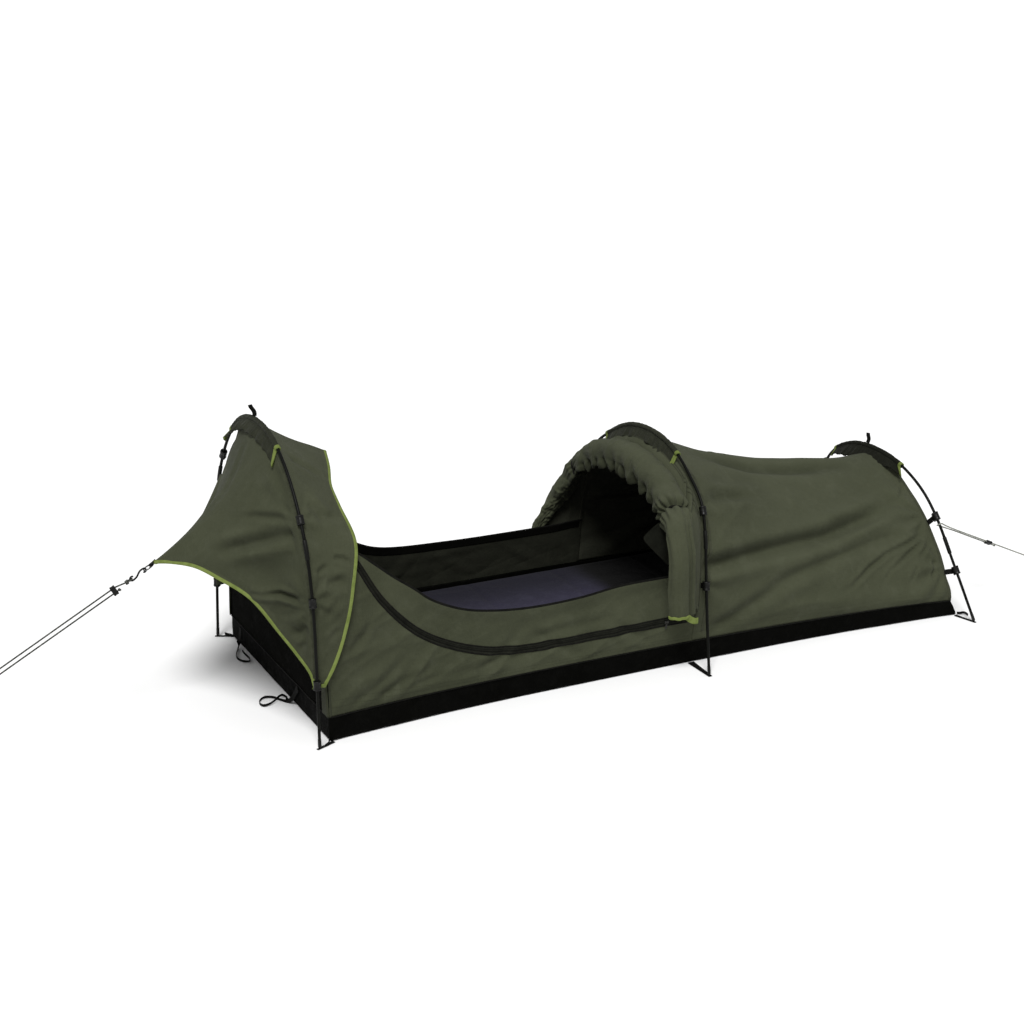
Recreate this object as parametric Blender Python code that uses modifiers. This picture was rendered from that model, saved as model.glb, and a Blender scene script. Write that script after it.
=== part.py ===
"""Swag bedroll: a low one-person canvas swag on three arched poles, pitched, with its upper cover rolled back to the middle arch.

Metres, +Z up. The bedroll lies along X with its head towards -X; its near side is -Y. It stands on z = 0. Positions below are measured from the middle of the floor tub, and TUB_X then shifts everything so that the whole object is centred."""

import math

import bmesh
import bpy
import numpy as np
from mathutils import Matrix, Vector

# ---------------------------------------------------------------- sizes
TUB_X = 0.1833  # from the object's middle to the middle of the tub
HALF_LEN = 1.075  # half the length of the floor tub
HALF_END = 0.425  # half its width at the ends
WAIST = 0.380  # half its width in the middle, where the sides are drawn in
CLOTH = 0.0025  # thickness of every cloth
GAP = 0.0004  # clearance between neighbours
SEAM_HEAD, SEAM_MID, SEAM_FOOT = 0.075, 0.071, 0.056  # height of the tub's side

POLE_R = 0.00475
AXIS_Z = 0.0075  # the hoops' fold axis, through the round tips of the poles
FERRULE_R, FERRULE_BORE, FERRULE_LEN = 0.0063, 0.0052, 0.055

# Each arch: (half-width, height) from the foot of the pole to its top.
HEAD_ARCH = [(0.449, AXIS_Z), (0.438, 0.19), (0.415, 0.42), (0.360, 0.585), (0.250, 0.725), (0.130, 0.800), (0.0, 0.822)]
MID_ARCH = [(0.489, AXIS_Z), (0.446, 0.15), (0.410, 0.28), (0.375, 0.41), (0.335, 0.49), (0.262, 0.545), (0.140, 0.605), (0.0, 0.625)]
FOOT_ARCH = [(0.494, AXIS_Z), (0.403, 0.163), (0.310, 0.312), (0.240, 0.378), (0.130, 0.428), (0.0, 0.444)]
# Where each arch stands and how far it leans: x = X0 + LEAN z.
HOOPS = {
    "head": dict(arch=HEAD_ARCH, x0=-1.114, lean=0.0164, leg=0.56),
    "mid": dict(arch=MID_ARCH, x0=0.110, lean=0.103, leg=0.40),
    "foot": dict(arch=FOOT_ARCH, x0=1.083, lean=-0.123, leg=0.25),
}
# Canvas section over the sleeper's legs, at the middle arch and at the foot.
MID_SKIN = [(0.382, 0.075), (0.388, 0.20), (0.375, 0.33), (0.345, 0.44), (0.280, 0.515), (0.150, 0.580), (0.0, 0.603)]
FOOT_SKIN = [(0.425, 0.060), (0.393, 0.119), (0.372, 0.165), (0.270, 0.284), (0.188, 0.340), (0.100, 0.388), (0.0, 0.412)]
RIDGE = [(0.10, 0.603), (0.17, 0.603), (0.31, 0.553), (0.46, 0.512), (0.69, 0.447), (0.90, 0.412), (1.03, 0.412)]  # x, height

TIP = Vector((-1.427, 0.0, 0.452))  # point of the front awning
HEM_NEAR = [(0.178, 0.985), (0.20, 0.95), (0.287, 0.757), (0.367, 0.615), (0.424, 0.422), (0.489, 0.27), (0.53, 0.12), (0.56, 0.035)]  # height on the arch, share of the way from the tip
HOOD_EDGE = [(-1.086, 0.437, 0.178), (-1.050, 0.432, 0.237), (-1.005, 0.419, 0.345), (-0.972, 0.392, 0.457), (-0.952, 0.363, 0.535), (-0.949, 0.334, 0.569), (-0.957, 0.256, 0.628), (-0.949, 0.172, 0.659), (-0.923, 0.090, 0.688), (-0.900, 0.0, 0.707)]
NEAR_TOP = [(-1.072, 0.585), (-1.00, 0.555), (-0.951, 0.523), (-0.850, 0.440), (-0.787, 0.393), (-0.737, 0.353), (-0.643, 0.309), (-0.554, 0.288), (-0.436, 0.275), (-0.273, 0.276), (-0.129, 0.290), (0.017, 0.291), (0.14, 0.291)]
FAR_TOP = [(-1.072, 0.585), (-1.00, 0.550), (-0.951, 0.513), (-0.850, 0.405), (-0.750, 0.315), (-0.664, 0.261), (-0.591, 0.235), (-0.352, 0.220), (-0.042, 0.216), (0.14, 0.216)]
ZIP_Z = 0.149  # height of the straight part of the zip

# The rolled-back cover: x, y, z, radius.
ROLL = [(-0.010, 0.409, 0.215, 0.016), (0.030, 0.405, 0.270, 0.024), (0.070, 0.360, 0.360, 0.034), (0.085, 0.290, 0.440, 0.040), (0.092, 0.170, 0.510, 0.045), (0.095, 0.050, 0.540, 0.047), (0.093, -0.080, 0.543, 0.047), (0.088, -0.200, 0.525, 0.046), (0.075, -0.300, 0.490, 0.045), (0.050, -0.385, 0.450, 0.044), (0.035, -0.432, 0.380, 0.043), (0.030, -0.438, 0.250, 0.043), (0.030, -0.438, 0.175, 0.043)]

CLIP_Z = {"head": (0.186, 0.419, 0.632), "mid": (0.257, 0.470), "foot": (0.150, 0.305)}
CLIP_W = 0.022  # length of a clip along its pole
SLEEVES = {  # from y (far) to y (near), length of the hem, its direction (along X, inwards)
    "head": (0.238, -0.162, 0.044, (-0.68, 0.73)),
    "mid": (0.268, -0.171, 0.043, (-0.47, 0.88)),
    "foot": (0.240, -0.138, 0.062, (-0.96, 0.28)),
}

ROPE_R, CORD_R = 0.00225, 0.0015
FRONT_PEG_X, REAR_PEG_X = -2.262, 1.643
UP_ROPE = Vector((0.879, 0.0, 0.4768)).normalized()  # from the front peg to the awning
ACROSS_ROPE = Vector((-UP_ROPE.z, 0.0, UP_ROPE.x))

# ---------------------------------------------------------------- scene
for old in list(bpy.data.objects):
    bpy.data.objects.remove(old, do_unlink=True)
ITEM = bpy.data.collections.new("swag_bedroll")
bpy.context.scene.collection.children.link(ITEM)


def material(name, colour, rough, metal=0.0):
    made = bpy.data.materials.get(name)
    if made:
        return made
    made = bpy.data.materials.new(name)
    made.use_nodes = True
    shader = made.node_tree.nodes["Principled BSDF"]
    shader.inputs["Base Color"].default_value = (*colour, 1.0)
    shader.inputs["Roughness"].default_value = rough
    shader.inputs["Metallic"].default_value = metal
    return made


KINDS = {
    "canvas": ((0.065, 0.070, 0.042), 0.9, 0.0),
    "tub": ((0.006, 0.006, 0.005), 0.7, 0.0),
    "foam": ((0.042, 0.038, 0.065), 0.9, 0.0),
    "pole": ((0.012, 0.014, 0.012), 0.35, 0.8),
    "plastic": ((0.008, 0.008, 0.008), 0.45, 0.0),
    "webbing": ((0.010, 0.010, 0.009), 0.85, 0.0),
    "lining": ((0.008, 0.008, 0.006), 0.9, 0.0),
    "cord": ((0.05, 0.05, 0.045), 0.8, 0.0),
    "steel": ((0.30, 0.30, 0.30), 0.3, 1.0),
}


def finish(obj, kind, smooth=True):
    ITEM.objects.link(obj)
    colour, rough, metal = KINDS[kind]
    obj.data.materials.append(material(obj.name + "_" + kind, colour, rough, metal))
    if obj.type == "MESH":
        obj.data.shade_smooth() if smooth else obj.data.shade_flat()
    return obj


def mesh_of(name, verts, faces, kind, smooth=True):
    data = bpy.data.meshes.new(name)
    data.from_pydata([tuple(v) for v in verts], [], faces)
    made = bmesh.new()
    made.from_mesh(data)
    bmesh.ops.recalc_face_normals(made, faces=made.faces)
    if made.calc_volume(signed=True) < 0:
        bmesh.ops.reverse_faces(made, faces=made.faces)
    made.to_mesh(data)
    made.free()
    return finish(bpy.data.objects.new(name, data), kind, smooth)


def box(name, size, centre, kind, turn=None, bevel=0.0):
    data = bpy.data.meshes.new(name)
    made = bmesh.new()
    bmesh.ops.create_cube(made, size=1.0)
    bmesh.ops.scale(made, vec=size, verts=made.verts)
    if bevel:
        bmesh.ops.bevel(made, geom=made.edges[:], offset=bevel, segments=1, affect="EDGES")
    if turn is not None:
        bmesh.ops.transform(made, matrix=turn.to_4x4(), verts=made.verts)
        if turn.determinant() < 0:
            bmesh.ops.reverse_faces(made, faces=made.faces)
    bmesh.ops.translate(made, vec=shift(centre), verts=made.verts)
    made.to_mesh(data)
    made.free()
    return finish(bpy.data.objects.new(name, data), kind, smooth=False)


def shift(p):
    return Vector((p[0] + TUB_X, p[1], p[2]))


def smooth_curve(points, per=8):
    """A centripetal Catmull-Rom curve through the points, per steps to each stretch."""
    P = np.array(points, float)
    Q = np.vstack([2 * P[0] - P[1], P, 2 * P[-1] - P[-2]])
    out = []
    for i in range(1, len(Q) - 2):
        p = Q[i - 1 : i + 3]
        t = [0.0]
        for a, b in zip(p[:-1], p[1:]):
            t.append(t[-1] + max(float(np.linalg.norm(b - a)), 1e-9) ** 0.5)
        for j in range(per):
            u = t[1] + (t[2] - t[1]) * j / per
            a1 = (t[1] - u) / (t[1] - t[0]) * p[0] + (u - t[0]) / (t[1] - t[0]) * p[1]
            a2 = (t[2] - u) / (t[2] - t[1]) * p[1] + (u - t[1]) / (t[2] - t[1]) * p[2]
            a3 = (t[3] - u) / (t[3] - t[2]) * p[2] + (u - t[2]) / (t[3] - t[2]) * p[3]
            b1 = (t[2] - u) / (t[2] - t[0]) * a1 + (u - t[0]) / (t[2] - t[0]) * a2
            b2 = (t[3] - u) / (t[3] - t[1]) * a2 + (u - t[1]) / (t[3] - t[1]) * a3
            out.append((t[2] - u) / (t[2] - t[1]) * b1 + (u - t[1]) / (t[2] - t[1]) * b2)
    out.append(P[-1])
    return np.array(out)


def ease(x):
    x = min(max(x, 0.0), 1.0)
    return x * x * (3 - 2 * x)


def half_width(x):
    return WAIST + (HALF_END - WAIST) * abs(min(max(x, -HALF_LEN), HALF_LEN) / HALF_LEN) ** 3


def seam_z(x):
    return float(np.interp(x, [-HALF_LEN, 0.0, HALF_LEN], [SEAM_HEAD, SEAM_MID, SEAM_FOOT]))


def arch_curve(points, per):
    """The whole arch through its control points and their mirror images, from one foot (-) to the other (+)."""
    P = np.array(points, float)
    return smooth_curve(np.vstack([P * [-1, 1], P[-2::-1]]), per)


def half_curve(points, per):
    """From the foot to the top of the + side."""
    whole = arch_curve(points, per)
    return whole[len(whole) // 2 :][::-1]


HEAD_LINE = half_curve(HEAD_ARCH, 24)
FOLLOWS_ARCH = ([-1.075, -0.9, -0.6, -0.2, 0.15], [1.0, 0.9, 0.5, 0.3, 0.3])


def head_half(z):
    return float(np.interp(z, HEAD_LINE[:, 1], HEAD_LINE[:, 0]))


def wall_y(x, z):
    """Half-width of the open part's side wall: the tub's outline at the seam, leaning in with the head arch."""
    k = float(np.interp(x, *FOLLOWS_ARCH))
    lean = (head_half(z) - head_half(0.075)) * k
    under_hood = 0.012 * ease((z - 0.45) / 0.12) * ease((-0.90 - x) / 0.05)
    return half_width(x) + lean - 0.004 * min(max((z - 0.1) / 0.2, 0.0), 1.0) - under_hood


# ---------------------------------------------------------------- sheets
def sheet(name, grid, kind, thick=CLOTH, extra=()):
    """A cloth of even thickness whose outer face is the grid of points (rows of equal length). extra holds further strips that share points with it."""
    data = bpy.data.meshes.new(name)
    made = bmesh.new()
    for part in (grid, *extra):
        rows = [[made.verts.new(shift(p)) for p in row] for row in part]
        for a, b in zip(rows[:-1], rows[1:]):
            for i in range(len(a) - 1):
                made.faces.new((a[i], a[i + 1], b[i + 1], b[i]))
    bmesh.ops.remove_doubles(made, verts=made.verts, dist=1e-5)
    bmesh.ops.recalc_face_normals(made, faces=made.faces)
    outward = sum(f.normal.dot(f.calc_center_median() - Vector((f.calc_center_median().x, 0.0, 0.1))) * f.calc_area() for f in made.faces)
    if outward < 0:
        bmesh.ops.reverse_faces(made, faces=made.faces)
    made.to_mesh(data)
    made.free()
    obj = finish(bpy.data.objects.new(name, data), kind)
    skin = obj.modifiers.new("thickness", "SOLIDIFY")
    skin.thickness = thick
    skin.offset = -1.0
    skin.use_even_offset = False
    skin.use_quality_normals = True
    return obj


def tub():
    n = 12
    xs = np.linspace(-HALF_LEN, HALF_LEN, n + 1)
    inner = CLOTH + GAP
    ring = [(x, -(half_width(x) - inner)) for x in xs] + [(x, half_width(x) - inner) for x in xs[::-1]]
    ring = [(min(max(x, -HALF_LEN + inner), HALF_LEN - inner), y) for x, y in ring]
    low = [shift((x, y, 0.0)) for x, y in ring]
    high = [shift((x, y, CLOTH)) for x, y in ring]
    m = len(ring)
    faces = [tuple(range(m))[::-1], tuple(range(m, 2 * m))]
    faces += [(i, (i + 1) % m, m + (i + 1) % m, m + i) for i in range(m)]
    mesh_of("tub_floor", low + high, faces, "tub", smooth=False)
    for side, name in ((-1, "tub_wall_near"), (1, "tub_wall_far")):
        grid = [[(x, side * half_width(x), z * seam_z(x)) for x in xs] for z in (0.0, 0.5, 1.0)]
        sheet(name, grid, "tub")
    for side, name in ((-1, "tub_wall_head"), (1, "tub_wall_foot")):
        w = HALF_END - CLOTH - GAP
        top = seam_z(side * HALF_LEN)
        box(name, (CLOTH, 2 * w, top), (side * (HALF_LEN - CLOTH / 2), 0, top / 2), "tub")


def mattress():
    long, wide, low, high = 2.06, 0.715, CLOTH + GAP, 0.068
    data = bpy.data.meshes.new("mattress")
    made = bmesh.new()
    bmesh.ops.create_cube(made, size=1.0)
    bmesh.ops.scale(made, vec=(long, wide, high - low), verts=made.verts)
    bmesh.ops.bevel(made, geom=made.edges[:], offset=0.012, segments=2, affect="EDGES", profile=0.5)
    bmesh.ops.translate(made, vec=shift((0, 0, (high + low) / 2)), verts=made.verts)
    made.to_mesh(data)
    made.free()
    finish(bpy.data.objects.new("mattress", data), "foam")


def side_wall(name, side, top):
    tops = smooth_curve(top, 2)
    rows = 5
    grid = [[] for _ in range(rows)]
    end = 0.1035
    xs = [p[0] for p in tops if p[0] < 0.09] + [end]
    for x in xs:
        z1 = float(np.interp(x, tops[:, 0], tops[:, 1]))
        for k in range(rows):
            z0 = seam_z(x) + GAP
            z = z0 + (z1 - z0) * k / (rows - 1)
            xx = x + (0.103 * z if x == end else 0.0)
            grid[k].append((xx, side * wall_y(x, z), z))
    return sheet(name, grid, "canvas")


def arch_inset(line, d):
    """The arch's (half-width, height) line moved inwards by d."""
    line = np.asarray(line)
    t = np.gradient(line, axis=0)
    t /= np.linalg.norm(t, axis=1)[:, None]
    return line + np.stack([-t[:, 1], t[:, 0]], 1) * d


def at_height(line, z):
    return float(np.interp(z, line[:, 1], line[:, 0]))


EDGE = arch_inset(HEAD_LINE, 0.014)  # the seam of hood and awning, inside the head pole
EDGE = EDGE[np.argsort(EDGE[:, 1])]


def head_x(z, off=0.0):
    return HOOPS["head"]["x0"] + HOOPS["head"]["lean"] * z + off


def head_wall():
    zs = [0.0758, 0.16, 0.25, 0.34, 0.43, 0.52, 0.60, 0.66, 0.70, 0.73, 0.755]
    line = np.array([(y - 0.020 - 0.020 * ease((z - 0.45) / 0.35), z) for y, z in HEAD_LINE])
    line[:, 1] -= 0.040 * np.array([ease((z - 0.6) / 0.22) for z in HEAD_LINE[:, 1]])
    ring = [(at_height(line, z), z) for z in zs]
    top = float(line[-1, 1])
    outline = [(-y, z) for y, z in ring] + [(0.0, top)] + [(y, z) for y, z in ring[::-1]]
    x0, x1 = -HALF_LEN, -HALF_LEN + CLOTH
    m = len(outline)
    verts = [shift((x0, y, z)) for y, z in outline] + [shift((x1, y, z)) for y, z in outline]
    faces = [tuple(range(m)), tuple(range(m, 2 * m))[::-1]]
    faces += [(i, (i + 1) % m, m + (i + 1) % m, m + i) for i in range(m)]
    mesh_of("head_wall", verts, faces, "lining", smooth=False)


def by_length(points, n):
    """n points evenly spaced along a polyline."""
    P = np.asarray(points, float)
    s = np.r_[0, np.cumsum(np.linalg.norm(np.diff(P, axis=0), axis=1))]
    return np.stack([np.interp(np.linspace(0, s[-1], n), s, P[:, i]) for i in range(P.shape[1])], 1)


def hood():
    rows = 10
    low = 0.178
    arch = EDGE[EDGE[:, 1] >= low]
    arch = by_length([(y, z) for y, z in arch], rows)
    front = [(head_x(z, 0.006), y, z) for y, z in arch]
    back = by_length(smooth_curve(HOOD_EDGE, 6), rows)
    half = []
    for f, b in zip(front, back):
        f = np.array(f)
        half.append([f + (b - f) * k / 4 for k in range(5)])
    near = [[(p[0], -p[1], p[2]) for p in row] for row in half]
    far = [[tuple(p) for p in row] for row in half[-2::-1]]
    sheet("hood", near + far, "canvas")


def awning():
    tip = np.array(TIP)
    hem = np.array(HEM_NEAR)
    low = 0.178
    shares = [0.0, 0.2, 0.4, 0.6, 0.8, 0.955, 1.0]

    def arch_point(side, z):
        return np.array((head_x(z, -0.006), side * at_height(EDGE, z), z))

    near_z = [0.178, 0.20, 0.245, 0.287, 0.33, 0.367, 0.424, 0.489, 0.53, 0.56]
    arch = EDGE[EDGE[:, 1] >= 0.56]
    over = by_length([(y, z) for y, z in arch], 9)
    rows = []
    for z in near_z:
        a = arch_point(-1, z)
        r0 = float(np.interp(z, hem[:, 0], hem[:, 1]))
        rows.append([tuple(tip + (a - tip) * (r0 + (1 - r0) * s)) for s in shares])
    top = [(-y, z) for y, z in over[1:]] + [(y, z) for y, z in over[-2::-1]] + [(at_height(EDGE, 0.545), 0.545)]
    for y, z in top:
        a = np.array((head_x(z, -0.006), y, z))
        r0 = 0.035
        sag = ease((0.66 - z) / 0.115) if y > 0 else 0.0
        row = []
        for s in shares:
            r = r0 + (1 - r0) * s
            p = tip + (a - tip) * r + np.array((0, 0.011, -0.028)) * math.sin(math.pi * min(s, 1.0)) * sag
            row.append(tuple(p))
        rows.append(row)
    strip = [list(rows[-1][-2:])]
    for z in (0.46, 0.37, 0.28, low):
        a = arch_point(1, z)
        strip.append([tuple(tip + (a - tip) * 0.955), tuple(a)])
    sheet("awning", rows, "canvas", extra=[strip])


def skin_line(points):
    return by_length(half_curve(points, 12), 9)


def foot_canopy():
    mid, foot = skin_line(MID_SKIN), skin_line(FOOT_SKIN)
    ridge = np.array(RIDGE)
    stations = [0.0, 0.05, 0.2, 0.36, 0.52, 0.68, 0.84, 1.0]
    grid = []
    for u in stations:
        x = 0.104 + u * (1.0735 - 0.104)
        # below the ridge each section runs from the seam line up
        line = mid + (foot - mid) * ease(u) ** 0.85
        want = float(np.interp(x - 0.045 * u + 0.062 * (1 - u), ridge[:, 0], ridge[:, 1]))
        low = seam_z(x) + 0.0016
        z0, z1 = line[0, 1], line[-1, 1]
        row = []
        for y, z in line:
            zz = low + (z - z0) * (want - low) / (z1 - z0)
            yy = y if z - z0 > 0.08 else half_width(x) + (y - half_width(x)) * ease((z - z0) / 0.08)
            lean = 0.103 * (1 - u) * zz - 0.11 * u * (zz - low)
            row.append((x + lean, yy, zz))
        full = [(a, -b, c) for a, b, c in row] + [(a, b, c) for a, b, c in row[-2::-1]]
        grid.append(full)
    sheet("foot_canopy", grid, "canvas")
    return grid[-1]


def foot_wall(edge):
    """The end panel, a little inside the canopy's foot edge."""
    pts = np.array(edge)
    mid_z = float(pts[:, 2].mean())
    out = []
    for x, y, z in pts:
        k = 1 - 0.009 / max(math.hypot(y, z - mid_z), 0.05)
        zz = mid_z + (z - mid_z) * k if z > 0.09 else z
        out.append((y * (k if z > 0.09 else 1 - 0.009 / 0.425), zz))
    xf = 1.0735 - CLOTH - GAP
    low = min(z for _, z in out)
    verts = []
    for back in (0.0, CLOTH):
        for y, z in out:
            verts.append(shift((xf + 0.004 - back - 0.11 * (z - low), y, z)))
    m = len(out)
    faces = [tuple(range(m)), tuple(range(m, 2 * m))[::-1]]
    faces += [(i, (i + 1) % m, m + (i + 1) % m, m + i) for i in range(m)]
    mesh_of("foot_wall", verts, faces, "canvas", smooth=False)


def door_roll():
    line = smooth_curve(ROLL, 2)
    pts, rad = line[:, :3], line[:, 3]
    sides = 12
    verts, faces = [], []
    tang = np.gradient(pts, axis=0)
    tang /= np.linalg.norm(tang, axis=1)[:, None]
    up = np.array((1.0, 0.0, 0.0))
    for p, t, r in zip(pts, tang, rad):
        a = up - t * (up @ t)
        a /= np.linalg.norm(a)
        b = np.cross(t, a)
        for k in range(sides):
            w = 2 * math.pi * k / sides
            verts.append(shift(p + a * math.cos(w) * r + b * math.sin(w) * r))
    n = len(pts)
    for i in range(n - 1):
        for k in range(sides):
            k2 = (k + 1) % sides
            faces.append((i * sides + k, i * sides + k2, (i + 1) * sides + k2, (i + 1) * sides + k))
    faces.append(tuple(range(sides))[::-1])
    faces.append(tuple((n - 1) * sides + k for k in range(sides)))
    mesh_of("door_roll", verts, faces, "canvas")


# ---------------------------------------------------------------- hoops
class Line:
    """A planar arch from the near foot over the top to the far foot, with a frame at each length along it: out of the plane (A), inwards (B) and along (T)."""

    def __init__(self, hoop):
        full = arch_curve(hoop["arch"], 16)
        self.pts = np.stack([hoop["x0"] + hoop["lean"] * full[:, 1], full[:, 0], full[:, 1]], 1)
        self.s = np.r_[0, np.cumsum(np.linalg.norm(np.diff(self.pts, axis=0), axis=1))]
        self.length = float(self.s[-1])
        self.A = np.array((1.0, 0.0, -hoop["lean"])) / math.hypot(1.0, hoop["lean"])
        self.tan = np.gradient(self.pts, self.s, axis=0)

    def frame(self, s):
        inside = min(max(s, 0.0), self.length)
        p = np.array([np.interp(inside, self.s, self.pts[:, i]) for i in range(3)])
        t = np.array([np.interp(inside, self.s, self.tan[:, i]) for i in range(3)])
        t /= np.linalg.norm(t)
        b = np.cross(t, self.A)
        b /= np.linalg.norm(b)
        if b[2] > 0 and abs(p[1]) < 0.05 or b @ np.array((0, -p[1], 0)) < 0:
            b = -b
        return p + t * (s - inside), self.A, b, t

    def at_y(self, y):
        return float(np.interp(y, self.pts[:, 1], self.s))

    def at_z(self, z, side):
        half = self.pts[:, 1] * side >= 0
        z_s = sorted(zip(self.pts[half, 2], self.s[half]))
        return float(np.interp(z, [a for a, _ in z_s], [b for _, b in z_s]))


LINES = {k: Line(v) for k, v in HOOPS.items()}


def lathe_along(name, line, rings, kind, sides=8):
    """Rings of (length along the line, radius), swept in order and closed at both ends. The lengths may turn back, which makes a socket."""
    verts, faces = [], []
    for s, r in rings:
        p, a, b, _ = line.frame(s)
        for k in range(sides):
            w = 2 * math.pi * (k + 0.5) / sides
            verts.append(shift(p + a * math.cos(w) * r + b * math.sin(w) * r))
    n = len(rings)
    for i in range(n - 1):
        for k in range(sides):
            k2 = (k + 1) % sides
            faces.append((i * sides + k, i * sides + k2, (i + 1) * sides + k2, (i + 1) * sides + k))
    faces.append(tuple(range(sides))[::-1])
    faces.append(tuple((n - 1) * sides + k for k in range(sides)))
    return mesh_of(name, verts, faces, kind)


def hoop_poles(name):
    line, leg = LINES[name], HOOPS[name]["leg"]
    cut = leg
    for side, start in (("near", 0.0), ("far", line.length)):
        sign = 1 if start == 0.0 else -1
        tip = [(-POLE_R * math.cos(w), POLE_R * math.sin(w)) for w in (0.25, 0.8, 1.3)]
        steps = [*np.linspace(0.0, cut - FERRULE_LEN / 2, 10), cut - 0.0006]
        rings = [(start + sign * s, r) for s, r in tip] + [(start + sign * s, POLE_R) for s in steps]
        lathe_along(f"{name}_pole_{side}", line, rings, "pole")
    half = FERRULE_LEN / 2
    a, b = cut, line.length - cut
    rings = [(a + 0.0006, FERRULE_BORE), (a - half, FERRULE_BORE), (a - half, FERRULE_R), (a + half, FERRULE_R), (a + half, POLE_R)]
    rings += [(s, POLE_R) for s in np.linspace(a + half, b - half, 23)[1:-1]]
    rings += [(b - half, POLE_R), (b - half, FERRULE_R), (b + half, FERRULE_R), (b + half, FERRULE_BORE), (b - 0.0006, FERRULE_BORE)]
    lathe_along(f"{name}_pole_top", line, rings, "pole")


def keyhole(name, frames, outer, bore, tail, way, half_thick, kind):
    """A ring round a pole with a flat tail. frames are (point, out of plane, inwards); way is the tail's direction in that plane; tail is its length from the pole's middle, for each frame."""
    n_arc, n_all = 9, 12
    verts, faces = [], []
    for (p, a, b), far in zip(frames, tail):
        d = a * way[0] + b * way[1]
        d /= np.linalg.norm(d)
        e = a * -way[1] + b * way[0]
        e /= np.linalg.norm(e)
        open_w = math.asin(min(half_thick / outer, 0.9))
        ring = []
        for k in range(n_arc):
            w = open_w + (2 * math.pi - 2 * open_w) * k / (n_arc - 1)
            ring.append(p + d * outer * math.cos(w) + e * outer * math.sin(w))
        ring.append(p + d * far - e * half_thick)
        ring.append(p + d * far)
        ring.append(p + d * far + e * half_thick)
        inner = []
        for k in range(n_all):
            w = open_w + (2 * math.pi - 2 * open_w) * k / (n_arc - 1) if k < n_arc else [-0.4, 0.0, 0.4][k - n_arc] * open_w
            inner.append(p + d * bore * math.cos(w) + e * bore * math.sin(w))
        verts += [shift(q) for q in ring + inner]
    m = 2 * n_all
    for i in range(len(frames) - 1):
        for k in range(n_all):
            k2 = (k + 1) % n_all
            o, q = i * m, (i + 1) * m
            faces.append((o + k, o + k2, q + k2, q + k))
            faces.append((o + n_all + k, q + n_all + k, q + n_all + k2, o + n_all + k2))
    for o in (0, (len(frames) - 1) * m):
        for k in range(n_all):
            k2 = (k + 1) % n_all
            faces.append((o + k, o + n_all + k, o + n_all + k2, o + k2))
    return mesh_of(name, verts, faces, kind)


def sleeve(name):
    line = LINES[name]
    far_y, near_y, length, way = SLEEVES[name]
    s0, s1 = line.at_y(near_y), line.at_y(far_y)
    frames, tails = [], []
    n = 13
    for k in range(n):
        s = s0 + (s1 - s0) * k / (n - 1)
        p, a, b, _ = line.frame(s)
        frames.append((p, a, b))
        tails.append(length * (0.72 + 0.28 * ease(min(k, n - 1 - k) / 3.0)))
    keyhole(f"{name}_sleeve", frames, 0.0092, 0.0068, tails, way, 0.0016, "canvas")


def ray_gap(p, d, line2d):
    """How far from p (y, z) along d a polyline of (y, z) is met."""
    best = None
    for a, b in zip(line2d[:-1], line2d[1:]):
        m = np.array([[d[0], a[0] - b[0]], [d[1], a[1] - b[1]]])
        if abs(np.linalg.det(m)) < 1e-12:
            continue
        t, u = np.linalg.solve(m, np.array([a[0] - p[0], a[1] - p[1]]))
        if t > 0 and -1e-6 <= u <= 1 + 1e-6:
            best = t if best is None else min(best, t)
    return best


def clips(name):
    line = LINES[name]
    if name == "head":
        skin = arch_inset(HEAD_LINE, 0.014)
    elif name == "mid":
        skin = half_curve(MID_SKIN, 12)
    else:
        skin = half_curve(FOOT_SKIN, 12)
    for side, sign in (("near", -1), ("far", 1)):
        for i, z in enumerate(CLIP_Z[name]):
            s = line.at_z(z, sign)
            p, a, b, t = line.frame(s)
            skin_side = [(sign * q[0], q[1]) for q in skin]
            reach = ray_gap((p[1], p[2]), (b[1], b[2]), skin_side) or 0.03
            tail = max(reach - 0.0022, 0.0102)
            frames = [(p - t * CLIP_W / 2, a, b), (p + t * CLIP_W / 2, a, b)]
            keyhole(f"{name}_clip_{side}_{i + 1}", frames, 0.0096, 0.0064, [tail, tail], (0.0, 1.0), 0.0016, "plastic")


def foot_tabs():
    """Webbing from the tub's foot to a pad under each pole tip."""
    for name, hoop in HOOPS.items():
        for side, sign in (("near", -1), ("far", 1)):
            foot = np.array((hoop["x0"] + hoop["lean"] * AXIS_Z, sign * hoop["arch"][0][0]))
            root_x = min(max(foot[0], -HALF_LEN + 0.012), HALF_LEN - 0.012)
            root = np.array((root_x, sign * (half_width(root_x) + 0.0006)))
            d = foot - root
            d /= np.linalg.norm(d)
            e = np.array((-d[1], d[0]))
            w0, w1 = (0.016, 0.009)
            start = root + d * 0.0015
            ends = [start - e * w0, foot - e * w1]
            ends += [foot + (d * math.cos(w) - e * math.sin(w)) * 0.010 for w in (0.9, 0.3, -0.3, -0.9)]
            ends += [foot + e * w1, start + e * w0]
            out = sign
            ends[0][1] = out * max(abs(ends[0][1]), half_width(ends[0][0]) + 0.0009)
            ends[-1][1] = out * max(abs(ends[-1][1]), half_width(ends[-1][0]) + 0.0009)
            m = len(ends)
            verts = [shift((x, y, 0.0003)) for x, y in ends] + [shift((x, y, 0.0022)) for x, y in ends]
            faces = [tuple(range(m)), tuple(range(m, 2 * m))]
            faces += [(i, (i + 1) % m, m + (i + 1) % m, m + i) for i in range(m)]
            mesh_of(f"{name}_foot_tab_{side}", verts, faces, "webbing", smooth=False)


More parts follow.
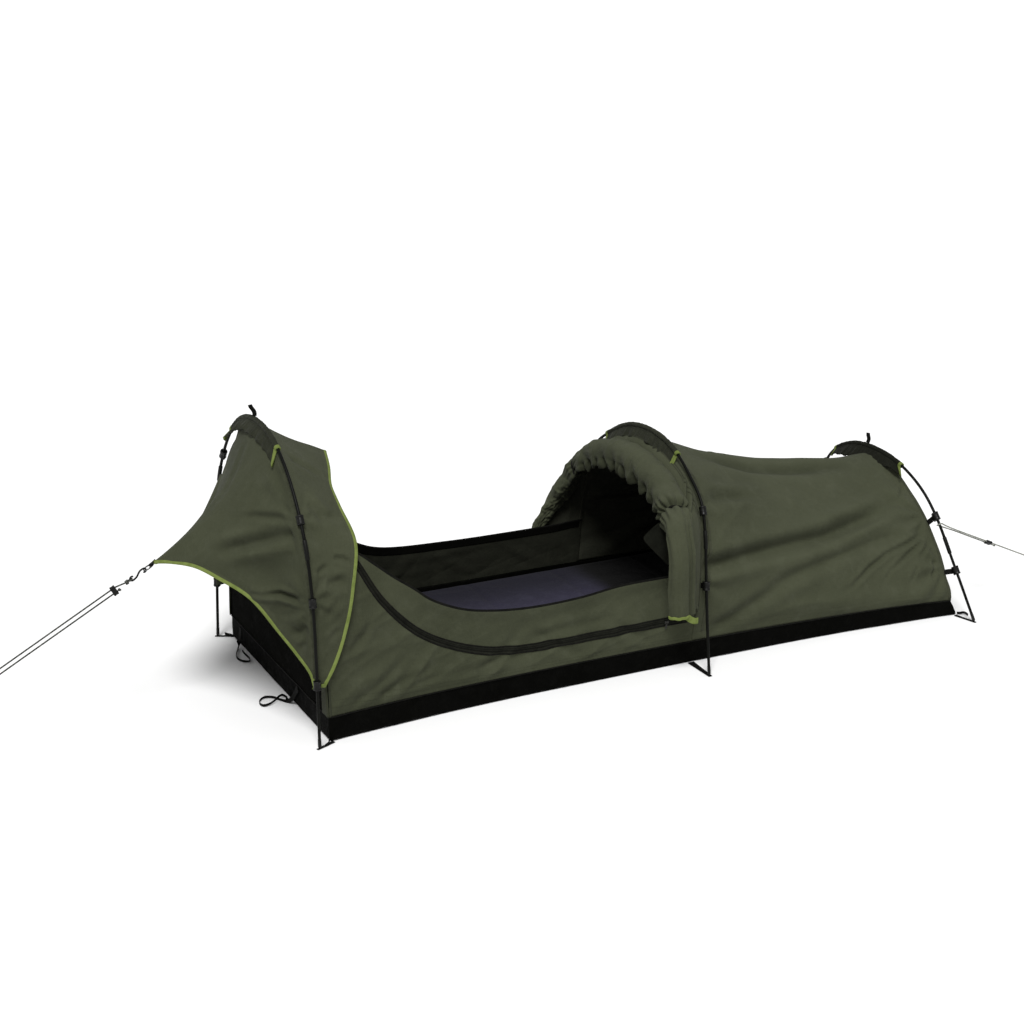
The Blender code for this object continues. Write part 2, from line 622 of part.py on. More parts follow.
def top_tab(name):
    line = LINES[name]
    p, a, b, t = line.frame(line.at_y(0.0))
    up = Vector(-b)
    along = Vector(t)
    turn = Matrix((along, Vector(a), up)).transposed()
    height = 0.033
    centre = Vector(p) + up * (0.0092 + GAP + height / 2)
    box(f"{name}_top_tab", (0.012, 0.003, height), centre, "webbing", turn=turn)


def ribbon(name, points, across, thick, kind, widths):
    """A flat tape along the points; across gives its flat direction at each."""
    P = np.array(points, float)
    tang = np.gradient(P, axis=0)
    tang /= np.linalg.norm(tang, axis=1)[:, None]
    verts, faces = [], []
    for p, t, c, w in zip(P, tang, across, widths):
        c = np.array(c, float)
        c -= t * (c @ t)
        c /= np.linalg.norm(c)
        n = np.cross(t, c)
        for u, v in ((-1, -1), (1, -1), (1, 1), (-1, 1)):
            verts.append(shift(p + c * u * w / 2 + n * v * thick / 2))
    n = len(P)
    for i in range(n - 1):
        for k in range(4):
            k2 = (k + 1) % 4
            faces.append((4 * i + k, 4 * i + k2, 4 * i + 4 + k2, 4 * i + 4 + k))
    faces += [(3, 2, 1, 0), (4 * n - 4, 4 * n - 3, 4 * n - 2, 4 * n - 1)]
    return mesh_of(name, verts, faces, kind)


def head_straps():
    """Two tapes from the head wall's seam down to the ground, each ending in a loop laid on it."""
    near = [(-1.0772, -0.180, 0.070), (-1.0782, -0.165, 0.040), (-1.0820, -0.140, 0.016), (-1.0900, -0.110, 0.0075), (-1.105, -0.085, 0.0075), (-1.125, -0.070, 0.0075), (-1.150, -0.072, 0.0075), (-1.164, -0.088, 0.0075), (-1.155, -0.106, 0.0075), (-1.135, -0.112, 0.0075), (-1.115, -0.110, 0.0075)]
    far = [(-1.0772, 0.330, 0.070), (-1.0782, 0.330, 0.045), (-1.0820, 0.322, 0.020), (-1.0900, 0.305, 0.0075), (-1.094, 0.280, 0.0075), (-1.096, 0.250, 0.0075), (-1.098, 0.222, 0.0075), (-1.108, 0.208, 0.0075), (-1.120, 0.216, 0.0075), (-1.122, 0.240, 0.0075), (-1.118, 0.266, 0.0075)]
    for name, pts in (("head_strap_near", near), ("head_strap_far", far)):
        across = [(0, 1, 0), (0, 1, 0.3)] + [(0, 0.4, 1)] + [(0, 0, 1)] * (len(pts) - 3)
        ribbon(name, pts, across, 0.002, "webbing", [0.012] * len(pts))


# ---------------------------------------------------------------- guys and small hardware
def cord(name, points, radius, kind, cyclic=False, res=2):
    data = bpy.data.curves.new(name, "CURVE")
    data.dimensions = "3D"
    line = data.splines.new("POLY")
    line.points.add(len(points) - 1)
    for q, p in zip(line.points, points):
        q.co = (*shift(p), 1.0)
    line.use_cyclic_u = cyclic
    data.bevel_depth = radius
    data.bevel_resolution = res
    data.use_fill_caps = not cyclic
    return finish(bpy.data.objects.new(name, data), kind)


RING_BAR = Vector((-1.437, 0.0, 0.4430))  # the D-ring's straight bar, inside the web loop


def tip_fittings():
    # web loop: a flat band folded round the ring's bar and sewn to the awning's point
    e, p = UP_ROPE, ACROSS_ROPE
    back = Vector(TIP) - RING_BAR
    back.normalize()
    side = Vector((-back.z, 0, back.x))
    r = 0.0029
    line = [RING_BAR + back * 0.0082 + side * 0.0022]
    line.append(RING_BAR + back * 0.003 + side * r)
    for w in (90, 125, 160, 200, 235, 270):
        a = math.radians(w)
        line.append(RING_BAR + (back * math.cos(a) + side * math.sin(a)) * r)
    line.append(RING_BAR + back * 0.003 - side * r)
    line.append(RING_BAR + back * 0.0082 - side * 0.0022)
    ribbon("tip_web_loop", [tuple(q) for q in line], [(0, 1, 0)] * len(line), 0.0014, "webbing", [0.013] * len(line))
    # D-ring: bar along Y, bow towards the rope
    w = 0.0105
    pts = [RING_BAR + Vector((0, y, 0)) for y in (-w + 0.002, 0.0, w - 0.002)]
    for a in np.radians(np.linspace(-90, 90, 9)):
        c = -e * (0.0105 + 0.0115 * math.cos(a)) + Vector((0, -w * math.sin(a), 0))
        pts.append(RING_BAR + c)
    cord("tip_ring", pts, 0.0016, "steel", cyclic=True)


BOW = RING_BAR - UP_ROPE * 0.022  # where the hook bears on the ring
HOOK_EYE = BOW - UP_ROPE * 0.040


def front_hook():
    """An open S hook in the rope's upright plane: one bend round the ring's bow, and a closed-in eye for the rope."""
    e, p = UP_ROPE, ACROSS_ROPE
    r = 0.0058
    pts = []
    for w in np.radians([-118, -90, -60, -30, 0, 30, 60, 90]):
        pts.append(BOW + e * r * math.cos(w) + p * r * math.sin(w))
    pts.append(BOW - e * 0.010 + p * 0.0055)
    pts.append(BOW - e * 0.018 + p * 0.0015)
    pts.append(BOW - e * 0.026 - p * 0.0035)
    r2 = 0.0062
    for w in np.radians([-80, -110, -145, -180, -215, -250, -285, -310]):
        pts.append(HOOK_EYE + e * r2 * math.cos(w) * -1 * -1 + p * r2 * math.sin(w))
    cord("front_hook", pts, 0.0018, "steel")


TENSIONER = Vector((-1.545, 0.0, 0.386))
STRAND = 0.007  # half the distance between the two strands


def front_tensioner():
    """A bar with two holes for the strands."""
    e, p = UP_ROPE, ACROSS_ROPE
    turn = Matrix((e, Vector((0, 1, 0)), p)).transposed()
    obj = box("front_tensioner", (0.009, 0.0095, 0.026), TENSIONER, "plastic", turn=turn, bevel=0.0015)
    for k, sign in enumerate((-1, 1)):
        hole = bpy.data.meshes.new(f"hole_{k}")
        made = bmesh.new()
        bmesh.ops.create_cone(made, cap_ends=True, segments=10, radius1=0.0029, radius2=0.0029, depth=0.03)
        bmesh.ops.transform(made, matrix=e.to_track_quat("Z", "Y").to_matrix().to_4x4(), verts=made.verts)
        bmesh.ops.translate(made, vec=shift(TENSIONER + p * STRAND * sign), verts=made.verts)
        made.to_mesh(hole)
        made.free()
        cut(obj, bpy.data.objects.new(f"hole_{k}", hole))


CUTTERS = bpy.data.collections.new("cutters")
bpy.context.scene.collection.children.link(CUTTERS)
CUTTERS.hide_render = True


def cut(obj, tool):
    CUTTERS.objects.link(tool)
    tool.hide_render = True
    tool.display_type = "WIRE"
    mod = obj.modifiers.new("cut", "BOOLEAN")
    mod.operation = "DIFFERENCE"
    mod.solver = "EXACT"
    mod.object = tool


def front_rope_points():
    """From the hook's eye, through the tensioner, down to the peg, round it and back up to the tensioner."""
    e, p, y = UP_ROPE, ACROSS_ROPE, Vector((0, 1, 0))
    knot = HOOK_EYE - e * 0.0150
    pts = [knot + y * 0.0032 - e * 0.002]
    pts.append(HOOK_EYE - e * 0.0085 + y * 0.0044)
    pts.append(HOOK_EYE - e * 0.0030 + y * 0.0034 + p * 0.0002)
    pts.append(HOOK_EYE - e * 0.0008)
    pts.append(HOOK_EYE - e * 0.0030 - y * 0.0034)
    pts.append(HOOK_EYE - e * 0.0085 - y * 0.0044)
    pts.append(knot - y * 0.0024 - e * 0.002 + p * 0.001)
    a = TENSIONER + p * STRAND
    pts.append(a + e * 0.0065)
    peg = Vector((FRONT_PEG_X + 0.016, 0, 0.0105))
    # straight strand to the peg, laid along the same direction as the hook's pull
    base = (peg - TENSIONER).dot(-e) - 0.012
    foot = TENSIONER - e * base
    for s in (0.0, 0.12, 0.26, 0.40, 0.54, 0.68):
        pts.append(a - e * s)
    low = foot
    n = 7
    for k in range(n):
        w = math.pi * k / (n - 1)
        pts.append(low - e * math.sin(w) * STRAND + p * math.cos(w) * STRAND)
    b = TENSIONER - p * STRAND
    for s in (0.68, 0.54, 0.40, 0.26, 0.12, 0.0):
        pts.append(b - e * s)
    pts.append(b + e * 0.011)
    return pts


REAR_Y = -0.300
POLE_WRAP_Z = 0.282


def rear_frame():
    line = LINES["foot"]
    s = line.at_z(POLE_WRAP_Z, -1)
    p, a, b, t = line.frame(s)
    pole = Vector(p)
    peg = Vector((REAR_PEG_X, REAR_Y, 0.0022))
    d = (peg - pole).normalized()
    return pole, Vector(t), d, peg


def rear_rope_points():
    """From a small loop on the ground, up through the slider, round the foot pole under its clip, and back down through the slider to a short tail."""
    pole, t, d, peg = rear_frame()
    across = d.cross(t).normalized()
    q = (d - t * d.dot(t)).normalized()
    pts = []
    # loop on the ground
    c = peg + Vector((0.012, 0.0, 0.0))
    for w in np.radians([205, 250, 295, 340, 25, 70, 115, 152]):
        pts.append(Vector((c.x + 0.012 * math.cos(w), c.y + 0.010 * math.sin(w), 0.0021)))
    start = peg - d * 0.030 + across * 0.0040
    pts.append(peg + Vector((-0.006, 0.0045, 0.0012)))
    pts.append(start)
    slide = pole + d * 0.232
    total = (peg - pole).length
    for s in (total - 0.15, total - 0.27, 0.232, 0.15, 0.070):
        pts.append(pole + d * s + across * 0.0040)
    pts.append(pole + d * 0.020 + across * 0.0066)
    r = POLE_R + CORD_R + 0.0018
    for w in np.radians([70, 110, 150, 180, 210, 250, 290]):
        pts.append(pole + (q * math.cos(w) + across * math.sin(w)) * r)
    pts.append(pole + d * 0.020 - across * 0.0066)
    for s in (0.070, 0.150, 0.232, 0.262):
        pts.append(pole + d * s - across * 0.0040)
    return pts, pole, d, across, t


def rear_slider(pole, d, across):
    centre = pole + d * 0.232
    n = d.cross(across).normalized()
    turn = Matrix((d, across, n)).transposed()
    obj = box("rear_slider", (0.022, 0.0165, 0.0072), centre, "plastic", turn=turn, bevel=0.0012)
    for k, sign in enumerate((-1, 1)):
        hole = bpy.data.meshes.new(f"rear_hole_{k}")
        made = bmesh.new()
        bmesh.ops.create_cone(made, cap_ends=True, segments=10, radius1=0.0021, radius2=0.0021, depth=0.04)
        bmesh.ops.transform(made, matrix=d.to_track_quat("Z", "Y").to_matrix().to_4x4(), verts=made.verts)
        bmesh.ops.translate(made, vec=shift(centre + across * 0.0040 * sign), verts=made.verts)
        made.to_mesh(hole)
        made.free()
        cut(obj, bpy.data.objects.new(f"rear_hole_{k}", hole))


def zip_sliders():
    for name, sign in (("zip_slider_near", -1), ("zip_slider_far", 1)):
        x = 0.022
        y = wall_y(x, ZIP_Z) + GAP + 0.0015
        box(name, (0.014, 0.003, 0.009), (x, sign * y, ZIP_Z), "steel", bevel=0.0008)


tub()
mattress()
side_wall("side_wall_near", -1, NEAR_TOP)
side_wall("side_wall_far", 1, FAR_TOP)
head_wall()
hood()
awning()
foot_wall(foot_canopy())
door_roll()
for hoop_name in HOOPS:
    hoop_poles(hoop_name)
    sleeve(hoop_name)
    clips(hoop_name)
top_tab("head")
top_tab("foot")
foot_tabs()
head_straps()
tip_fittings()
front_hook()
front_tensioner()
cord("front_guy_rope", front_rope_points(), ROPE_R, "cord")
REAR, POLE_AT, REAR_D, REAR_ACROSS, _ = rear_rope_points()
cord("rear_guy_rope", REAR, CORD_R, "cord")
rear_slider(POLE_AT, REAR_D, REAR_ACROSS)
zip_sliders()

# ---------------------------------------------------------------- moving bodies, each hung from an empty on its joint axis
MOVING = {
    "head_fold_axis": ((HOOPS["head"]["x0"] + HOOPS["head"]["lean"] * AXIS_Z, 0, AXIS_Z), ("head_", "hood", "awning", "tip_web_loop")),
    "mid_fold_axis": ((HOOPS["mid"]["x0"] + HOOPS["mid"]["lean"] * AXIS_Z, 0, AXIS_Z), ("mid_", "door_roll")),
    "foot_fold_axis": ((HOOPS["foot"]["x0"] + HOOPS["foot"]["lean"] * AXIS_Z, 0, AXIS_Z), ("foot_pole", "foot_sleeve", "foot_clip", "foot_top")),
    "front_peg_axis": ((FRONT_PEG_X, 0, 0), ("front_",)),
    "rear_peg_axis": ((REAR_PEG_X, REAR_Y, 0), ("rear_",)),
    "ring_axis": (tuple(RING_BAR), ("tip_ring",)),
}
STILL = ("head_wall", "head_strap", "head_foot_tab", "mid_foot_tab", "foot_foot_tab")
bpy.context.view_layer.update()
for axis_name, (where, starts) in MOVING.items():
    pivot = bpy.data.objects.new(axis_name, None)
    pivot.location = shift(where)
    ITEM.objects.link(pivot)
    for obj in list(ITEM.objects):
        if obj.type == "EMPTY" or obj.name.startswith(STILL) or not obj.name.startswith(starts):
            continue
        obj.parent = pivot
        obj.matrix_parent_inverse = Matrix.Translation(-shift(where))
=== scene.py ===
import math

import bpy
import numpy as np
from mathutils import Matrix, Vector

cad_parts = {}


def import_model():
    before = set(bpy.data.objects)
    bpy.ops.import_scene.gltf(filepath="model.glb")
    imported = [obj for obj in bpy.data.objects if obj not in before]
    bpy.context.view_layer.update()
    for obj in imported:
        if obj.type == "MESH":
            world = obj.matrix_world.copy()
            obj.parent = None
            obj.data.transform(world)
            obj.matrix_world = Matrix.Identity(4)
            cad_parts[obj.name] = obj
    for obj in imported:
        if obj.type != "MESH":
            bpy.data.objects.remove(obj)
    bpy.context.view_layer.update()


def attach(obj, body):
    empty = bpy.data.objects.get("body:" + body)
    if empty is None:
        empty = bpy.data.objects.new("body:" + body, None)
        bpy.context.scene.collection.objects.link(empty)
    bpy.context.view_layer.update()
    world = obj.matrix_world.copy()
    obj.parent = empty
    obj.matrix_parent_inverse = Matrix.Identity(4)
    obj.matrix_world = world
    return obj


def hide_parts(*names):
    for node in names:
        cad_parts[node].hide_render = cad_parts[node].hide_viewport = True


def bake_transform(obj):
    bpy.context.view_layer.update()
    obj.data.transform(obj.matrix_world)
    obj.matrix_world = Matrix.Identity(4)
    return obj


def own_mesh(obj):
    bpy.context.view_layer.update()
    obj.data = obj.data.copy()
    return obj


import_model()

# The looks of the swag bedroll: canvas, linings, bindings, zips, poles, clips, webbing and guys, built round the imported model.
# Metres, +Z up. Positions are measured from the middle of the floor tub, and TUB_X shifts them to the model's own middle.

TUB_X = 0.1833
HALF_LEN, HALF_END, WAIST = 1.075, 0.425, 0.380
SEAM_HEAD, SEAM_MID, SEAM_FOOT = 0.075, 0.071, 0.056
POLE_R, AXIS_Z = 0.00475, 0.0075
FERRULE_R, FERRULE_LEN = 0.0063, 0.055
ROPE_R, CORD_R = 0.00225, 0.0015
FRONT_PEG_X, REAR_PEG_X = -2.262, 1.643

HEAD_ARCH = [(0.449, AXIS_Z), (0.438, 0.19), (0.415, 0.42), (0.360, 0.585), (0.250, 0.725), (0.130, 0.800), (0.0, 0.822)]
MID_ARCH = [(0.489, AXIS_Z), (0.446, 0.15), (0.410, 0.28), (0.375, 0.41), (0.335, 0.49), (0.262, 0.545), (0.140, 0.605), (0.0, 0.625)]
FOOT_ARCH = [(0.494, AXIS_Z), (0.403, 0.163), (0.310, 0.312), (0.240, 0.378), (0.130, 0.428), (0.0, 0.444)]
HOOPS = {
    "head": dict(arch=HEAD_ARCH, x0=-1.114, lean=0.0164, leg=0.56),
    "mid": dict(arch=MID_ARCH, x0=0.110, lean=0.103, leg=0.40),
    "foot": dict(arch=FOOT_ARCH, x0=1.083, lean=-0.123, leg=0.25),
}
MID_SKIN = [(0.382, 0.075), (0.388, 0.20), (0.375, 0.33), (0.345, 0.44), (0.280, 0.515), (0.150, 0.580), (0.0, 0.603)]
FOOT_SKIN = [(0.425, 0.060), (0.393, 0.119), (0.372, 0.165), (0.270, 0.284), (0.188, 0.340), (0.100, 0.388), (0.0, 0.412)]
RIDGE = [(0.10, 0.603), (0.17, 0.598), (0.32, 0.545), (0.41, 0.513), (0.51, 0.484), (0.60, 0.463), (0.70, 0.449), (0.80, 0.438), (0.87, 0.431), (0.96, 0.427), (1.03, 0.426)]
FOOT_EDGE = [(0.050, 1.0500), (0.118, 1.0435), (0.165, 1.0425), (0.284, 1.0400), (0.340, 1.0370), (0.425, 1.0335)]
TIP = Vector((-1.427, 0.0, 0.452))
HEM_NEAR = [(0.178, 0.998), (0.205, 0.980), (0.240, 0.895), (0.287, 0.778), (0.367, 0.622), (0.424, 0.425), (0.489, 0.27), (0.53, 0.115), (0.56, 0.012)]
HOOD_EDGE = [(-1.086, 0.437, 0.178), (-1.050, 0.432, 0.237), (-1.005, 0.419, 0.345), (-0.972, 0.392, 0.457), (-0.952, 0.363, 0.535), (-0.949, 0.334, 0.569), (-0.957, 0.256, 0.628), (-0.949, 0.172, 0.659), (-0.923, 0.090, 0.688), (-0.900, 0.0, 0.707)]
NEAR_TOP = [(-1.072, 0.585), (-1.00, 0.555), (-0.951, 0.523), (-0.850, 0.440), (-0.787, 0.393), (-0.737, 0.353), (-0.643, 0.309), (-0.554, 0.288), (-0.436, 0.275), (-0.273, 0.276), (-0.129, 0.290), (0.017, 0.291), (0.14, 0.291)]
FAR_TOP = [(-1.072, 0.585), (-1.00, 0.550), (-0.951, 0.513), (-0.850, 0.405), (-0.750, 0.315), (-0.664, 0.261), (-0.591, 0.235), (-0.352, 0.220), (-0.042, 0.216), (0.14, 0.216)]
ZIP_Z = 0.149
ZIP_NEAR = [(-0.985, 0.538), (-0.958, 0.496), (-0.896, 0.384), (-0.812, 0.288), (-0.746, 0.238), (-0.655, 0.194), (-0.557, 0.1635), (-0.434, 0.1475), (-0.273, 0.1475), (-0.12, 0.149), (0.018, 0.149), (0.098, 0.149)]
ZIP_FAR = [(-0.985, 0.528), (-0.955, 0.478), (-0.900, 0.370), (-0.820, 0.262), (-0.750, 0.208), (-0.655, 0.170), (-0.557, 0.152), (-0.434, 0.1475), (-0.273, 0.148), (-0.12, 0.149), (0.018, 0.149), (0.098, 0.149)]
ROLL = [(-0.010, 0.409, 0.215, 0.016), (0.030, 0.405, 0.270, 0.024), (0.070, 0.360, 0.360, 0.034), (0.085, 0.290, 0.440, 0.040), (0.092, 0.170, 0.510, 0.045), (0.095, 0.050, 0.540, 0.047), (0.093, -0.080, 0.543, 0.047), (0.088, -0.200, 0.525, 0.046), (0.075, -0.300, 0.490, 0.045), (0.052, -0.385, 0.450, 0.043), (0.042, -0.432, 0.380, 0.040), (0.040, -0.438, 0.250, 0.040), (0.042, -0.438, 0.192, 0.039)]
CLIP_Z = {"head": (0.186, 0.419, 0.632), "mid": (0.257, 0.470), "foot": (0.150, 0.305)}
SLEEVES = {
    "head": (0.238, -0.162, 0.044, (-0.68, 0.73), 0.036, 0.039),
    "mid": (0.268, -0.171, 0.043, (-0.47, 0.88), 0.050, 0.022),
    "foot": (0.240, -0.138, 0.057, (-0.84, 0.54), 0.026, 0.034),
}
UP_ROPE = Vector((0.879, 0.0, 0.4768)).normalized()
ACROSS_ROPE = Vector((-UP_ROPE.z, 0.0, UP_ROPE.x))


def world(p):
    return (p[0] + TUB_X, p[1], p[2])


# ------------------------------------------------------------ camera
view_data = bpy.data.cameras.new("camera")
view_data.sensor_fit = "HORIZONTAL"
view_data.sensor_width = 36.0
view_data.lens = 73.44
view_data.clip_start, view_data.clip_end = 0.1, 300.0
camera = bpy.data.objects.new("camera", view_data)
bpy.context.scene.collection.objects.link(camera)
turn = Matrix(((0.901097, 0.145549, -0.408461), (-0.433609, 0.296275, -0.851002), (-0.002846, 0.943947, 0.330084)))
camera.matrix_world = Matrix.Translation((-2.900774 + TUB_X, -5.405149, 2.525468)) @ turn.to_4x4()
bpy.context.scene.camera = camera


# ------------------------------------------------------------ curves and surfaces
def unit(v):
    v = np.asarray(v, float)
    return v / np.maximum(np.linalg.norm(v, axis=-1, keepdims=True), 1e-12)


def smooth_curve(points, per=8):
    """A centripetal Catmull-Rom curve through the points, per steps to each stretch."""
    P = np.array(points, float)
    Q = np.vstack([2 * P[0] - P[1], P, 2 * P[-1] - P[-2]])
    out = []
    for i in range(1, len(Q) - 2):
        p = Q[i - 1 : i + 3]
        t = [0.0]
        for a, b in zip(p[:-1], p[1:]):
            t.append(t[-1] + max(float(np.linalg.norm(b - a)), 1e-9) ** 0.5)
        for j in range(per):
            u = t[1] + (t[2] - t[1]) * j / per
            a1 = (t[1] - u) / (t[1] - t[0]) * p[0] + (u - t[0]) / (t[1] - t[0]) * p[1]
            a2 = (t[2] - u) / (t[2] - t[1]) * p[1] + (u - t[1]) / (t[2] - t[1]) * p[2]
            a3 = (t[3] - u) / (t[3] - t[2]) * p[2] + (u - t[2]) / (t[3] - t[2]) * p[3]
            b1 = (t[2] - u) / (t[2] - t[0]) * a1 + (u - t[0]) / (t[2] - t[0]) * a2
            b2 = (t[3] - u) / (t[3] - t[1]) * a2 + (u - t[1]) / (t[3] - t[1]) * a3
            out.append((t[2] - u) / (t[2] - t[1]) * b1 + (u - t[1]) / (t[2] - t[1]) * b2)
    out.append(P[-1])
    return np.array(out)


def arch_curve(points, per):
    P = np.array(points, float)
    return smooth_curve(np.vstack([P * [-1, 1], P[-2::-1]]), per)


def half_curve(points, per):
    whole = arch_curve(points, per)
    return whole[len(whole) // 2 :][::-1]


def ease(x):
    x = np.clip(x, 0.0, 1.0)
    return x * x * (3 - 2 * x)


def by_length(points, n):
    P = np.asarray(points, float)
    s = np.r_[0, np.cumsum(np.linalg.norm(np.diff(P, axis=0), axis=1))]
    return np.stack([np.interp(np.linspace(0, s[-1], n), s, P[:, i]) for i in range(P.shape[1])], 1)


def half_width(x):
    return WAIST + (HALF_END - WAIST) * np.abs(np.clip(x, -HALF_LEN, HALF_LEN) / HALF_LEN) ** 3


def seam_z(x):
    return np.interp(x, [-HALF_LEN, 0.0, HALF_LEN], [SEAM_HEAD, SEAM_MID, SEAM_FOOT])


def seam_top(x):
    """The height of the seam where the tub's foot end slumps a little."""
    return seam_z(x) - 0.006 * ease((np.asarray(x, float) - 0.90) / 0.15)


HEAD_LINE = half_curve(HEAD_ARCH, 24)


def head_half(z):
    return np.interp(z, HEAD_LINE[:, 1], HEAD_LINE[:, 0])


def wall_y(x, z):
    """Half-width of the open part's side wall: the tub's outline at the seam, leaning in with the head arch."""
    k = np.interp(x, [-1.075, -0.9, -0.6, -0.2, 0.15], [1.0, 0.9, 0.5, 0.3, 0.3])
    lean = (head_half(z) - head_half(0.075)) * k
    under_hood = 0.012 * ease((z - 0.45) / 0.12) * ease((-0.90 - x) / 0.05)
    return half_width(x) + lean - 0.004 * np.clip((z - 0.1) / 0.2, 0.0, 1.0) - under_hood


def arch_inset(line, d):
    line = np.asarray(line)
    t = unit(np.gradient(line, axis=0))
    return line + np.stack([-t[:, 1], t[:, 0]], 1) * d


EDGE = arch_inset(HEAD_LINE, 0.014)
EDGE = EDGE[np.argsort(EDGE[:, 1])]


def head_x(z, off=0.0):
    return HOOPS["head"]["x0"] + HOOPS["head"]["lean"] * z + off


class Line:
    """A planar arch from the near foot over the top to the far foot, with a frame at each length: out of the plane (A), inwards (B), along (T)."""

    def __init__(self, hoop):
        full = arch_curve(hoop["arch"], 16)
        self.pts = np.stack([hoop["x0"] + hoop["lean"] * full[:, 1], full[:, 0], full[:, 1]], 1)
        self.s = np.r_[0, np.cumsum(np.linalg.norm(np.diff(self.pts, axis=0), axis=1))]
        self.length = float(self.s[-1])
        self.A = np.array((1.0, 0.0, -hoop["lean"])) / math.hypot(1.0, hoop["lean"])
        self.tan = np.gradient(self.pts, self.s, axis=0)

    def frame(self, s):
        inside = min(max(s, 0.0), self.length)
        p = np.array([np.interp(inside, self.s, self.pts[:, i]) for i in range(3)])
        t = unit(np.array([np.interp(inside, self.s, self.tan[:, i]) for i in range(3)]))
        b = unit(np.cross(t, self.A))
        if b[2] > 0 and abs(p[1]) < 0.05 or b @ np.array((0, -p[1], 0)) < 0:
            b = -b
        return p + t * (s - inside), self.A, b, t

    def frames(self, ss):
        rows = [self.frame(float(s)) for s in ss]
        return tuple(np.array([r[i] for r in rows]) for i in range(4))

    def at_y(self, y):
        return float(np.interp(y, self.pts[:, 1], self.s))

    def at_z(self, z, side):
        half = self.pts[:, 1] * side >= 0
        z_s = sorted(zip(self.pts[half, 2], self.s[half]))
        return float(np.interp(z, [a for a, _ in z_s], [b for _, b in z_s]))


LINES = {k: Line(v) for k, v in HOOPS.items()}


# ------------------------------------------------------------ noise and folds
def noise(P, freq, seed=0):
    """Smooth gradient noise of about -1 to 1, the same on each run. freq may be three numbers."""
    rng = np.random.RandomState(seed + 11)
    perm = rng.permutation(256)
    grad = unit(rng.normal(size=(256, 3)))
    q = np.asarray(P, float) * np.asarray(freq, float) + 41.7
    i = np.floor(q).astype(int)
    f = q - i
    w = f * f * f * (f * (f * 6 - 15) + 10)
    total = np.zeros(q.shape[:-1])
    for dx in (0, 1):
        hx = perm[(i[..., 0] + dx) & 255]
        for dy in (0, 1):
            hy = perm[(hx + i[..., 1] + dy) & 255]
            for dz in (0, 1):
                h = perm[(hy + i[..., 2] + dz) & 255]
                d = f - np.array((dx, dy, dz))
                k = (w[..., 0] if dx else 1 - w[..., 0]) * (w[..., 1] if dy else 1 - w[..., 1]) * (w[..., 2] if dz else 1 - w[..., 2])
                total += k * (grad[h] * d).sum(-1)
    return total * 1.6


def fractal(P, freq, octaves=3, seed=0):
    freq = np.asarray(freq, float)
    return sum(noise(P, freq * 2**k, seed + 7 * k) * 0.5**k for k in range(octaves))


def ridges(P, freq, seed=0, sharp=2.0):
    """Narrow raised lines, like soft creases, 0 to 1."""
    return np.clip(1 - np.abs(noise(P, freq, seed)) * 2.2, 0, 1) ** sharp


def fold(P, line, width, depth, start=0.25, end=0.25, lip=0.45):
    """A furrow along a polyline, with a low lip to each side. start and end are the shares of its length over which it fades."""
    line = np.array(line, float)
    seg = np.linalg.norm(np.diff(line, axis=0), axis=1)
    total = seg.sum()
    best = np.full(P.shape[:-1], 1e9)
    where = np.zeros(P.shape[:-1])
    done = 0.0
    for a, b, n in zip(line[:-1], line[1:], seg):
        t = np.clip(((P - a) @ (b - a)) / (n * n), 0, 1)
        d = np.linalg.norm(P - (a + t[..., None] * (b - a)), axis=-1)
        near = d < best
        best = np.where(near, d, best)
        where = np.where(near, (done + t * n) / total, where)
        done += n
    fade = (ease(where / start) if start else 1.0) * (ease((1 - where) / end) if end else 1.0)
    return fade * (-depth * np.exp(-((best / width) ** 2)) + lip * depth * np.exp(-(((best - 1.8 * width) / width) ** 2)))


def star(P, c, reach, count, amp, pull=0.0, phase=0.0, side=(0, 1, 0)):
    """Creases that fan out from a point where the cloth is held, and the pull of the cloth towards it."""
    d = P - np.array(c, float)
    n = unit(np.array(side, float))
    e1 = unit(np.cross(n, (0.0, 0.0, 1.0)))
    e2 = np.cross(n, e1)
    r = np.linalg.norm(d, axis=-1)
    angle = np.arctan2(d @ e2, d @ e1)
    wob = 0.35 * np.sin(2.3 * angle + phase * 2)
    return amp * np.cos(count * angle + phase + wob) * np.exp(-r / reach) * (1 - np.exp(-((r / (0.3 * reach)) ** 2))) + pull * np.exp(-((r / (0.6 * reach)) ** 2))


def surface_normals(P, flip=None):
    n = unit(np.cross(np.gradient(P, axis=1), np.gradient(P, axis=0)))
    if flip is None:
        mid = P.copy()
        mid[..., 1] = 0.0
        mid[..., 2] = 0.1
        flip = float((n * (P - mid)).sum()) < 0
    return (-n if flip else n), flip


def edge_fade(P, reach, sides="abcd"):
    """1 inside the sheet, falling to 0 at the named sides: a first row, b last row, c first column, d last column."""
    R, C = P.shape[:2]
    v = np.concatenate([np.zeros((1, C)), np.cumsum(np.linalg.norm(np.diff(P, axis=0), axis=2), axis=0)])
    u = np.concatenate([np.zeros((R, 1)), np.cumsum(np.linalg.norm(np.diff(P, axis=1), axis=2), axis=1)], axis=1)
    out = np.ones((R, C))
    if "a" in sides:
        out *= ease(v / reach)
    if "b" in sides:
        out *= ease((v[-1:] - v) / reach)
    if "c" in sides:
        out *= ease(u / reach)
    if "d" in sides:
        out *= ease((u[:, -1:] - u) / reach)
    return out


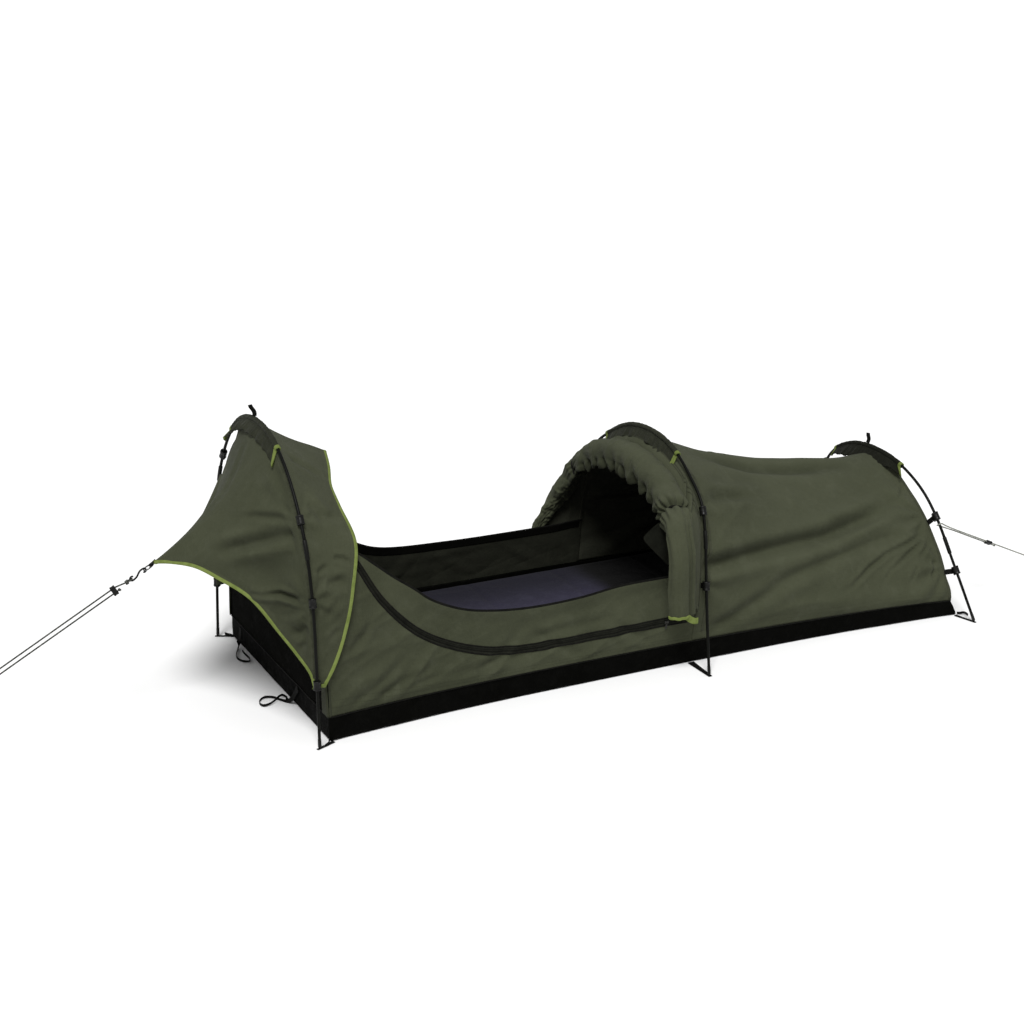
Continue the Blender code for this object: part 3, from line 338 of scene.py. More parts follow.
# ------------------------------------------------------------ meshes
def make(name, verts, faces, mats, index=None, uv=None, edge=None, smooth=True, shade=None):
    data = bpy.data.meshes.new(name)
    V = np.array(verts, float)
    V[:, 0] += TUB_X
    data.from_pydata(V.tolist(), [], [tuple(int(i) for i in f) for f in faces])
    for m in mats:
        data.materials.append(m)
    if index is not None:
        data.polygons.foreach_set("material_index", np.asarray(index, np.int32))
    if uv is not None:
        layer = data.uv_layers.new(name="metres")
        uv = np.asarray(uv, np.float32)
        if len(uv) == len(V) and len(uv) != len(data.loops):
            loop_vert = np.empty(len(data.loops), np.int32)
            data.loops.foreach_get("vertex_index", loop_vert)
            uv = uv[loop_vert]
        layer.data.foreach_set("uv", uv.ravel())
    if edge is not None:
        data.attributes.new("edge", "FLOAT", "POINT").data.foreach_set("value", np.asarray(edge, np.float32))
    if shade is not None:
        data.attributes.new("shade", "FLOAT", "POINT").data.foreach_set("value", np.asarray(shade, np.float32))
    data.polygons.foreach_set("use_smooth", [smooth] * len(data.polygons))
    data.update()
    obj = bpy.data.objects.new(name, data)
    bpy.context.scene.collection.objects.link(obj)
    return obj


def quads(R, C, start=0, wrap_c=False, wrap_r=False, flip=False):
    r = np.arange(R if wrap_r else R - 1)[:, None]
    c = np.arange(C if wrap_c else C - 1)[None]
    a, b = r * C + c, r * C + (c + 1) % C
    d, e = ((r + 1) % R) * C + c, ((r + 1) % R) * C + (c + 1) % C
    F = np.stack([a, b, e, d], -1).reshape(-1, 4) + start
    return F[:, ::-1] if flip else F


def lengths(P):
    R, C = P.shape[:2]
    v = np.concatenate([np.zeros((1, C)), np.cumsum(np.linalg.norm(np.diff(P, axis=0), axis=2), axis=0)])
    u = np.concatenate([np.zeros((R, 1)), np.cumsum(np.linalg.norm(np.diff(P, axis=1), axis=2), axis=1)], axis=1)
    return u, v


def cloth(name, P, outer, inner=None, thick=0.0022, flip=None, edges="abcd", furrow=None):
    """A cloth of even thickness whose outer face is the grid of points. furrow is how deep its folds go; they are
    painted darker as painted shade, and with the slope of the cloth this fills the shade attribute: painted light on
    cloth facing up, painted shade on cloth facing down.
    """
    P = np.asarray(P, float)
    R, C = P.shape[:2]
    n, flip = surface_normals(P, flip)
    verts = np.vstack([P.reshape(-1, 3), (P - n * thick).reshape(-1, 3)])
    m = R * C
    idx = np.arange(m).reshape(R, C)
    ring = np.concatenate([idx[0, :-1], idx[:-1, -1], idx[-1, :0:-1], idx[:0:-1, 0]])
    nxt = np.roll(ring, -1)
    rim = np.stack([nxt, ring, ring + m, nxt + m], -1)
    if flip:
        rim = rim[:, ::-1]
    f1, f2 = quads(R, C, flip=flip), quads(R, C, start=m, flip=not flip)
    faces = np.vstack([f1, f2, rim])
    index = np.r_[np.zeros(len(f1)), np.full(len(f2), 1 if inner else 0), np.zeros(len(rim))]
    u, v = lengths(P)
    uv = np.stack([u, v], -1).reshape(-1, 2)
    dist = np.full((R, C), 1.0)
    if "a" in edges:
        dist = np.minimum(dist, v)
    if "b" in edges:
        dist = np.minimum(dist, v[-1:] - v)
    if "c" in edges:
        dist = np.minimum(dist, u)
    if "d" in edges:
        dist = np.minimum(dist, u[:, -1:] - u)
    dist = dist.ravel()
    # painted light and shade: cloth facing up is painted lighter, cloth facing down and in folds darker
    painted_light_shade = 0.50 * (np.clip(n[..., 2], -0.6, 1.0) - 0.30)
    if furrow is not None:
        painted_light_shade = painted_light_shade + np.clip(furrow / 0.052, -0.62, 0.35)
    painted_light_shade = painted_light_shade.ravel()
    return make(name, verts, faces, [outer] + ([inner] if inner else []), index, np.vstack([uv, uv]), np.r_[dist, dist], shade=np.r_[painted_light_shade, painted_light_shade])


def path_tangents(pts, closed=False):
    if closed:
        return unit(np.roll(pts, -1, axis=0) - np.roll(pts, 1, axis=0))
    return unit(np.gradient(pts, axis=0))


def carried_frames(pts, up=None, closed=False):
    """Two directions across the path at each point, carried along it without twist."""
    T = path_tangents(pts, closed)
    a = np.array(up if up is not None else (0.0, 0.0, 1.0), float)
    if abs(a @ T[0]) > 0.95:
        a = np.array((1.0, 0.0, 0.0))
    out = []
    for t in T:
        a = unit(a - t * (a @ t))
        out.append(a)
    A = np.array(out)
    return A, np.cross(T, A), T


def sweep(name, pts, A, B, section, mat, cap="flat", closed=False, smooth=True):
    """A section, points in the A-B plane, carried along the path."""
    pts = np.asarray(pts, float)
    A = np.broadcast_to(np.asarray(A, float), pts.shape)
    B = np.broadcast_to(np.asarray(B, float), pts.shape)
    S = np.asarray(section, float)
    if S.ndim == 2:
        S = np.broadcast_to(S[None], (len(pts), *S.shape))
    T = path_tangents(pts, closed)
    if cap == "round" and not closed:
        r = float(np.abs(S[0]).max())
        r1 = float(np.abs(S[-1]).max())
        steps = [(0.97, 0.25), (0.8, 0.62), (0.45, 0.9)]
        head = [(pts[0] - T[0] * r * h, S[0] * k) for k, h in steps[::-1]]
        tail = [(pts[-1] + T[-1] * r1 * h, S[-1] * k) for k, h in steps]
        pts = np.vstack([[h[0] for h in head], pts, [t[0] for t in tail]])
        S = np.concatenate([[h[1] for h in head], S, [t[1] for t in tail]])
        A = np.vstack([np.repeat(A[:1], 3, 0), A, np.repeat(A[-1:], 3, 0)])
        B = np.vstack([np.repeat(B[:1], 3, 0), B, np.repeat(B[-1:], 3, 0)])
        T = np.vstack([np.repeat(T[:1], 3, 0), T, np.repeat(T[-1:], 3, 0)])
    N, K = S.shape[:2]
    V = pts[:, None] + A[:, None] * S[..., :1] + B[:, None] * S[..., 1:]
    flip = float((np.cross(A, B) * T).sum()) < 0
    area = 0.5 * float(np.sum(S[N // 2, :, 0] * np.roll(S[N // 2, :, 1], -1) - np.roll(S[N // 2, :, 0], -1) * S[N // 2, :, 1]))
    if area < 0:
        flip = not flip
    F = quads(N, K, wrap_c=True, wrap_r=closed, flip=flip)
    along = np.r_[0, np.cumsum(np.linalg.norm(np.diff(pts, axis=0), axis=1))]
    if closed:
        along = np.r_[along, along[-1] + np.linalg.norm(pts[0] - pts[-1])]
    mid = S[N // 2]
    around = np.r_[0, np.cumsum(np.linalg.norm(np.roll(mid, -1, axis=0) - mid, axis=1))]
    rr = np.arange(N if closed else N - 1)[:, None]
    cc = np.arange(K)[None]
    u0, u1 = around[cc] + 0 * rr, around[cc + 1] + 0 * rr
    v0, v1 = along[rr] + 0 * cc, along[rr + 1] + 0 * cc
    uv = np.stack([np.stack([u0, v0], -1), np.stack([u1, v0], -1), np.stack([u1, v1], -1), np.stack([u0, v1], -1)], 2).reshape(-1, 4, 2)
    if flip:
        uv = uv[:, ::-1]
    faces = [tuple(f) for f in F]
    uvs = uv.reshape(-1, 2)
    if not closed:
        first, last = list(range(K)), list(range((N - 1) * K, N * K))
        faces.append(tuple(first if flip else first[::-1]))
        faces.append(tuple(last[::-1] if flip else last))
        uvs = np.vstack([uvs, np.zeros((2 * K, 2))])
    return make(name, V.reshape(-1, 3), faces, [mat], None, uvs, None, smooth)


def circle(r, sides=16):
    w = np.linspace(0, 2 * math.pi, sides, endpoint=False)
    return np.stack([np.cos(w) * r, np.sin(w) * r], 1)


def oblong(width, thick, sides=16, square=0.45):
    """A flat section with rounded edges."""
    w = np.linspace(0, 2 * math.pi, sides, endpoint=False) + math.pi / sides
    c, s = np.cos(w), np.sin(w)
    return np.stack([np.sign(c) * np.abs(c) ** square * width / 2, np.sign(s) * np.abs(s) ** (square + 0.25) * thick / 2], 1)


def tube(name, pts, r, mat, sides=14, cap="round", closed=False, up=None):
    A, B, _ = carried_frames(np.asarray(pts, float), up, closed)
    r = np.broadcast_to(np.asarray(r, float), (len(pts),))
    section = circle(1.0, sides)[None] * r[:, None, None]
    return sweep(name, pts, A, B, section, mat, cap, closed)


def tape(name, pts, across, width, thick, mat, cap="flat", sides=16, closed=False):
    """A flat tape along the points. across gives its flat direction at each."""
    pts = np.asarray(pts, float)
    T = path_tangents(pts, closed)
    A = np.broadcast_to(np.asarray(across, float), pts.shape)
    A = unit(A - T * (A * T).sum(1)[:, None])
    B = np.cross(T, A)
    return sweep(name, pts, A, B, oblong(width, thick, sides), mat, cap, closed)


def binding(name, edge, inward, normal, mat, width=0.011, thick=0.0045, over=0.0012, drop=0.0011):
    """A folded tape that wraps the edge of a cloth."""
    T = path_tangents(edge)
    D = unit(inward - T * (inward * T).sum(1)[:, None])
    N = unit(normal - T * (normal * T).sum(1)[:, None] - D * (normal * D).sum(1)[:, None])
    section = oblong(width, thick, 14, 0.6) + np.array((width / 2 - over, -drop))
    return sweep(name, edge, D, N, section, mat, "flat")


def stitches(name, pts, normal, mat, pitch=0.0046, long=0.0031, r=0.00055):
    """A row of stitches along a line on a cloth."""
    pts = np.asarray(pts, float)
    s = np.r_[0, np.cumsum(np.linalg.norm(np.diff(pts, axis=0), axis=1))]
    n = max(int(s[-1] / pitch), 2)
    at = (np.arange(n) + 0.5) * s[-1] / n
    P = np.stack([np.interp(at, s, pts[:, i]) for i in range(3)], 1)
    N = unit(np.stack([np.interp(at, s, np.asarray(normal)[:, i]) for i in range(3)], 1))
    T = unit(np.stack([np.interp(at, s, path_tangents(pts)[:, i]) for i in range(3)], 1))
    B = np.cross(N, T)
    verts = np.stack([P - T * long / 2 - N * r * 0.4, P + T * long / 2 - N * r * 0.4, P + N * r, P - N * r, P + B * r, P - B * r], 1)
    base = np.array([(0, 4, 2), (0, 2, 5), (0, 5, 3), (0, 3, 4), (1, 2, 4), (1, 5, 2), (1, 3, 5), (1, 4, 3)])
    faces = (base[None] + 6 * np.arange(n)[:, None, None]).reshape(-1, 3)
    a = verts[0]
    f = base[0]
    if np.cross(a[f[1]] - a[f[0]], a[f[2]] - a[f[0]]) @ (a[f].mean(0) - a.mean(0)) < 0:
        faces = faces[:, ::-1]
    return make(name, verts.reshape(-1, 3), faces, [mat])


def cushion_box(name, size, centre, axes, mat, round_=0.3, cuts=5, smooth=True):
    """A rounded block: a cube grid pushed towards a superellipsoid. axes are three unit vectors."""
    g = np.linspace(-1, 1, cuts + 1)
    verts, faces, seen = [], [], {}

    def vert(p):
        key = tuple(np.round(p, 6))
        if key not in seen:
            seen[key] = len(verts)
            verts.append(p)
        return seen[key]

    for axis in range(3):
        for sign in (-1, 1):
            for i in range(cuts):
                for j in range(cuts):
                    quad = []
                    for di, dj in ((0, 0), (1, 0), (1, 1), (0, 1)):
                        p = np.zeros(3)
                        p[axis] = sign
                        p[(axis + 1) % 3] = g[i + di]
                        p[(axis + 2) % 3] = g[j + dj]
                        quad.append(vert(p))
                    faces.append(quad if sign > 0 else quad[::-1])
    V = np.array(verts)
    ball = unit(V)
    half = np.array(size) / 2
    cut = min(half) * round_
    core = np.clip(V * half, -(half - cut), half - cut)
    V = core + unit(V * half - core + ball * 1e-9) * cut
    M = np.array([np.asarray(a, float) for a in axes])
    out = V @ M + np.array(centre, float)
    if np.linalg.det(M) < 0:
        faces = [f[::-1] for f in faces]
    return make(name, out, faces, [mat], smooth=smooth)


def joined(name, parts):
    """One object of several, made of the same material slots."""
    bpy.ops.object.select_all(action="DESELECT")
    for p in parts:
        p.select_set(True)
    bpy.context.view_layer.objects.active = parts[0]
    bpy.ops.object.join()
    parts[0].name = name
    parts[0].data.name = name
    return parts[0]


# ------------------------------------------------------------ materials
def srgb(r, g, b):
    def lin(v):
        v /= 255.0
        return v / 12.92 if v <= 0.04045 else ((v + 0.055) / 1.055) ** 2.4

    return (lin(r), lin(g), lin(b), 1.0)


class Finish:
    """A material built from nodes."""

    def __init__(self, name, rough, metal=0.0, sheen=0.0, coat=0.0, spec=0.5):
        self.mat = bpy.data.materials.new(name)
        self.mat.use_nodes = True
        self.tree = self.mat.node_tree
        self.shader = self.tree.nodes["Principled BSDF"]
        self.set("Roughness", rough)
        self.set("Metallic", metal)
        self.set("Specular IOR Level", spec)
        if sheen:
            self.set("Sheen Weight", sheen)
            self.set("Sheen Roughness", 0.5)
        if coat:
            self.set("Coat Weight", coat)
            self.set("Coat Roughness", 0.25)

    def set(self, name, value):
        sock = self.shader.inputs[name]
        if isinstance(value, bpy.types.NodeSocket):
            self.tree.links.new(value, sock)
        else:
            sock.default_value = value

    def node(self, kind, props=None, **ins):
        n = self.tree.nodes.new(kind)
        for k, v in (props or {}).items():
            setattr(n, k, v)
        for k, v in ins.items():
            key = int(k[1:]) if k[0] == "_" else k.replace("__", " ")
            sock = n.inputs[key]
            if isinstance(v, bpy.types.NodeSocket):
                self.tree.links.new(v, sock)
            else:
                sock.default_value = v
        return n

    def math(self, op, a, b=None, clamp=False):
        n = self.node("ShaderNodeMath", {"operation": op, "use_clamp": clamp}, _0=a)
        if b is not None:
            if isinstance(b, bpy.types.NodeSocket):
                self.tree.links.new(b, n.inputs[1])
            else:
                n.inputs[1].default_value = b
        return n.outputs[0]

    def at(self):
        return self.node("ShaderNodeTexCoord").outputs["Object"]

    def metres(self):
        return self.node("ShaderNodeUVMap", {"uv_map": "metres"}).outputs[0]

    def scaled(self, vector, by):
        return self.node("ShaderNodeVectorMath", {"operation": "MULTIPLY"}, _0=vector, _1=by).outputs[0]

    def noise(self, vector, scale, detail=3.0, rough=0.55, warp=0.0):
        return self.node("ShaderNodeTexNoise", None, Vector=vector, Scale=scale, Detail=detail, Roughness=rough, Distortion=warp).outputs[0]

    def range(self, value, a, b, c=0.0, d=1.0):
        n = self.node("ShaderNodeMapRange", {"interpolation_type": "SMOOTHSTEP"}, Value=value)
        for i, v in zip((1, 2, 3, 4), (a, b, c, d)):
            n.inputs[i].default_value = v
        return n.outputs[0]

    def mix(self, factor, a, b, how="MIX"):
        n = self.node("ShaderNodeMix", {"data_type": "RGBA", "blend_type": how})
        for i, v in ((0, factor), (6, a), (7, b)):
            if isinstance(v, bpy.types.NodeSocket):
                self.tree.links.new(v, n.inputs[i])
            else:
                n.inputs[i].default_value = v
        return n.outputs[2]

    def bump(self, height, strength, distance, under=None):
        n = self.node("ShaderNodeBump", None, Strength=strength, Distance=distance, Height=height)
        if under is not None:
            self.tree.links.new(under, n.inputs["Normal"])
        return n.outputs[0]

    def attribute(self, name):
        return self.node("ShaderNodeAttribute", {"attribute_name": name, "attribute_type": "GEOMETRY"}).outputs["Fac"]

    def weave(self, pitch, slant=0.0):
        """Threads over and under at the pitch, from the cloth's own metres: -1 to 1."""
        sep = self.node("ShaderNodeSeparateXYZ", None, _0=self.metres())
        u, v = sep.outputs[0], sep.outputs[1]
        if slant:
            v = self.math("ADD", v, self.math("MULTIPLY", u, slant))
        k = 2 * math.pi / pitch
        return self.math("MULTIPLY", self.math("SINE", self.math("MULTIPLY", u, k)), self.math("SINE", self.math("MULTIPLY", v, k)))


def canvas(name, base, dark, light, rough=0.86, sheen=0.02, mottle=2.4, worn=0.35, pitch=0.0016, creases=0.35, spec=0.13):
    """Woven cloth: mottled colour, slubby threads, fine crumples and paler, rubbed edges; painted shade where the weave
    dips, and painted light and shade from the mesh's shade attribute.
    """
    f = Finish(name, rough, sheen=sheen, spec=spec)
    at, uv = f.at(), f.metres()
    broad = f.range(f.noise(at, mottle, 4.0, 0.6, 0.6), 0.34, 0.66)
    colour = f.mix(broad, dark, base)
    blotch = f.range(f.noise(at, mottle * 6.5, 4.0, 0.65, 0.3), 0.45, 0.75)
    colour = f.mix(f.math("MULTIPLY", blotch, 0.4), colour, light)
    warp = f.noise(f.scaled(uv, (900.0, 45.0, 1.0)), 1.0, 2.0, 0.5)
    weft = f.noise(f.scaled(uv, (45.0, 900.0, 1.0)), 1.0, 2.0, 0.5)
    thread = f.math("ADD", warp, weft)
    # thread tones: partly the yarn's own slubby tone, partly painted light on high threads and painted shade on low
    # ones
    colour = f.mix(f.math("MULTIPLY", f.range(thread, 0.8, 1.25), 0.30), colour, light)
    colour = f.mix(f.math("MULTIPLY", f.range(thread, 1.0, 0.7), 0.28), colour, dark)
    w = f.weave(pitch)
    # painted shade where the weave dips
    colour = f.mix(f.math("MULTIPLY", f.range(w, 0.1, -0.9), 0.30), colour, dark)
    near_edge = f.range(f.attribute("edge"), 0.0, 0.010, 1.0, 0.0)
    rub = f.math("MULTIPLY", near_edge, f.range(f.noise(at, 55.0, 3.0), 0.42, 0.62), clamp=True)
    colour = f.mix(f.math("MULTIPLY", rub, worn), colour, light)
    # painted light and shade from the mesh's shade attribute: lighter above zero, darker towards deep below zero
    painted_light_shade = f.attribute("shade")
    deep = tuple(v * 0.55 for v in dark[:3]) + (1.0,)
    colour = f.mix(f.math("MULTIPLY", painted_light_shade, 0.8, clamp=True), colour, light)
    colour = f.mix(f.math("MULTIPLY", painted_light_shade, -0.8, clamp=True), colour, deep)
    f.set("Base Color", colour)
    f.set("Roughness", f.range(blotch, 0.0, 1.0, rough + 0.05, rough - 0.08))
    crumple = f.noise(at, 26.0, 5.0, 0.62, 1.2)
    b = f.bump(crumple, creases, 0.006)
    b = f.bump(f.math("ADD", f.math("MULTIPLY", w, 0.5), thread), 0.35, 0.0007, b)
    f.set("Normal", b)
    return f.mat


def cover_cloth():
    """The mattress cover: violet-grey, painted near black towards its foot as painted shadow inside the tunnel, and
    painted darker towards the far side as painted shade.
    """
    mat = canvas("mattress_cover", srgb(55, 53, 70), srgb(46, 43, 59), srgb(73, 71, 90), rough=0.9, sheen=0.04, mottle=3.0, pitch=0.0024, creases=0.45, spec=0.08)
    tree = mat.node_tree
    shader = tree.nodes["Principled BSDF"]
    colour = shader.inputs["Base Color"].links[0].from_socket
    at = tree.nodes.new("ShaderNodeTexCoord")
    split = tree.nodes.new("ShaderNodeSeparateXYZ")
    tree.links.new(at.outputs["Object"], split.inputs[0])
    # painted shadow: the cover turns near black towards its foot, inside the tunnel
    fade = tree.nodes.new("ShaderNodeMapRange")
    fade.interpolation_type = "SMOOTHSTEP"
    tree.links.new(split.outputs[0], fade.inputs[0])
    for i, v in zip((1, 2, 3, 4), (0.035 + TUB_X, 0.125 + TUB_X, 0.0, 1.0)):
        fade.inputs[i].default_value = v
    foot_shadow_mix = tree.nodes.new("ShaderNodeMix")
    foot_shadow_mix.data_type = "RGBA"
    tree.links.new(fade.outputs[0], foot_shadow_mix.inputs[0])
    tree.links.new(colour, foot_shadow_mix.inputs[6])
    foot_shadow_mix.inputs[7].default_value = srgb(9, 9, 9)
    # painted shade: darker towards the far side
    across = tree.nodes.new("ShaderNodeMapRange")
    across.interpolation_type = "SMOOTHSTEP"
    tree.links.new(split.outputs[1], across.inputs[0])
    for i, v in zip((1, 2, 3, 4), (-0.02, 0.30, 0.0, 0.85)):
        across.inputs[i].default_value = v
    far_side_shade = tree.nodes.new("ShaderNodeMix")
    far_side_shade.data_type = "RGBA"
    tree.links.new(across.outputs[0], far_side_shade.inputs[0])
    tree.links.new(colour, far_side_shade.inputs[6])
    far_side_shade.inputs[7].default_value = srgb(20, 20, 25)
    tree.links.new(far_side_shade.outputs[2], foot_shadow_mix.inputs[6])
    tree.links.new(foot_shadow_mix.outputs[2], shader.inputs["Base Color"])
    return mat


def webbing(name, base, light, rough=0.7, pitch=0.0022):
    """Ribbed tape, with a slight gloss on the ribs and a painted highlight on their tops."""
    f = Finish(name, rough, spec=0.08)
    uv = f.metres()
    sep = f.node("ShaderNodeSeparateXYZ", None, _0=uv)
    rib = f.math("SINE", f.math("MULTIPLY", sep.outputs[1], 2 * math.pi / pitch))
    wander = f.noise(f.scaled(uv, (600.0, 260.0, 1.0)), 1.0, 3.0, 0.6)
    height = f.math("ADD", f.math("MULTIPLY", rib, 0.5), wander)
    dust = f.range(f.noise(f.at(), 38.0, 4.0, 0.6), 0.42, 0.72)
    colour = f.mix(f.math("MULTIPLY", dust, 0.45), base, light)
    # painted highlight: the rib tops are painted lighter
    colour = f.mix(f.math("MULTIPLY", f.range(height, 0.3, 1.3), 0.45), colour, light)
    f.set("Base Color", colour)
    f.set("Roughness", f.range(height, 0.0, 1.4, rough + 0.12, rough - 0.1))
    f.set("Normal", f.bump(height, 0.5, 0.0008))
    return f.mat


def plastic(name, base, light, rough=0.42):
    """Moulded plastic: fine grain and scuffed, paler places."""
    f = Finish(name, rough, spec=0.2)
    at = f.at()
    scuff = f.range(f.noise(at, 90.0, 5.0, 0.7), 0.5, 0.72)
    f.set("Base Color", f.mix(f.math("MULTIPLY", scuff, 0.5), base, light))
    f.set("Roughness", f.range(f.noise(at, 160.0, 3.0), 0.3, 0.7, rough - 0.08, rough + 0.16))
    f.set("Normal", f.bump(f.noise(at, 1400.0, 2.0), 0.12, 0.0003))
    return f.mat


def tube_metal(name, base, light, rough=0.32, metal=0.75, spec=0.5):
    """Anodised tube: streaks along it and rubbed places."""
    f = Finish(name, rough, metal=metal, spec=spec)
    uv = f.metres()
    streak = f.noise(f.scaled(uv, (900.0, 14.0, 1.0)), 1.0, 3.0, 0.6)
    rub = f.range(f.noise(f.at(), 22.0, 5.0, 0.7), 0.5, 0.75)
    colour = f.mix(f.math("MULTIPLY", f.range(streak, 0.35, 0.7), 0.4), base, light)
    colour = f.mix(f.math("MULTIPLY", rub, 0.35), colour, light)
    f.set("Base Color", colour)
    f.set("Roughness", f.range(streak, 0.3, 0.7, rough - 0.06, rough + 0.14))
    f.set("Normal", f.bump(streak, 0.10, 0.0003))
    return f.mat


def braid(name, base, light, dark, r, rough=0.75):
    """A braided cord: strands that cross it both ways, painted darker in the gaps between them as painted shade, with
    flecks of the tracer yarn.
    """
    f = Finish(name, rough, sheen=0.1, spec=0.35)
    sep = f.node("ShaderNodeSeparateXYZ", None, _0=f.metres())
    turn_k = 8.0 / r
    a = f.math("MULTIPLY", sep.outputs[0], turn_k * 0.5)
    b = f.math("MULTIPLY", sep.outputs[1], 2 * math.pi / (r * 3.2))
    one = f.math("SINE", f.math("ADD", a, b))
    two = f.math("SINE", f.math("SUBTRACT", a, b))
    h = f.math("MAXIMUM", one, two)
    fleck = f.range(f.noise(f.scaled(f.metres(), (300.0, 120.0, 1.0)), 1.0, 2.0), 0.54, 0.64)
    # painted shade in the gaps between the strands
    colour = f.mix(f.range(h, -0.4, 0.9), dark, base)
    colour = f.mix(f.math("MULTIPLY", fleck, 0.6), colour, light)
    f.set("Base Color", colour)
    f.set("Normal", f.bump(h, 0.7, r * 0.25))
    return f.mat


OLIVE = canvas("olive_canvas", srgb(60, 63, 47), srgb(51, 54, 39), srgb(71, 74, 58))
OLIVE_DARK = canvas("olive_canvas_shaded", srgb(52, 54, 41), srgb(43, 46, 33), srgb(64, 66, 52))
SLEEVE_SHADED = canvas("sleeve_canvas_shaded", srgb(24, 25, 19), srgb(18, 19, 14), srgb(36, 38, 29), mottle=8.0, spec=0.06)
SLEEVE = canvas("sleeve_canvas", srgb(40, 42, 31), srgb(30, 32, 23), srgb(54, 56, 44), mottle=8.0)
LIME = canvas("lime_binding", srgb(100, 112, 56), srgb(86, 98, 46), srgb(118, 130, 72), rough=0.78, sheen=0.0, mottle=9.0, pitch=0.0013)
TUB = canvas("coated_tub_cloth", srgb(6, 6, 5), srgb(3, 3, 2), srgb(12, 12, 10), rough=0.7, sheen=0.0, mottle=5.0, pitch=0.0026, creases=0.5, spec=0.02)
LINING = canvas("black_lining", srgb(9, 9, 7), srgb(6, 6, 5), srgb(15, 15, 12), rough=0.9, sheen=0.0, mottle=4.0, pitch=0.0018, spec=0.02)
# a paler copy of the black lining inside the canopy and foot panel: painted light in the tunnel
TUNNEL_LINING_PAINTED_LIGHT = canvas("tunnel_lining", srgb(56, 57, 48), srgb(46, 47, 39), srgb(68, 69, 59), rough=0.9, sheen=0.0, mottle=4.0, pitch=0.0018, spec=0.05)
# a paler copy of the black lining for the far wall's and head panel's inner faces: painted light
LINING_PAINTED_LIGHT = canvas("grey_lining", srgb(37, 38, 31), srgb(28, 29, 23), srgb(49, 50, 41), rough=0.88, sheen=0.0, mottle=4.0, pitch=0.0018, spec=0.06)
FLAP = canvas("flap_lining", srgb(21, 22, 18), srgb(16, 17, 13), srgb(30, 31, 25), rough=0.9, sheen=0.0, mottle=7.0, pitch=0.0018, spec=0.03)
FOAM = cover_cloth()
TRIM = canvas("black_trim", srgb(10, 10, 8), srgb(6, 6, 5), srgb(24, 24, 20), rough=0.75, sheen=0.0, mottle=12.0, pitch=0.0014, spec=0.08)
ZIP_TAPE = canvas("zip_tape", srgb(25, 26, 21), srgb(18, 19, 15), srgb(38, 39, 32), rough=0.8, sheen=0.0, mottle=12.0, pitch=0.0013, spec=0.06)
WEB = webbing("black_webbing", srgb(9, 9, 8), srgb(24, 24, 21))
THREAD = webbing("thread", srgb(30, 31, 24), srgb(60, 61, 48), pitch=0.0009)
THREAD_DARK = webbing("thread_dark", srgb(40, 42, 30), srgb(52, 54, 40), pitch=0.0009)
LIME_THREAD = webbing("lime_thread", srgb(104, 120, 58), srgb(150, 165, 100), pitch=0.0009)
POLE = tube_metal("pole_alloy", srgb(8, 9, 7), srgb(24, 25, 21), rough=0.42, metal=0.0, spec=0.08)
FERRULE = tube_metal("pole_ferrule", srgb(11, 12, 10), srgb(32, 33, 29), rough=0.38, metal=0.0, spec=0.12)
BLACK = plastic("black_plastic", srgb(10, 10, 9), srgb(30, 30, 27))
STEEL = tube_metal("steel_wire", srgb(92, 93, 92), srgb(168, 169, 168), rough=0.3, metal=1.0)
ZIP_METAL = tube_metal("zip_metal", srgb(34, 34, 32), srgb(84, 84, 80), rough=0.36, metal=0.6, spec=0.3)
ROPE = braid("guy_rope", srgb(46, 48, 42), srgb(120, 122, 112), srgb(22, 23, 19), ROPE_R)
CORD = braid("guy_cord", srgb(132, 134, 124), srgb(188, 190, 180), srgb(84, 86, 78), CORD_R)


def put(obj, body, *nodes, squash=None, blend=None):
    """The piece rides on the body, or with a blend keeps its baked place unparented, and stands for the nodes, which
    are hidden.
    """
    if blend:
        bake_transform(obj)
    else:
        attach(obj, body)
        if squash:
            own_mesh(obj)
    if nodes:
        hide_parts(*nodes)
    return obj


DOWN = ((0, 0, 1), world((0, 0, SEAM_HEAD)), 0.24)  # axis, point and reach given with the open part's walls; put() only gives such a piece its own mesh
HOOD_IN = ((1, 0, 0), world((-1.108, 0, 0)), 0.12)  # axis, point and reach given with the hood; put() only gives such a piece its own mesh


# ------------------------------------------------------------ guy lines
def front_rope_points():
    """From the hook's eye, through the slider bar, down to the peg, round it and back up to the bar."""
    e, p, y = UP_ROPE, ACROSS_ROPE, Vector((0, 1, 0))
    knot = HOOK_EYE - e * 0.0150
    pts = [knot + y * 0.0032 - e * 0.002]
    pts.append(HOOK_EYE - e * 0.0085 + y * 0.0044)
    pts.append(HOOK_EYE - e * 0.0030 + y * 0.0034 + p * 0.0002)
    pts.append(HOOK_EYE - e * 0.0008)
    pts.append(HOOK_EYE - e * 0.0030 - y * 0.0034)
    pts.append(HOOK_EYE - e * 0.0085 - y * 0.0044)
    pts.append(knot - y * 0.0024 - e * 0.002 + p * 0.001)
    a = TENSIONER + p * STRAND
    pts.append(a + e * 0.0065)
    peg = Vector((FRONT_PEG_X + 0.016, 0, 0.0105))
    base = (peg - TENSIONER).dot(-e) - 0.012
    foot = TENSIONER - e * base
    for s in (0.0, 0.12, 0.26, 0.40, 0.54, 0.68):
        pts.append(a - e * s)
    n = 7
    for k in range(n):
        w = math.pi * k / (n - 1)
        pts.append(foot - e * math.sin(w) * STRAND + p * math.cos(w) * STRAND)
    b = TENSIONER - p * STRAND
    for s in (0.68, 0.54, 0.40, 0.26, 0.12, 0.0):
        pts.append(b - e * s)
    pts.append(b + e * 0.011)
    return pts


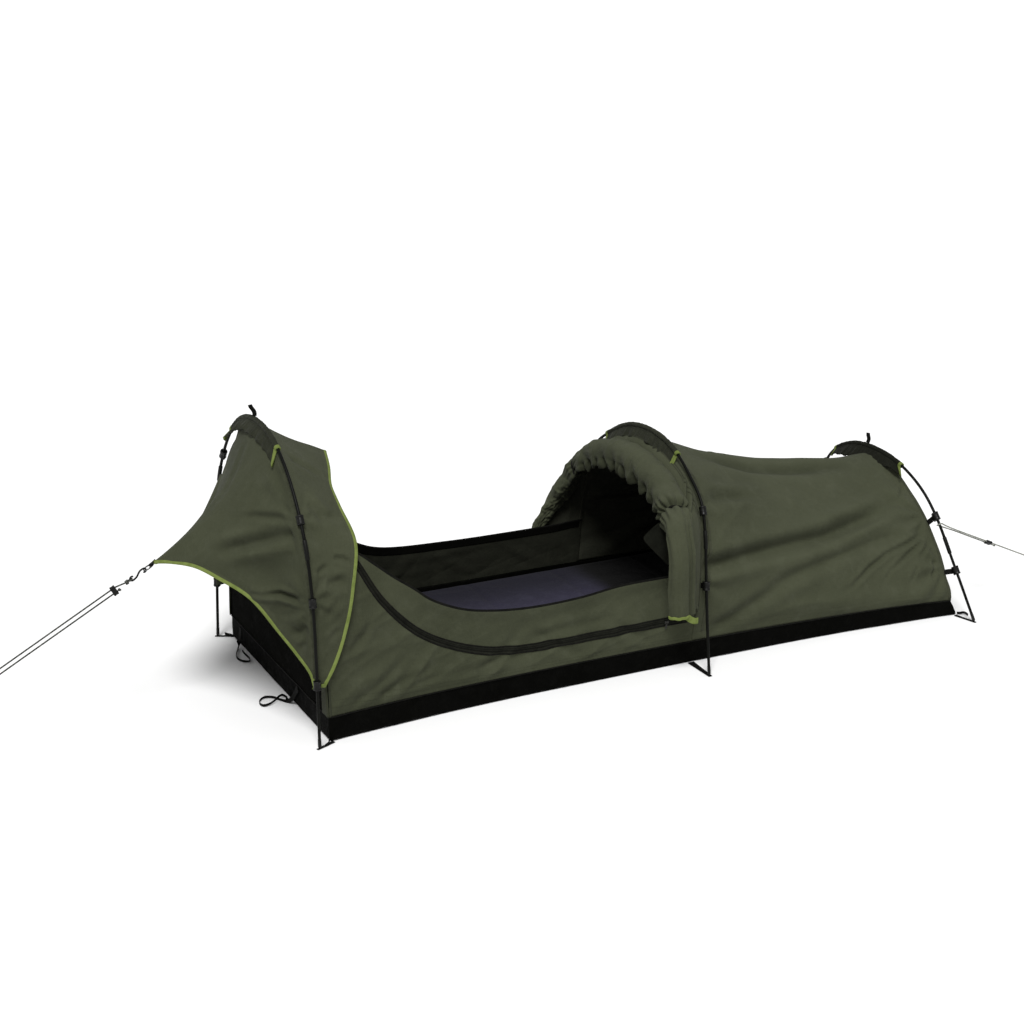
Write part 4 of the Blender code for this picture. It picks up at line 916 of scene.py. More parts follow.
RING_BAR = Vector((-1.437, 0.0, 0.4430))
BOW = RING_BAR - UP_ROPE * 0.022
HOOK_EYE = BOW - UP_ROPE * 0.040
TENSIONER = Vector((-1.545, 0.0, 0.386))
STRAND = 0.007
REAR_Y = -0.300


def rear_frame():
    line = LINES["foot"]
    p, a, b, t = line.frame(line.at_z(0.282, -1))
    pole = Vector(p)
    peg = Vector((REAR_PEG_X, REAR_Y, 0.0022))
    return pole, Vector(t), (peg - pole).normalized(), peg


def rear_rope_points():
    """From a small loop on the ground, up through the slider, round the foot pole under its clip, and back down through the slider to a short tail."""
    pole, t, d, peg = rear_frame()
    across = d.cross(t).normalized()
    q = (d - t * d.dot(t)).normalized()
    pts = []
    c = peg + Vector((0.012, 0.0, 0.0))
    for w in np.radians([205, 250, 295, 340, 25, 70, 115, 152]):
        pts.append(Vector((c.x + 0.012 * math.cos(w), c.y + 0.010 * math.sin(w), 0.0021)))
    start = peg - d * 0.030 + across * 0.0040
    pts.append(peg + Vector((-0.006, 0.0045, 0.0012)))
    pts.append(start)
    total = (peg - pole).length
    for s in (total - 0.15, total - 0.27, 0.232, 0.15, 0.070):
        pts.append(pole + d * s + across * 0.0040)
    pts.append(pole + d * 0.020 + across * 0.0066)
    r = POLE_R + CORD_R + 0.0018
    for w in np.radians([70, 110, 150, 180, 210, 250, 290]):
        pts.append(pole + (q * math.cos(w) + across * math.sin(w)) * r)
    pts.append(pole + d * 0.020 - across * 0.0066)
    for s in (0.070, 0.150, 0.232, 0.262):
        pts.append(pole + d * s - across * 0.0040)
    return pts, pole, d, across, t


def guys():
    e, p = UP_ROPE, ACROSS_ROPE
    # web loop and D-ring at the awning's point
    back = (TIP - RING_BAR).normalized()
    side = Vector((-back.z, 0, back.x))
    r = 0.0031
    line = [RING_BAR + back * 0.022 + side * 0.0014, RING_BAR + back * 0.010 + side * 0.0019, RING_BAR + back * 0.003 + side * r]
    for w in (90, 115, 140, 165, 190, 215, 245, 270):
        a = math.radians(w)
        line.append(RING_BAR + (back * math.cos(a) + side * math.sin(a)) * r)
    line += [RING_BAR + back * 0.003 - side * r, RING_BAR + back * 0.010 - side * 0.0024, RING_BAR + back * 0.020 - side * 0.0030]
    loop = tape("tip_loop_web", smooth_curve([tuple(q) for q in line], 5), (0, 1, 0), 0.0135, 0.0014, WEB)
    put(loop, "head_hoop", "tip_web_loop")
    w = 0.0105
    pts = [RING_BAR + Vector((0, y, 0)) for y in (-w + 0.002, -0.004, 0.0, 0.004, w - 0.002)]
    for a in np.radians(np.linspace(-90, 90, 21)):
        pts.append(RING_BAR - e * (0.0105 + 0.0115 * math.cos(a)) + Vector((0, -w * math.sin(a), 0)))
    ring = tube("tip_d_ring", np.array([tuple(q) for q in pts]), 0.0021, STEEL, 12, closed=True, up=(0.48, 0, -0.88))
    put(ring, "awning_ring", "tip_ring")
    # S hook
    pts = []
    r = 0.0058
    for w in np.radians([-118, -90, -60, -30, 0, 30, 60, 90]):
        pts.append(BOW + e * r * math.cos(w) + p * r * math.sin(w))
    pts += [BOW - e * 0.010 + p * 0.0055, BOW - e * 0.018 + p * 0.0015, BOW - e * 0.026 - p * 0.0035]
    r2 = 0.0062
    for w in np.radians([-80, -110, -145, -180, -215, -250, -285, -310]):
        pts.append(HOOK_EYE + e * r2 * math.cos(w) + p * r2 * math.sin(w))
    hook = tube("guy_hook", smooth_curve([tuple(q) for q in pts], 5), 0.0027, BLACK, 12)
    put(hook, "front_guy", "front_hook")
    # slider bar with its two holes
    bar = slider_block("guy_slider_bar", TENSIONER, np.array(e), np.array((0, 1.0, 0)), np.array(p), (0.0150, 0.0130, 0.031), STRAND, 0.0030)
    put(bar, "front_slider", "front_tensioner")
    # rope
    pts = front_rope_points()
    dense = smooth_curve([tuple(q) for q in pts], 4)
    rope = tube("front_rope", dense, ROPE_R, ROPE, 12)
    put(rope, "front_guy", "front_guy_rope")
    knot = HOOK_EYE - e * 0.0155
    turns = []
    for k in range(46):
        a = 2 * math.pi * 2.6 * k / 45
        c = knot - e * (0.0085 * k / 45 - 0.002)
        turns.append(tuple(c + (Vector((0, 1, 0)) * math.cos(a) + p * math.sin(a)) * 0.0052))
    tie = tube("front_rope_knot", np.array(turns), 0.0019, ROPE, 8)
    put(tie, "front_guy")
    stop = TENSIONER - p * STRAND + e * 0.0125
    turns = []
    for k in range(30):
        a = 2 * math.pi * 1.8 * k / 29
        turns.append(tuple(stop + e * (0.005 * k / 29 - 0.0010) + (Vector((0, 1, 0)) * math.cos(a) + p * math.sin(a)) * 0.0030))
    end = tube("front_rope_stop", np.array(turns), 0.0019, ROPE, 8)
    put(end, "front_guy")
    # rear cord
    pts, pole, d, across, t = rear_rope_points()
    dense = smooth_curve([tuple(q) for q in pts], 4)
    cord = tube("rear_cord", dense, 0.0020, CORD, 10)
    put(cord, "rear_guy", "rear_guy_rope")
    n = d.cross(across).normalized()
    block = slider_block("rear_slider_block", pole + d * 0.232, np.array(d), np.array(n), np.array(across), (0.024, 0.0095, 0.0190), 0.0042, 0.0024)
    put(block, "rear_slider", "rear_slider")
    stop = pole + d * 0.266 - across * 0.0040
    turns = []
    for k in range(30):
        a = 2 * math.pi * 1.8 * k / 29
        turns.append(tuple(stop + d * (0.0045 * k / 29 - 0.0022) + (n * math.cos(a) + across * math.sin(a)) * 0.0021))
    tail = tube("rear_cord_stop", np.array(turns), 0.0014, CORD, 8)
    put(tail, "rear_guy")


def slider_block(name, centre, along, thick_dir, across, size, spacing, hole):
    """A moulded block with two holes through it, along the cords: a loft round each hole and the outer shape."""
    centre = np.array(centre, float)
    K = 32
    w = np.linspace(0, 2 * math.pi, K, endpoint=False)
    half_t, half_w = size[1] / 2, size[2] / 2
    outer = np.stack([np.sign(np.cos(w)) * np.abs(np.cos(w)) ** 0.62 * half_w, np.sign(np.sin(w)) * np.abs(np.sin(w)) ** 0.62 * half_t], 1)
    rings, L = [], size[0] / 2
    for s, k in ((-L, 0.86), (-L * 0.9, 0.96), (-L * 0.6, 1.0), (-L * 0.25, 0.95), (0.0, 0.93), (L * 0.25, 0.95), (L * 0.6, 1.0), (L * 0.9, 0.96), (L, 0.86)):
        rings.append([centre + along * s + across * a * k + thick_dir * b * k for a, b in outer])
    verts = [v for ring in rings for v in ring]
    n = len(rings)
    flip = float(np.cross(across, thick_dir) @ along) < 0
    faces = [tuple(f) for f in quads(n, K, wrap_c=True, flip=flip)]
    base = len(verts)
    holes = []
    m = 12
    for sign in (-1, 1):
        for s in (-L, L):
            ids = []
            for k in range(m):
                a = 2 * math.pi * k / m
                ids.append(len(verts))
                verts.append(centre + along * s + across * (sign * spacing + hole * math.cos(a)) + thick_dir * hole * math.sin(a))
            holes.append(ids)
    for a, b in ((holes[0], holes[1]), (holes[2], holes[3])):
        for k in range(m):
            q = (a[k], b[k], b[(k + 1) % m], a[(k + 1) % m])
            faces.append(q[::-1] if flip else q)
    data = bpy.data.meshes.new(name)
    V = np.array(verts, float)
    V[:, 0] += TUB_X
    data.from_pydata(V.tolist(), [], [tuple(int(i) for i in f) for f in faces])
    import bmesh

    made = bmesh.new()
    made.from_mesh(data)
    made.verts.ensure_lookup_table()
    for end, ring0, hs in ((0, 0, (holes[0], holes[2])), (1, (n - 1) * K, (holes[1], holes[3]))):
        edges = []
        loop = [made.verts[ring0 + k] for k in range(K)]
        for ids in (loop, [made.verts[i] for i in hs[0]], [made.verts[i] for i in hs[1]]):
            for a, b in zip(ids, ids[1:] + ids[:1]):
                e = made.edges.get((a, b)) or made.edges.new((a, b))
                edges.append(e)
        bmesh.ops.triangle_fill(made, edges=edges, use_beauty=True, use_dissolve=False)
    bmesh.ops.recalc_face_normals(made, faces=made.faces)
    made.to_mesh(data)
    made.free()
    data.materials.append(BLACK)
    data.polygons.foreach_set("use_smooth", [False] * len(data.polygons))
    obj = bpy.data.objects.new(name, data)
    bpy.context.scene.collection.objects.link(obj)
    return obj


guys()


# ------------------------------------------------------------ floor tub and mattress
def floor_tub():
    n_x, n_c = 260, 10
    xs = np.linspace(-HALF_LEN + 0.010, HALF_LEN - 0.010, n_x)
    near = [(x, -half_width(x)) for x in xs]
    foot = [(HALF_LEN, y) for y in np.linspace(-HALF_END + 0.010, HALF_END - 0.010, 110)]
    far = [(x, half_width(x)) for x in xs[::-1]]
    head = [(-HALF_LEN, y) for y in np.linspace(HALF_END - 0.010, -HALF_END + 0.010, 110)]

    def corner(a, b, c):
        a, b, c = (np.array(v) for v in (a, b, c))
        return [tuple((1 - t) ** 2 * a + 2 * t * (1 - t) * b + t * t * c) for t in np.linspace(0, 1, n_c)[1:-1]]

    ring = near + corner(near[-1], (HALF_LEN, -HALF_END), foot[0]) + foot + corner(foot[-1], (HALF_LEN, HALF_END), far[0]) + far
    ring += corner(far[-1], (-HALF_LEN, HALF_END), head[0]) + head + corner(head[-1], (-HALF_LEN, -HALF_END), near[0])
    ring = np.array(ring)
    T = unit(np.roll(ring, -1, 0) - np.roll(ring, 1, 0))
    N = np.stack([T[:, 1], -T[:, 0]], 1)
    top = seam_top(ring[:, 0])
    slump = ease((ring[:, 0] - 0.93) / 0.13)
    shares = np.array([1.0, 0.94, 0.86, 0.74, 0.62, 0.5, 0.38, 0.26, 0.16, 0.09, 0.04, 0.012, 0.0])
    tuck = np.array([0, 0, 0, 0, 0, 0, 0, 0.0003, 0.0009, 0.002, 0.004, 0.0075, 0.013])
    P = np.zeros((len(shares), len(ring), 3))
    for i, (k, t) in enumerate(zip(shares, tuck)):
        P[i, :, :2] = ring - N * t
        P[i, :, 0] -= 0.0245 * k * slump
        P[i, :, 1] *= 1 - 0.022 * k * slump
        P[i, :, 2] = top * k
    S = np.stack([P[..., 0], P[..., 1], P[..., 2]], -1)
    body = ease(shares / 0.15) * ease((1 - shares) / 0.08 + 0.15)
    wave = fractal(S, (5.0, 5.0, 9.0), 3, 3) * 0.0032 + ridges(S * np.array((1, 1, 0.6)), (11.0, 11.0, 16.0), 5) * 0.0016
    P[..., :2] += N[None] * ((wave - 0.0012) * body[:, None])[..., None]
    lift = np.clip(fractal(S, (6.0, 6.0, 0.0), 2, 9), 0, 1) * 0.0018
    P[..., 2] += lift * ease((0.3 - shares[:, None]) / 0.3)
    P = P[::-1]
    floor_rows = []
    for k in (0.93, 0.8, 0.6, 0.4, 0.2, 0.04):
        row = np.zeros((len(ring), 3))
        inner = ring - N * 0.013
        row[:, 0] = inner[:, 0] * (1 - (1 - k) * 0.5)
        row[:, 1] = inner[:, 1] * k
        floor_rows.append(row)
    P = np.concatenate([np.array(floor_rows)[::-1], P])
    R, C = P.shape[:2]
    n = np.zeros_like(P)
    g = unit(np.cross(np.roll(P, -1, 1) - np.roll(P, 1, 1), np.gradient(P, axis=0)))
    flip = float((g[-5, :, :2] * N).sum()) < 0
    g = -g if flip else g
    Q = P - g * 0.0021
    verts = np.vstack([P.reshape(-1, 3), Q.reshape(-1, 3)])
    m = R * C
    f1, f2 = quads(R, C, wrap_c=True, flip=flip), quads(R, C, start=m, wrap_c=True, flip=not flip)
    last = (R - 1) * C + np.arange(C)
    nxt = (R - 1) * C + (np.arange(C) + 1) % C
    rim = np.stack([last, nxt, nxt + m, last + m], -1)
    if not flip:
        rim = rim[:, ::-1]
        rim = rim[:, ::-1]
    faces = [tuple(f) for f in np.vstack([f1, f2, rim])]
    faces.append(tuple(range(C)) if flip else tuple(range(C))[::-1])
    faces.append(tuple(m + i for i in range(C))[::-1] if flip else tuple(m + i for i in range(C)))
    u = np.concatenate([[0], np.cumsum(np.linalg.norm(np.diff(ring, axis=0), axis=1))])
    v = np.concatenate([np.zeros((1, C)), np.cumsum(np.linalg.norm(np.diff(P, axis=0), axis=2), axis=0)])
    uv = np.stack([np.broadcast_to(u, (R, C)), v], -1).reshape(-1, 2)
    dist = (v[-1:] - v).ravel()
    tub = make("floor_tub", verts, faces, [TUB], None, np.vstack([uv, uv]), np.r_[dist, dist])
    import bmesh

    made = bmesh.new()
    made.from_mesh(tub.data)
    bmesh.ops.recalc_face_normals(made, faces=made.faces)
    made.to_mesh(tub.data)
    made.free()
    put(tub, "base", "tub_floor", "tub_wall_near", "tub_wall_far", "tub_wall_head", "tub_wall_foot")
    # welt along the seam
    line = np.column_stack([ring + N * 0.0008, top])
    line[:, 0] -= 0.0245 * slump
    line[:, 1] *= 1 - 0.022 * slump
    line[:, 2] += 0.0004
    closed = tube("tub_welt", line, 0.0021, TRIM, 8, closed=True)
    put(closed, "base")


floor_tub()


def mattress():
    """A foam pad with a crowned top, quilted lines across it and a piped seam, all slack enough to crease."""
    nx, ny = 300, 110
    long, wide = 2.060, 0.752
    low, high = 0.0035, 0.070
    x = np.linspace(-1, 1, nx)
    y = np.linspace(-1, 1, ny)
    X, Y = np.meshgrid(x, y, indexing="ij")
    # rounded plan
    hx, hy, rc = long / 2, wide / 2, 0.045
    px, py = X * hx, Y * hy
    cx, cy = np.abs(px) - (hx - rc), np.abs(py) - (hy - rc)
    corner = (cx > 0) & (cy > 0)
    m = np.maximum(cx, cy)
    d = np.hypot(cx, cy)
    scale = np.where(corner, m / np.maximum(d, 1e-9), 1.0)
    px = np.where(corner, np.sign(px) * (hx - rc + cx * scale), px)
    py = np.where(corner, np.sign(py) * (hy - rc + cy * scale), py)
    inset = np.minimum(hx - np.abs(X * hx), hy - np.abs(Y * hy))
    py = py * (half_width(px) - 0.0150) / hy
    crown = 1 - (1 - np.clip(inset / 0.022, 0, 1)) ** 2.4
    flat = np.stack([px, py, 0 * px], -1)
    wave = fractal(flat, (3.0, 5.0, 1.0), 3, 21) * 0.0035
    crease = ridges(flat, (7.0, 9.0, 1.0), 23, 3.0) * 0.0022
    quilt = np.zeros_like(px)
    for q in np.arange(-0.9, 0.95, 0.30):
        quilt -= 0.0045 * np.exp(-(((px - q - 0.008 * np.sin(9 * py)) / 0.010) ** 2))
    top = high - 0.010 + 0.010 * crown + (wave + crease + quilt) * ease(inset / 0.05) - 0.001
    top = np.minimum(top, 0.0735) - 0.012 * ease((px - 0.85) / 0.15)
    mid = 0.034
    bottom = low + 0.012 * (1 - crown) ** 1.0
    P = np.stack([px, py, top], -1)
    Q = np.stack([px, py, np.minimum(bottom, mid - 0.006)], -1)
    R, C = P.shape[:2]
    ring = np.concatenate([[(i, 0) for i in range(R - 1)], [(R - 1, j) for j in range(C - 1)], [(i, C - 1) for i in range(R - 1, 0, -1)], [(0, j) for j in range(C - 1, 0, -1)]])
    verts = [P.reshape(-1, 3), Q.reshape(-1, 3)]
    k = R * C
    edge_pts = P[ring[:, 0], ring[:, 1]]
    low_pts = Q[ring[:, 0], ring[:, 1]]
    out = unit(np.column_stack([edge_pts[:, :2] * [0.25, 1.0], np.zeros(len(ring))]))
    side_rows = 7
    sides = []
    for i in range(1, side_rows):
        t = i / side_rows
        bulge = 0.0035 * math.sin(math.pi * t) + 0.0010 * noise(edge_pts, (9, 9, 1), 31)
        row = edge_pts * (1 - t) + low_pts * t + out * np.atleast_1d(bulge)[:, None]
        sides.append(row)
    verts += sides
    n = len(ring)
    faces = [tuple(f) for f in quads(R, C, flip=False)] + [tuple(f) for f in quads(R, C, start=k, flip=True)]
    rows = [ring[:, 0] * C + ring[:, 1]] + [2 * k + i * n + np.arange(n) for i in range(side_rows - 1)] + [k + ring[:, 0] * C + ring[:, 1]]
    for a, b in zip(rows[:-1], rows[1:]):
        for i in range(n):
            j = (i + 1) % n
            faces.append((a[i], a[j], b[j], b[i]))
    verts = np.vstack(verts)
    uv = verts[:, :2].copy()
    uv[2 * k :, 1] += verts[2 * k :, 2]
    dist = np.full(len(verts), 1.0)
    pad = make("foam_mattress", verts, faces, [FOAM], None, uv, dist)
    import bmesh

    made = bmesh.new()
    made.from_mesh(pad.data)
    bmesh.ops.recalc_face_normals(made, faces=made.faces)
    if made.calc_volume(signed=True) < 0:
        bmesh.ops.reverse_faces(made, faces=made.faces)
    made.to_mesh(pad.data)
    made.free()
    put(pad, "base", "mattress")
    line = edge_pts + out * 0.0012
    line = by_length(np.vstack([line, line[:1]]), 900)[:-1]
    pipe = tube("mattress_piping", line, 0.0024, FOAM, 8, closed=True)
    put(pipe, "base")


mattress()


# ------------------------------------------------------------ side walls
def wall_grid(top, n_x=460, rows=74, x_end=0.1120):
    tops = smooth_curve(top, 16)
    xs = np.linspace(-1.072, x_end, n_x)
    z1 = np.interp(xs, tops[:, 0], tops[:, 1])
    z0 = seam_z(xs) + 0.0004
    k = np.linspace(0, 1, rows)[:, None]
    Z = z0[None] + (z1 - z0)[None] * k
    X = np.broadcast_to(xs[None], Z.shape).copy()
    X += 0.103 * Z * ease((X - 0.02) / 0.083)
    return X, Z


NEAR_CLIPS = [np.array((head_x(z), -float(np.interp(z, EDGE[:, 1], EDGE[:, 0])), z)) for z in CLIP_Z["head"]]


def side_wall(side, top, zip_line):
    name = "near" if side < 0 else "far"
    X, Z = wall_grid(top)
    cover = np.interp(Z, [q[1] for q in MID_SKIN], [q[0] for q in MID_SKIN]) - 0.0035
    meet = ease((X - 0.02) / 0.075) * ease((Z - 0.072) / 0.02)
    Y = side * (wall_y(X, Z) * (1 - meet) + cover * meet)
    P = np.stack([X, Y, Z], -1)
    n, _ = surface_normals(P)
    keep = edge_fade(P, 0.05, "b") * edge_fade(P, 0.03, "acd")
    calm = 1.0 if side < 0 else 0.45
    S = P * np.array((1.0, side, 1.0))
    under_zip = 0.30 + 0.70 * ease((np.interp(X, [q[0] for q in ZIP_NEAR], [q[1] for q in ZIP_NEAR]) - Z) / 0.03)
    d = fractal(S, (2.2, 2.0, 3.6), 3, 40) * 0.0075 + ridges(S @ rot2(-0.50), (2.4, 1.0, 11.0), 44, 2.2) * 0.0046 * under_zip
    d += ridges(S @ rot2(-0.30), (3.0, 1.0, 14.0), 47, 2.4) * 0.0028 * under_zip
    furrow = np.zeros_like(d)
    for marks, w, dep in (
        (((-0.966, 0.086), (-0.852, 0.121), (-0.722, 0.157)), 0.014, 0.0055),
        (((-0.727, 0.106), (-0.570, 0.128), (-0.385, 0.133)), 0.013, 0.0045),
        (((-1.020, 0.228), (-0.952, 0.293), (-0.913, 0.356)), 0.012, 0.0045),
        (((-0.490, 0.166), (-0.331, 0.184), (-0.119, 0.198)), 0.014, 0.0035),
        (((-0.880, 0.090), (-0.800, 0.112), (-0.700, 0.128)), 0.009, 0.0035),
    ):
        furrow += fold(P, [(x, side * float(wall_y(np.array(x), np.array(z))), z) for x, z in marks], w, dep, 0.3, 0.4)
    d += furrow
    for x, dx, amp in ((-1.02, 0.26, 0.0035), (-0.93, 0.20, 0.0025), (-0.62, 0.20, 0.0018), (-0.25, -0.22, 0.0020), (-0.02, -0.20, 0.0022)):
        amp *= 2.2
        d += fold(P, [(x, side * half_width(x), 0.085), (x + dx * 0.5, side * wall_y(x + dx * 0.5, 0.15), 0.15), (x + dx, side * wall_y(x + dx, 0.24), 0.24)], 0.016, amp, 0.15, 0.6)
    hang = ease((X + 0.95) / 0.25) * ease((0.10 - X) / 0.22)
    d -= 0.006 * hang * ease((Z - 0.10) / 0.15)
    P = P + n * (d * keep * calm)[..., None]
    # painted light and shade: the near wall's folds are painted darker, and the wall is painted darker at its head end
    # and paler further along
    wall = cloth(f"wall_{name}", P, OLIVE, LINING_PAINTED_LIGHT if side > 0 else LINING, edges="b", furrow=furrow + (0.008 * ease((X + 1.0) / 0.25) - 0.003 if side < 0 else 0.0))
    put(wall, "base", f"side_wall_{name}", squash=DOWN)
    # black binding along the top edge
    edge, inner = P[-1], P[-4]
    nn, _ = surface_normals(P)
    trim = binding(f"wall_{name}_binding", edge, inner - edge, nn[-1], TRIM, 0.0072, 0.0036)
    put(trim, "base", squash=DOWN)
    # black facing sewn inside the top edge
    strip = (P - nn * 0.0030)[-13:-1, 4:-4]
    facing = cloth(f"wall_{name}_facing", strip, LINING, LINING, thick=0.0009, edges="")
    put(facing, "base", squash=DOWN)
    # stitch lines above the tub
    for i, z in enumerate((4, 7)):
        row = P[z] + nn[z] * 0.0002
        line = stitches(f"wall_{name}_seam_{i + 1}", row[::1], nn[z], THREAD_DARK)
        put(line, "base", squash=DOWN)
    zipper(name, side, zip_line, P)
    return P


def rot2(a):
    """Turns x and z, for noise that runs at a slant."""
    c, s = math.cos(a), math.sin(a)
    return np.array(((c, 0, s), (0, 1, 0), (-s, 0, c)))


def on_wall(P, x, z):
    """The wall's own half-width at (x, z), from its displaced grid."""
    X, Z = P[..., 0], P[..., 2]
    i = np.clip(np.searchsorted(X[0], x), 1, X.shape[1] - 1)
    out = []
    for xi, zi, k in zip(np.atleast_1d(x), np.atleast_1d(z), np.atleast_1d(i)):
        a, b = X[0, k - 1], X[0, k]
        t = (xi - a) / (b - a)
        y0 = np.interp(zi, Z[:, k - 1], P[:, k - 1, 1])
        y1 = np.interp(zi, Z[:, k], P[:, k, 1])
        out.append(y0 + (y1 - y0) * t)
    return np.array(out)


def zipper(name, side, line, wall):
    """The zip's tape with its teeth between two folds of trim, laid on the wall."""
    path = by_length(smooth_curve(line, 20), 420)
    t = unit(np.gradient(path, axis=0))
    n = np.stack([-t[:, 1], t[:, 0]], 1)
    offs = np.array([-0.0105, -0.0100, -0.0080, -0.0050, -0.0042, -0.0030, -0.0018, 0.0, 0.0018, 0.0030, 0.0042, 0.0050, 0.0080, 0.0100, 0.0105])
    narrow = np.interp(np.linspace(0, 1, len(path)), [0, 0.12, 0.45, 1], [0.70, 0.74, 0.98, 1.0])
    high = np.array([0.0002, 0.0016, 0.0021, 0.0024, 0.0014, 0.0012, 0.0022, 0.0028, 0.0022, 0.0012, 0.0014, 0.0024, 0.0021, 0.0016, 0.0002])
    P = np.zeros((len(path), len(offs), 3))
    for j, (o, h) in enumerate(zip(offs, high)):
        q = path + n * (o * narrow)[:, None]
        y = on_wall(wall, q[:, 0], q[:, 1])
        P[:, j, 0], P[:, j, 2] = q[:, 0], q[:, 1]
        P[:, j, 1] = y + side * h
    band = cloth(f"zip_{name}_tape", P, ZIP_TAPE, None, thick=0.0009, edges="cd")
    put(band, "base", squash=DOWN)
    for k, o in enumerate((-0.0108, 0.0108)):
        q = path + n * (o * narrow)[:, None]
        y = on_wall(wall, q[:, 0], q[:, 1]) + side * 0.0006
        cord = tube(f"zip_{name}_welt_{k + 1}", np.stack([q[:, 0], y, q[:, 1]], 1), 0.0024, TRIM, 8)
        put(cord, "base", squash=DOWN)
    # teeth: a fine coil along the middle
    count = 1500
    at = np.linspace(0, 1, count)
    mid = by_length(path, count)
    y = on_wall(wall, mid[:, 0], mid[:, 1])
    base = np.stack([mid[:, 0], y + side * 0.0031, mid[:, 1]], 1)
    T = unit(np.gradient(base, axis=0))
    N = np.broadcast_to(np.array((0.0, side, 0.0)), base.shape)
    N = unit(N - T * (N * T).sum(1)[:, None])
    B = np.cross(T, N)
    w = at * 2 * math.pi * count / 6.0
    coil = base + B * (np.cos(w) * 0.0017)[:, None] + N * (np.sin(w) * 0.0006)[:, None]
    teeth = tube(f"zip_{name}_coil", coil, 0.00045, TRIM, 5, cap="flat")
    put(teeth, "base", squash=DOWN)
    nn = np.broadcast_to(np.array((0.0, side, 0.0)), path.shape[:1] + (3,))
    for k, o in enumerate((-0.0070, 0.0070)):
        q = path + n * (o * narrow)[:, None]
        y = on_wall(wall, q[:, 0], q[:, 1]) + side * 0.0021
        row = stitches(f"zip_{name}_stitch_{k + 1}", np.stack([q[:, 0], y, q[:, 1]], 1), nn, THREAD)
        put(row, "base", squash=DOWN)


NEAR_WALL = side_wall(-1, NEAR_TOP, ZIP_NEAR)
FAR_WALL = side_wall(1, FAR_TOP, ZIP_FAR)


# ------------------------------------------------------------ head wall
def head_panel():
    line = np.array([(y - 0.020 - 0.020 * ease((z - 0.45) / 0.35), z) for y, z in HEAD_LINE])
    line[:, 1] -= 0.040 * ease((HEAD_LINE[:, 1] - 0.6) / 0.22)
    line = line[np.argsort(line[:, 1])]
    zs = np.concatenate([np.linspace(0.0758, 0.72, 84), np.linspace(0.725, float(line[-1, 1]) - 0.0008, 22)])
    half = np.interp(zs, line[:, 1], line[:, 0])
    k = np.linspace(-1, 1, 120)
    Y = half[:, None] * k[None]
    Z = np.broadcast_to(zs[:, None], Y.shape)
    P = np.stack([np.full(Y.shape, -HALF_LEN), Y, Z], -1)
    fade = edge_fade(P, 0.06)
    d = fractal(P, (1.0, 3.2, 4.2), 3, 60) * 0.007 + ridges(P, (1.0, 4.0, 9.0), 61, 2.2) * 0.003
    P[..., 0] += (d * 0.6 - 0.001) * fade
    panel = cloth("head_panel", P, LINING, LINING_PAINTED_LIGHT, flip=bool(surface_normals(P, False)[0][..., 0].mean() > 0))
    put(panel, "base", "head_wall", blend=("head_hoop", world((-HALF_LEN, 0, 0.08)), world((-HALF_LEN, 0, 0.44))))


def corner_returns():
    """The side walls' canvas turned round the head corners and sewn to the head wall."""
    zs = np.linspace(0.0768, 0.50, 90)
    for name, sign in (("near", -1), ("far", 1)):
        w = wall_y(np.full(len(zs), -1.0705), zs)
        wide = (0.040 - 0.022 * (zs - zs[0]) / (zs[-1] - zs[0])) * (1.0 if sign < 0 else 0.15)
        cols = [(-1.0665, 0.0010 + 0 * w), (-1.0715, 0.0013 + 0 * w), (-1.0765, 0.0004 + 0 * w), (-1.0792, -0.0028 + 0 * w)]
        cols += [(-1.0798, -wide * k) for k in (0.18, 0.35, 0.5, 0.65, 0.8, 0.92, 1.0)]
        P = np.stack([np.stack([np.full(len(zs), x), sign * (w + dy), zs], 1) for x, dy in cols], 1)
        P[..., 0] += 0.0016 * noise(P, 14.0, 66) * np.linspace(0, 1, len(cols))[None]
        turn_in = cloth(f"corner_return_{name}", P, OLIVE_DARK, LINING, thick=0.0016, edges="d")
        put(turn_in, "base", blend=("head_hoop", world((-HALF_LEN, 0, 0.08)), world((-HALF_LEN, 0, 0.44))))


head_panel()
corner_returns()


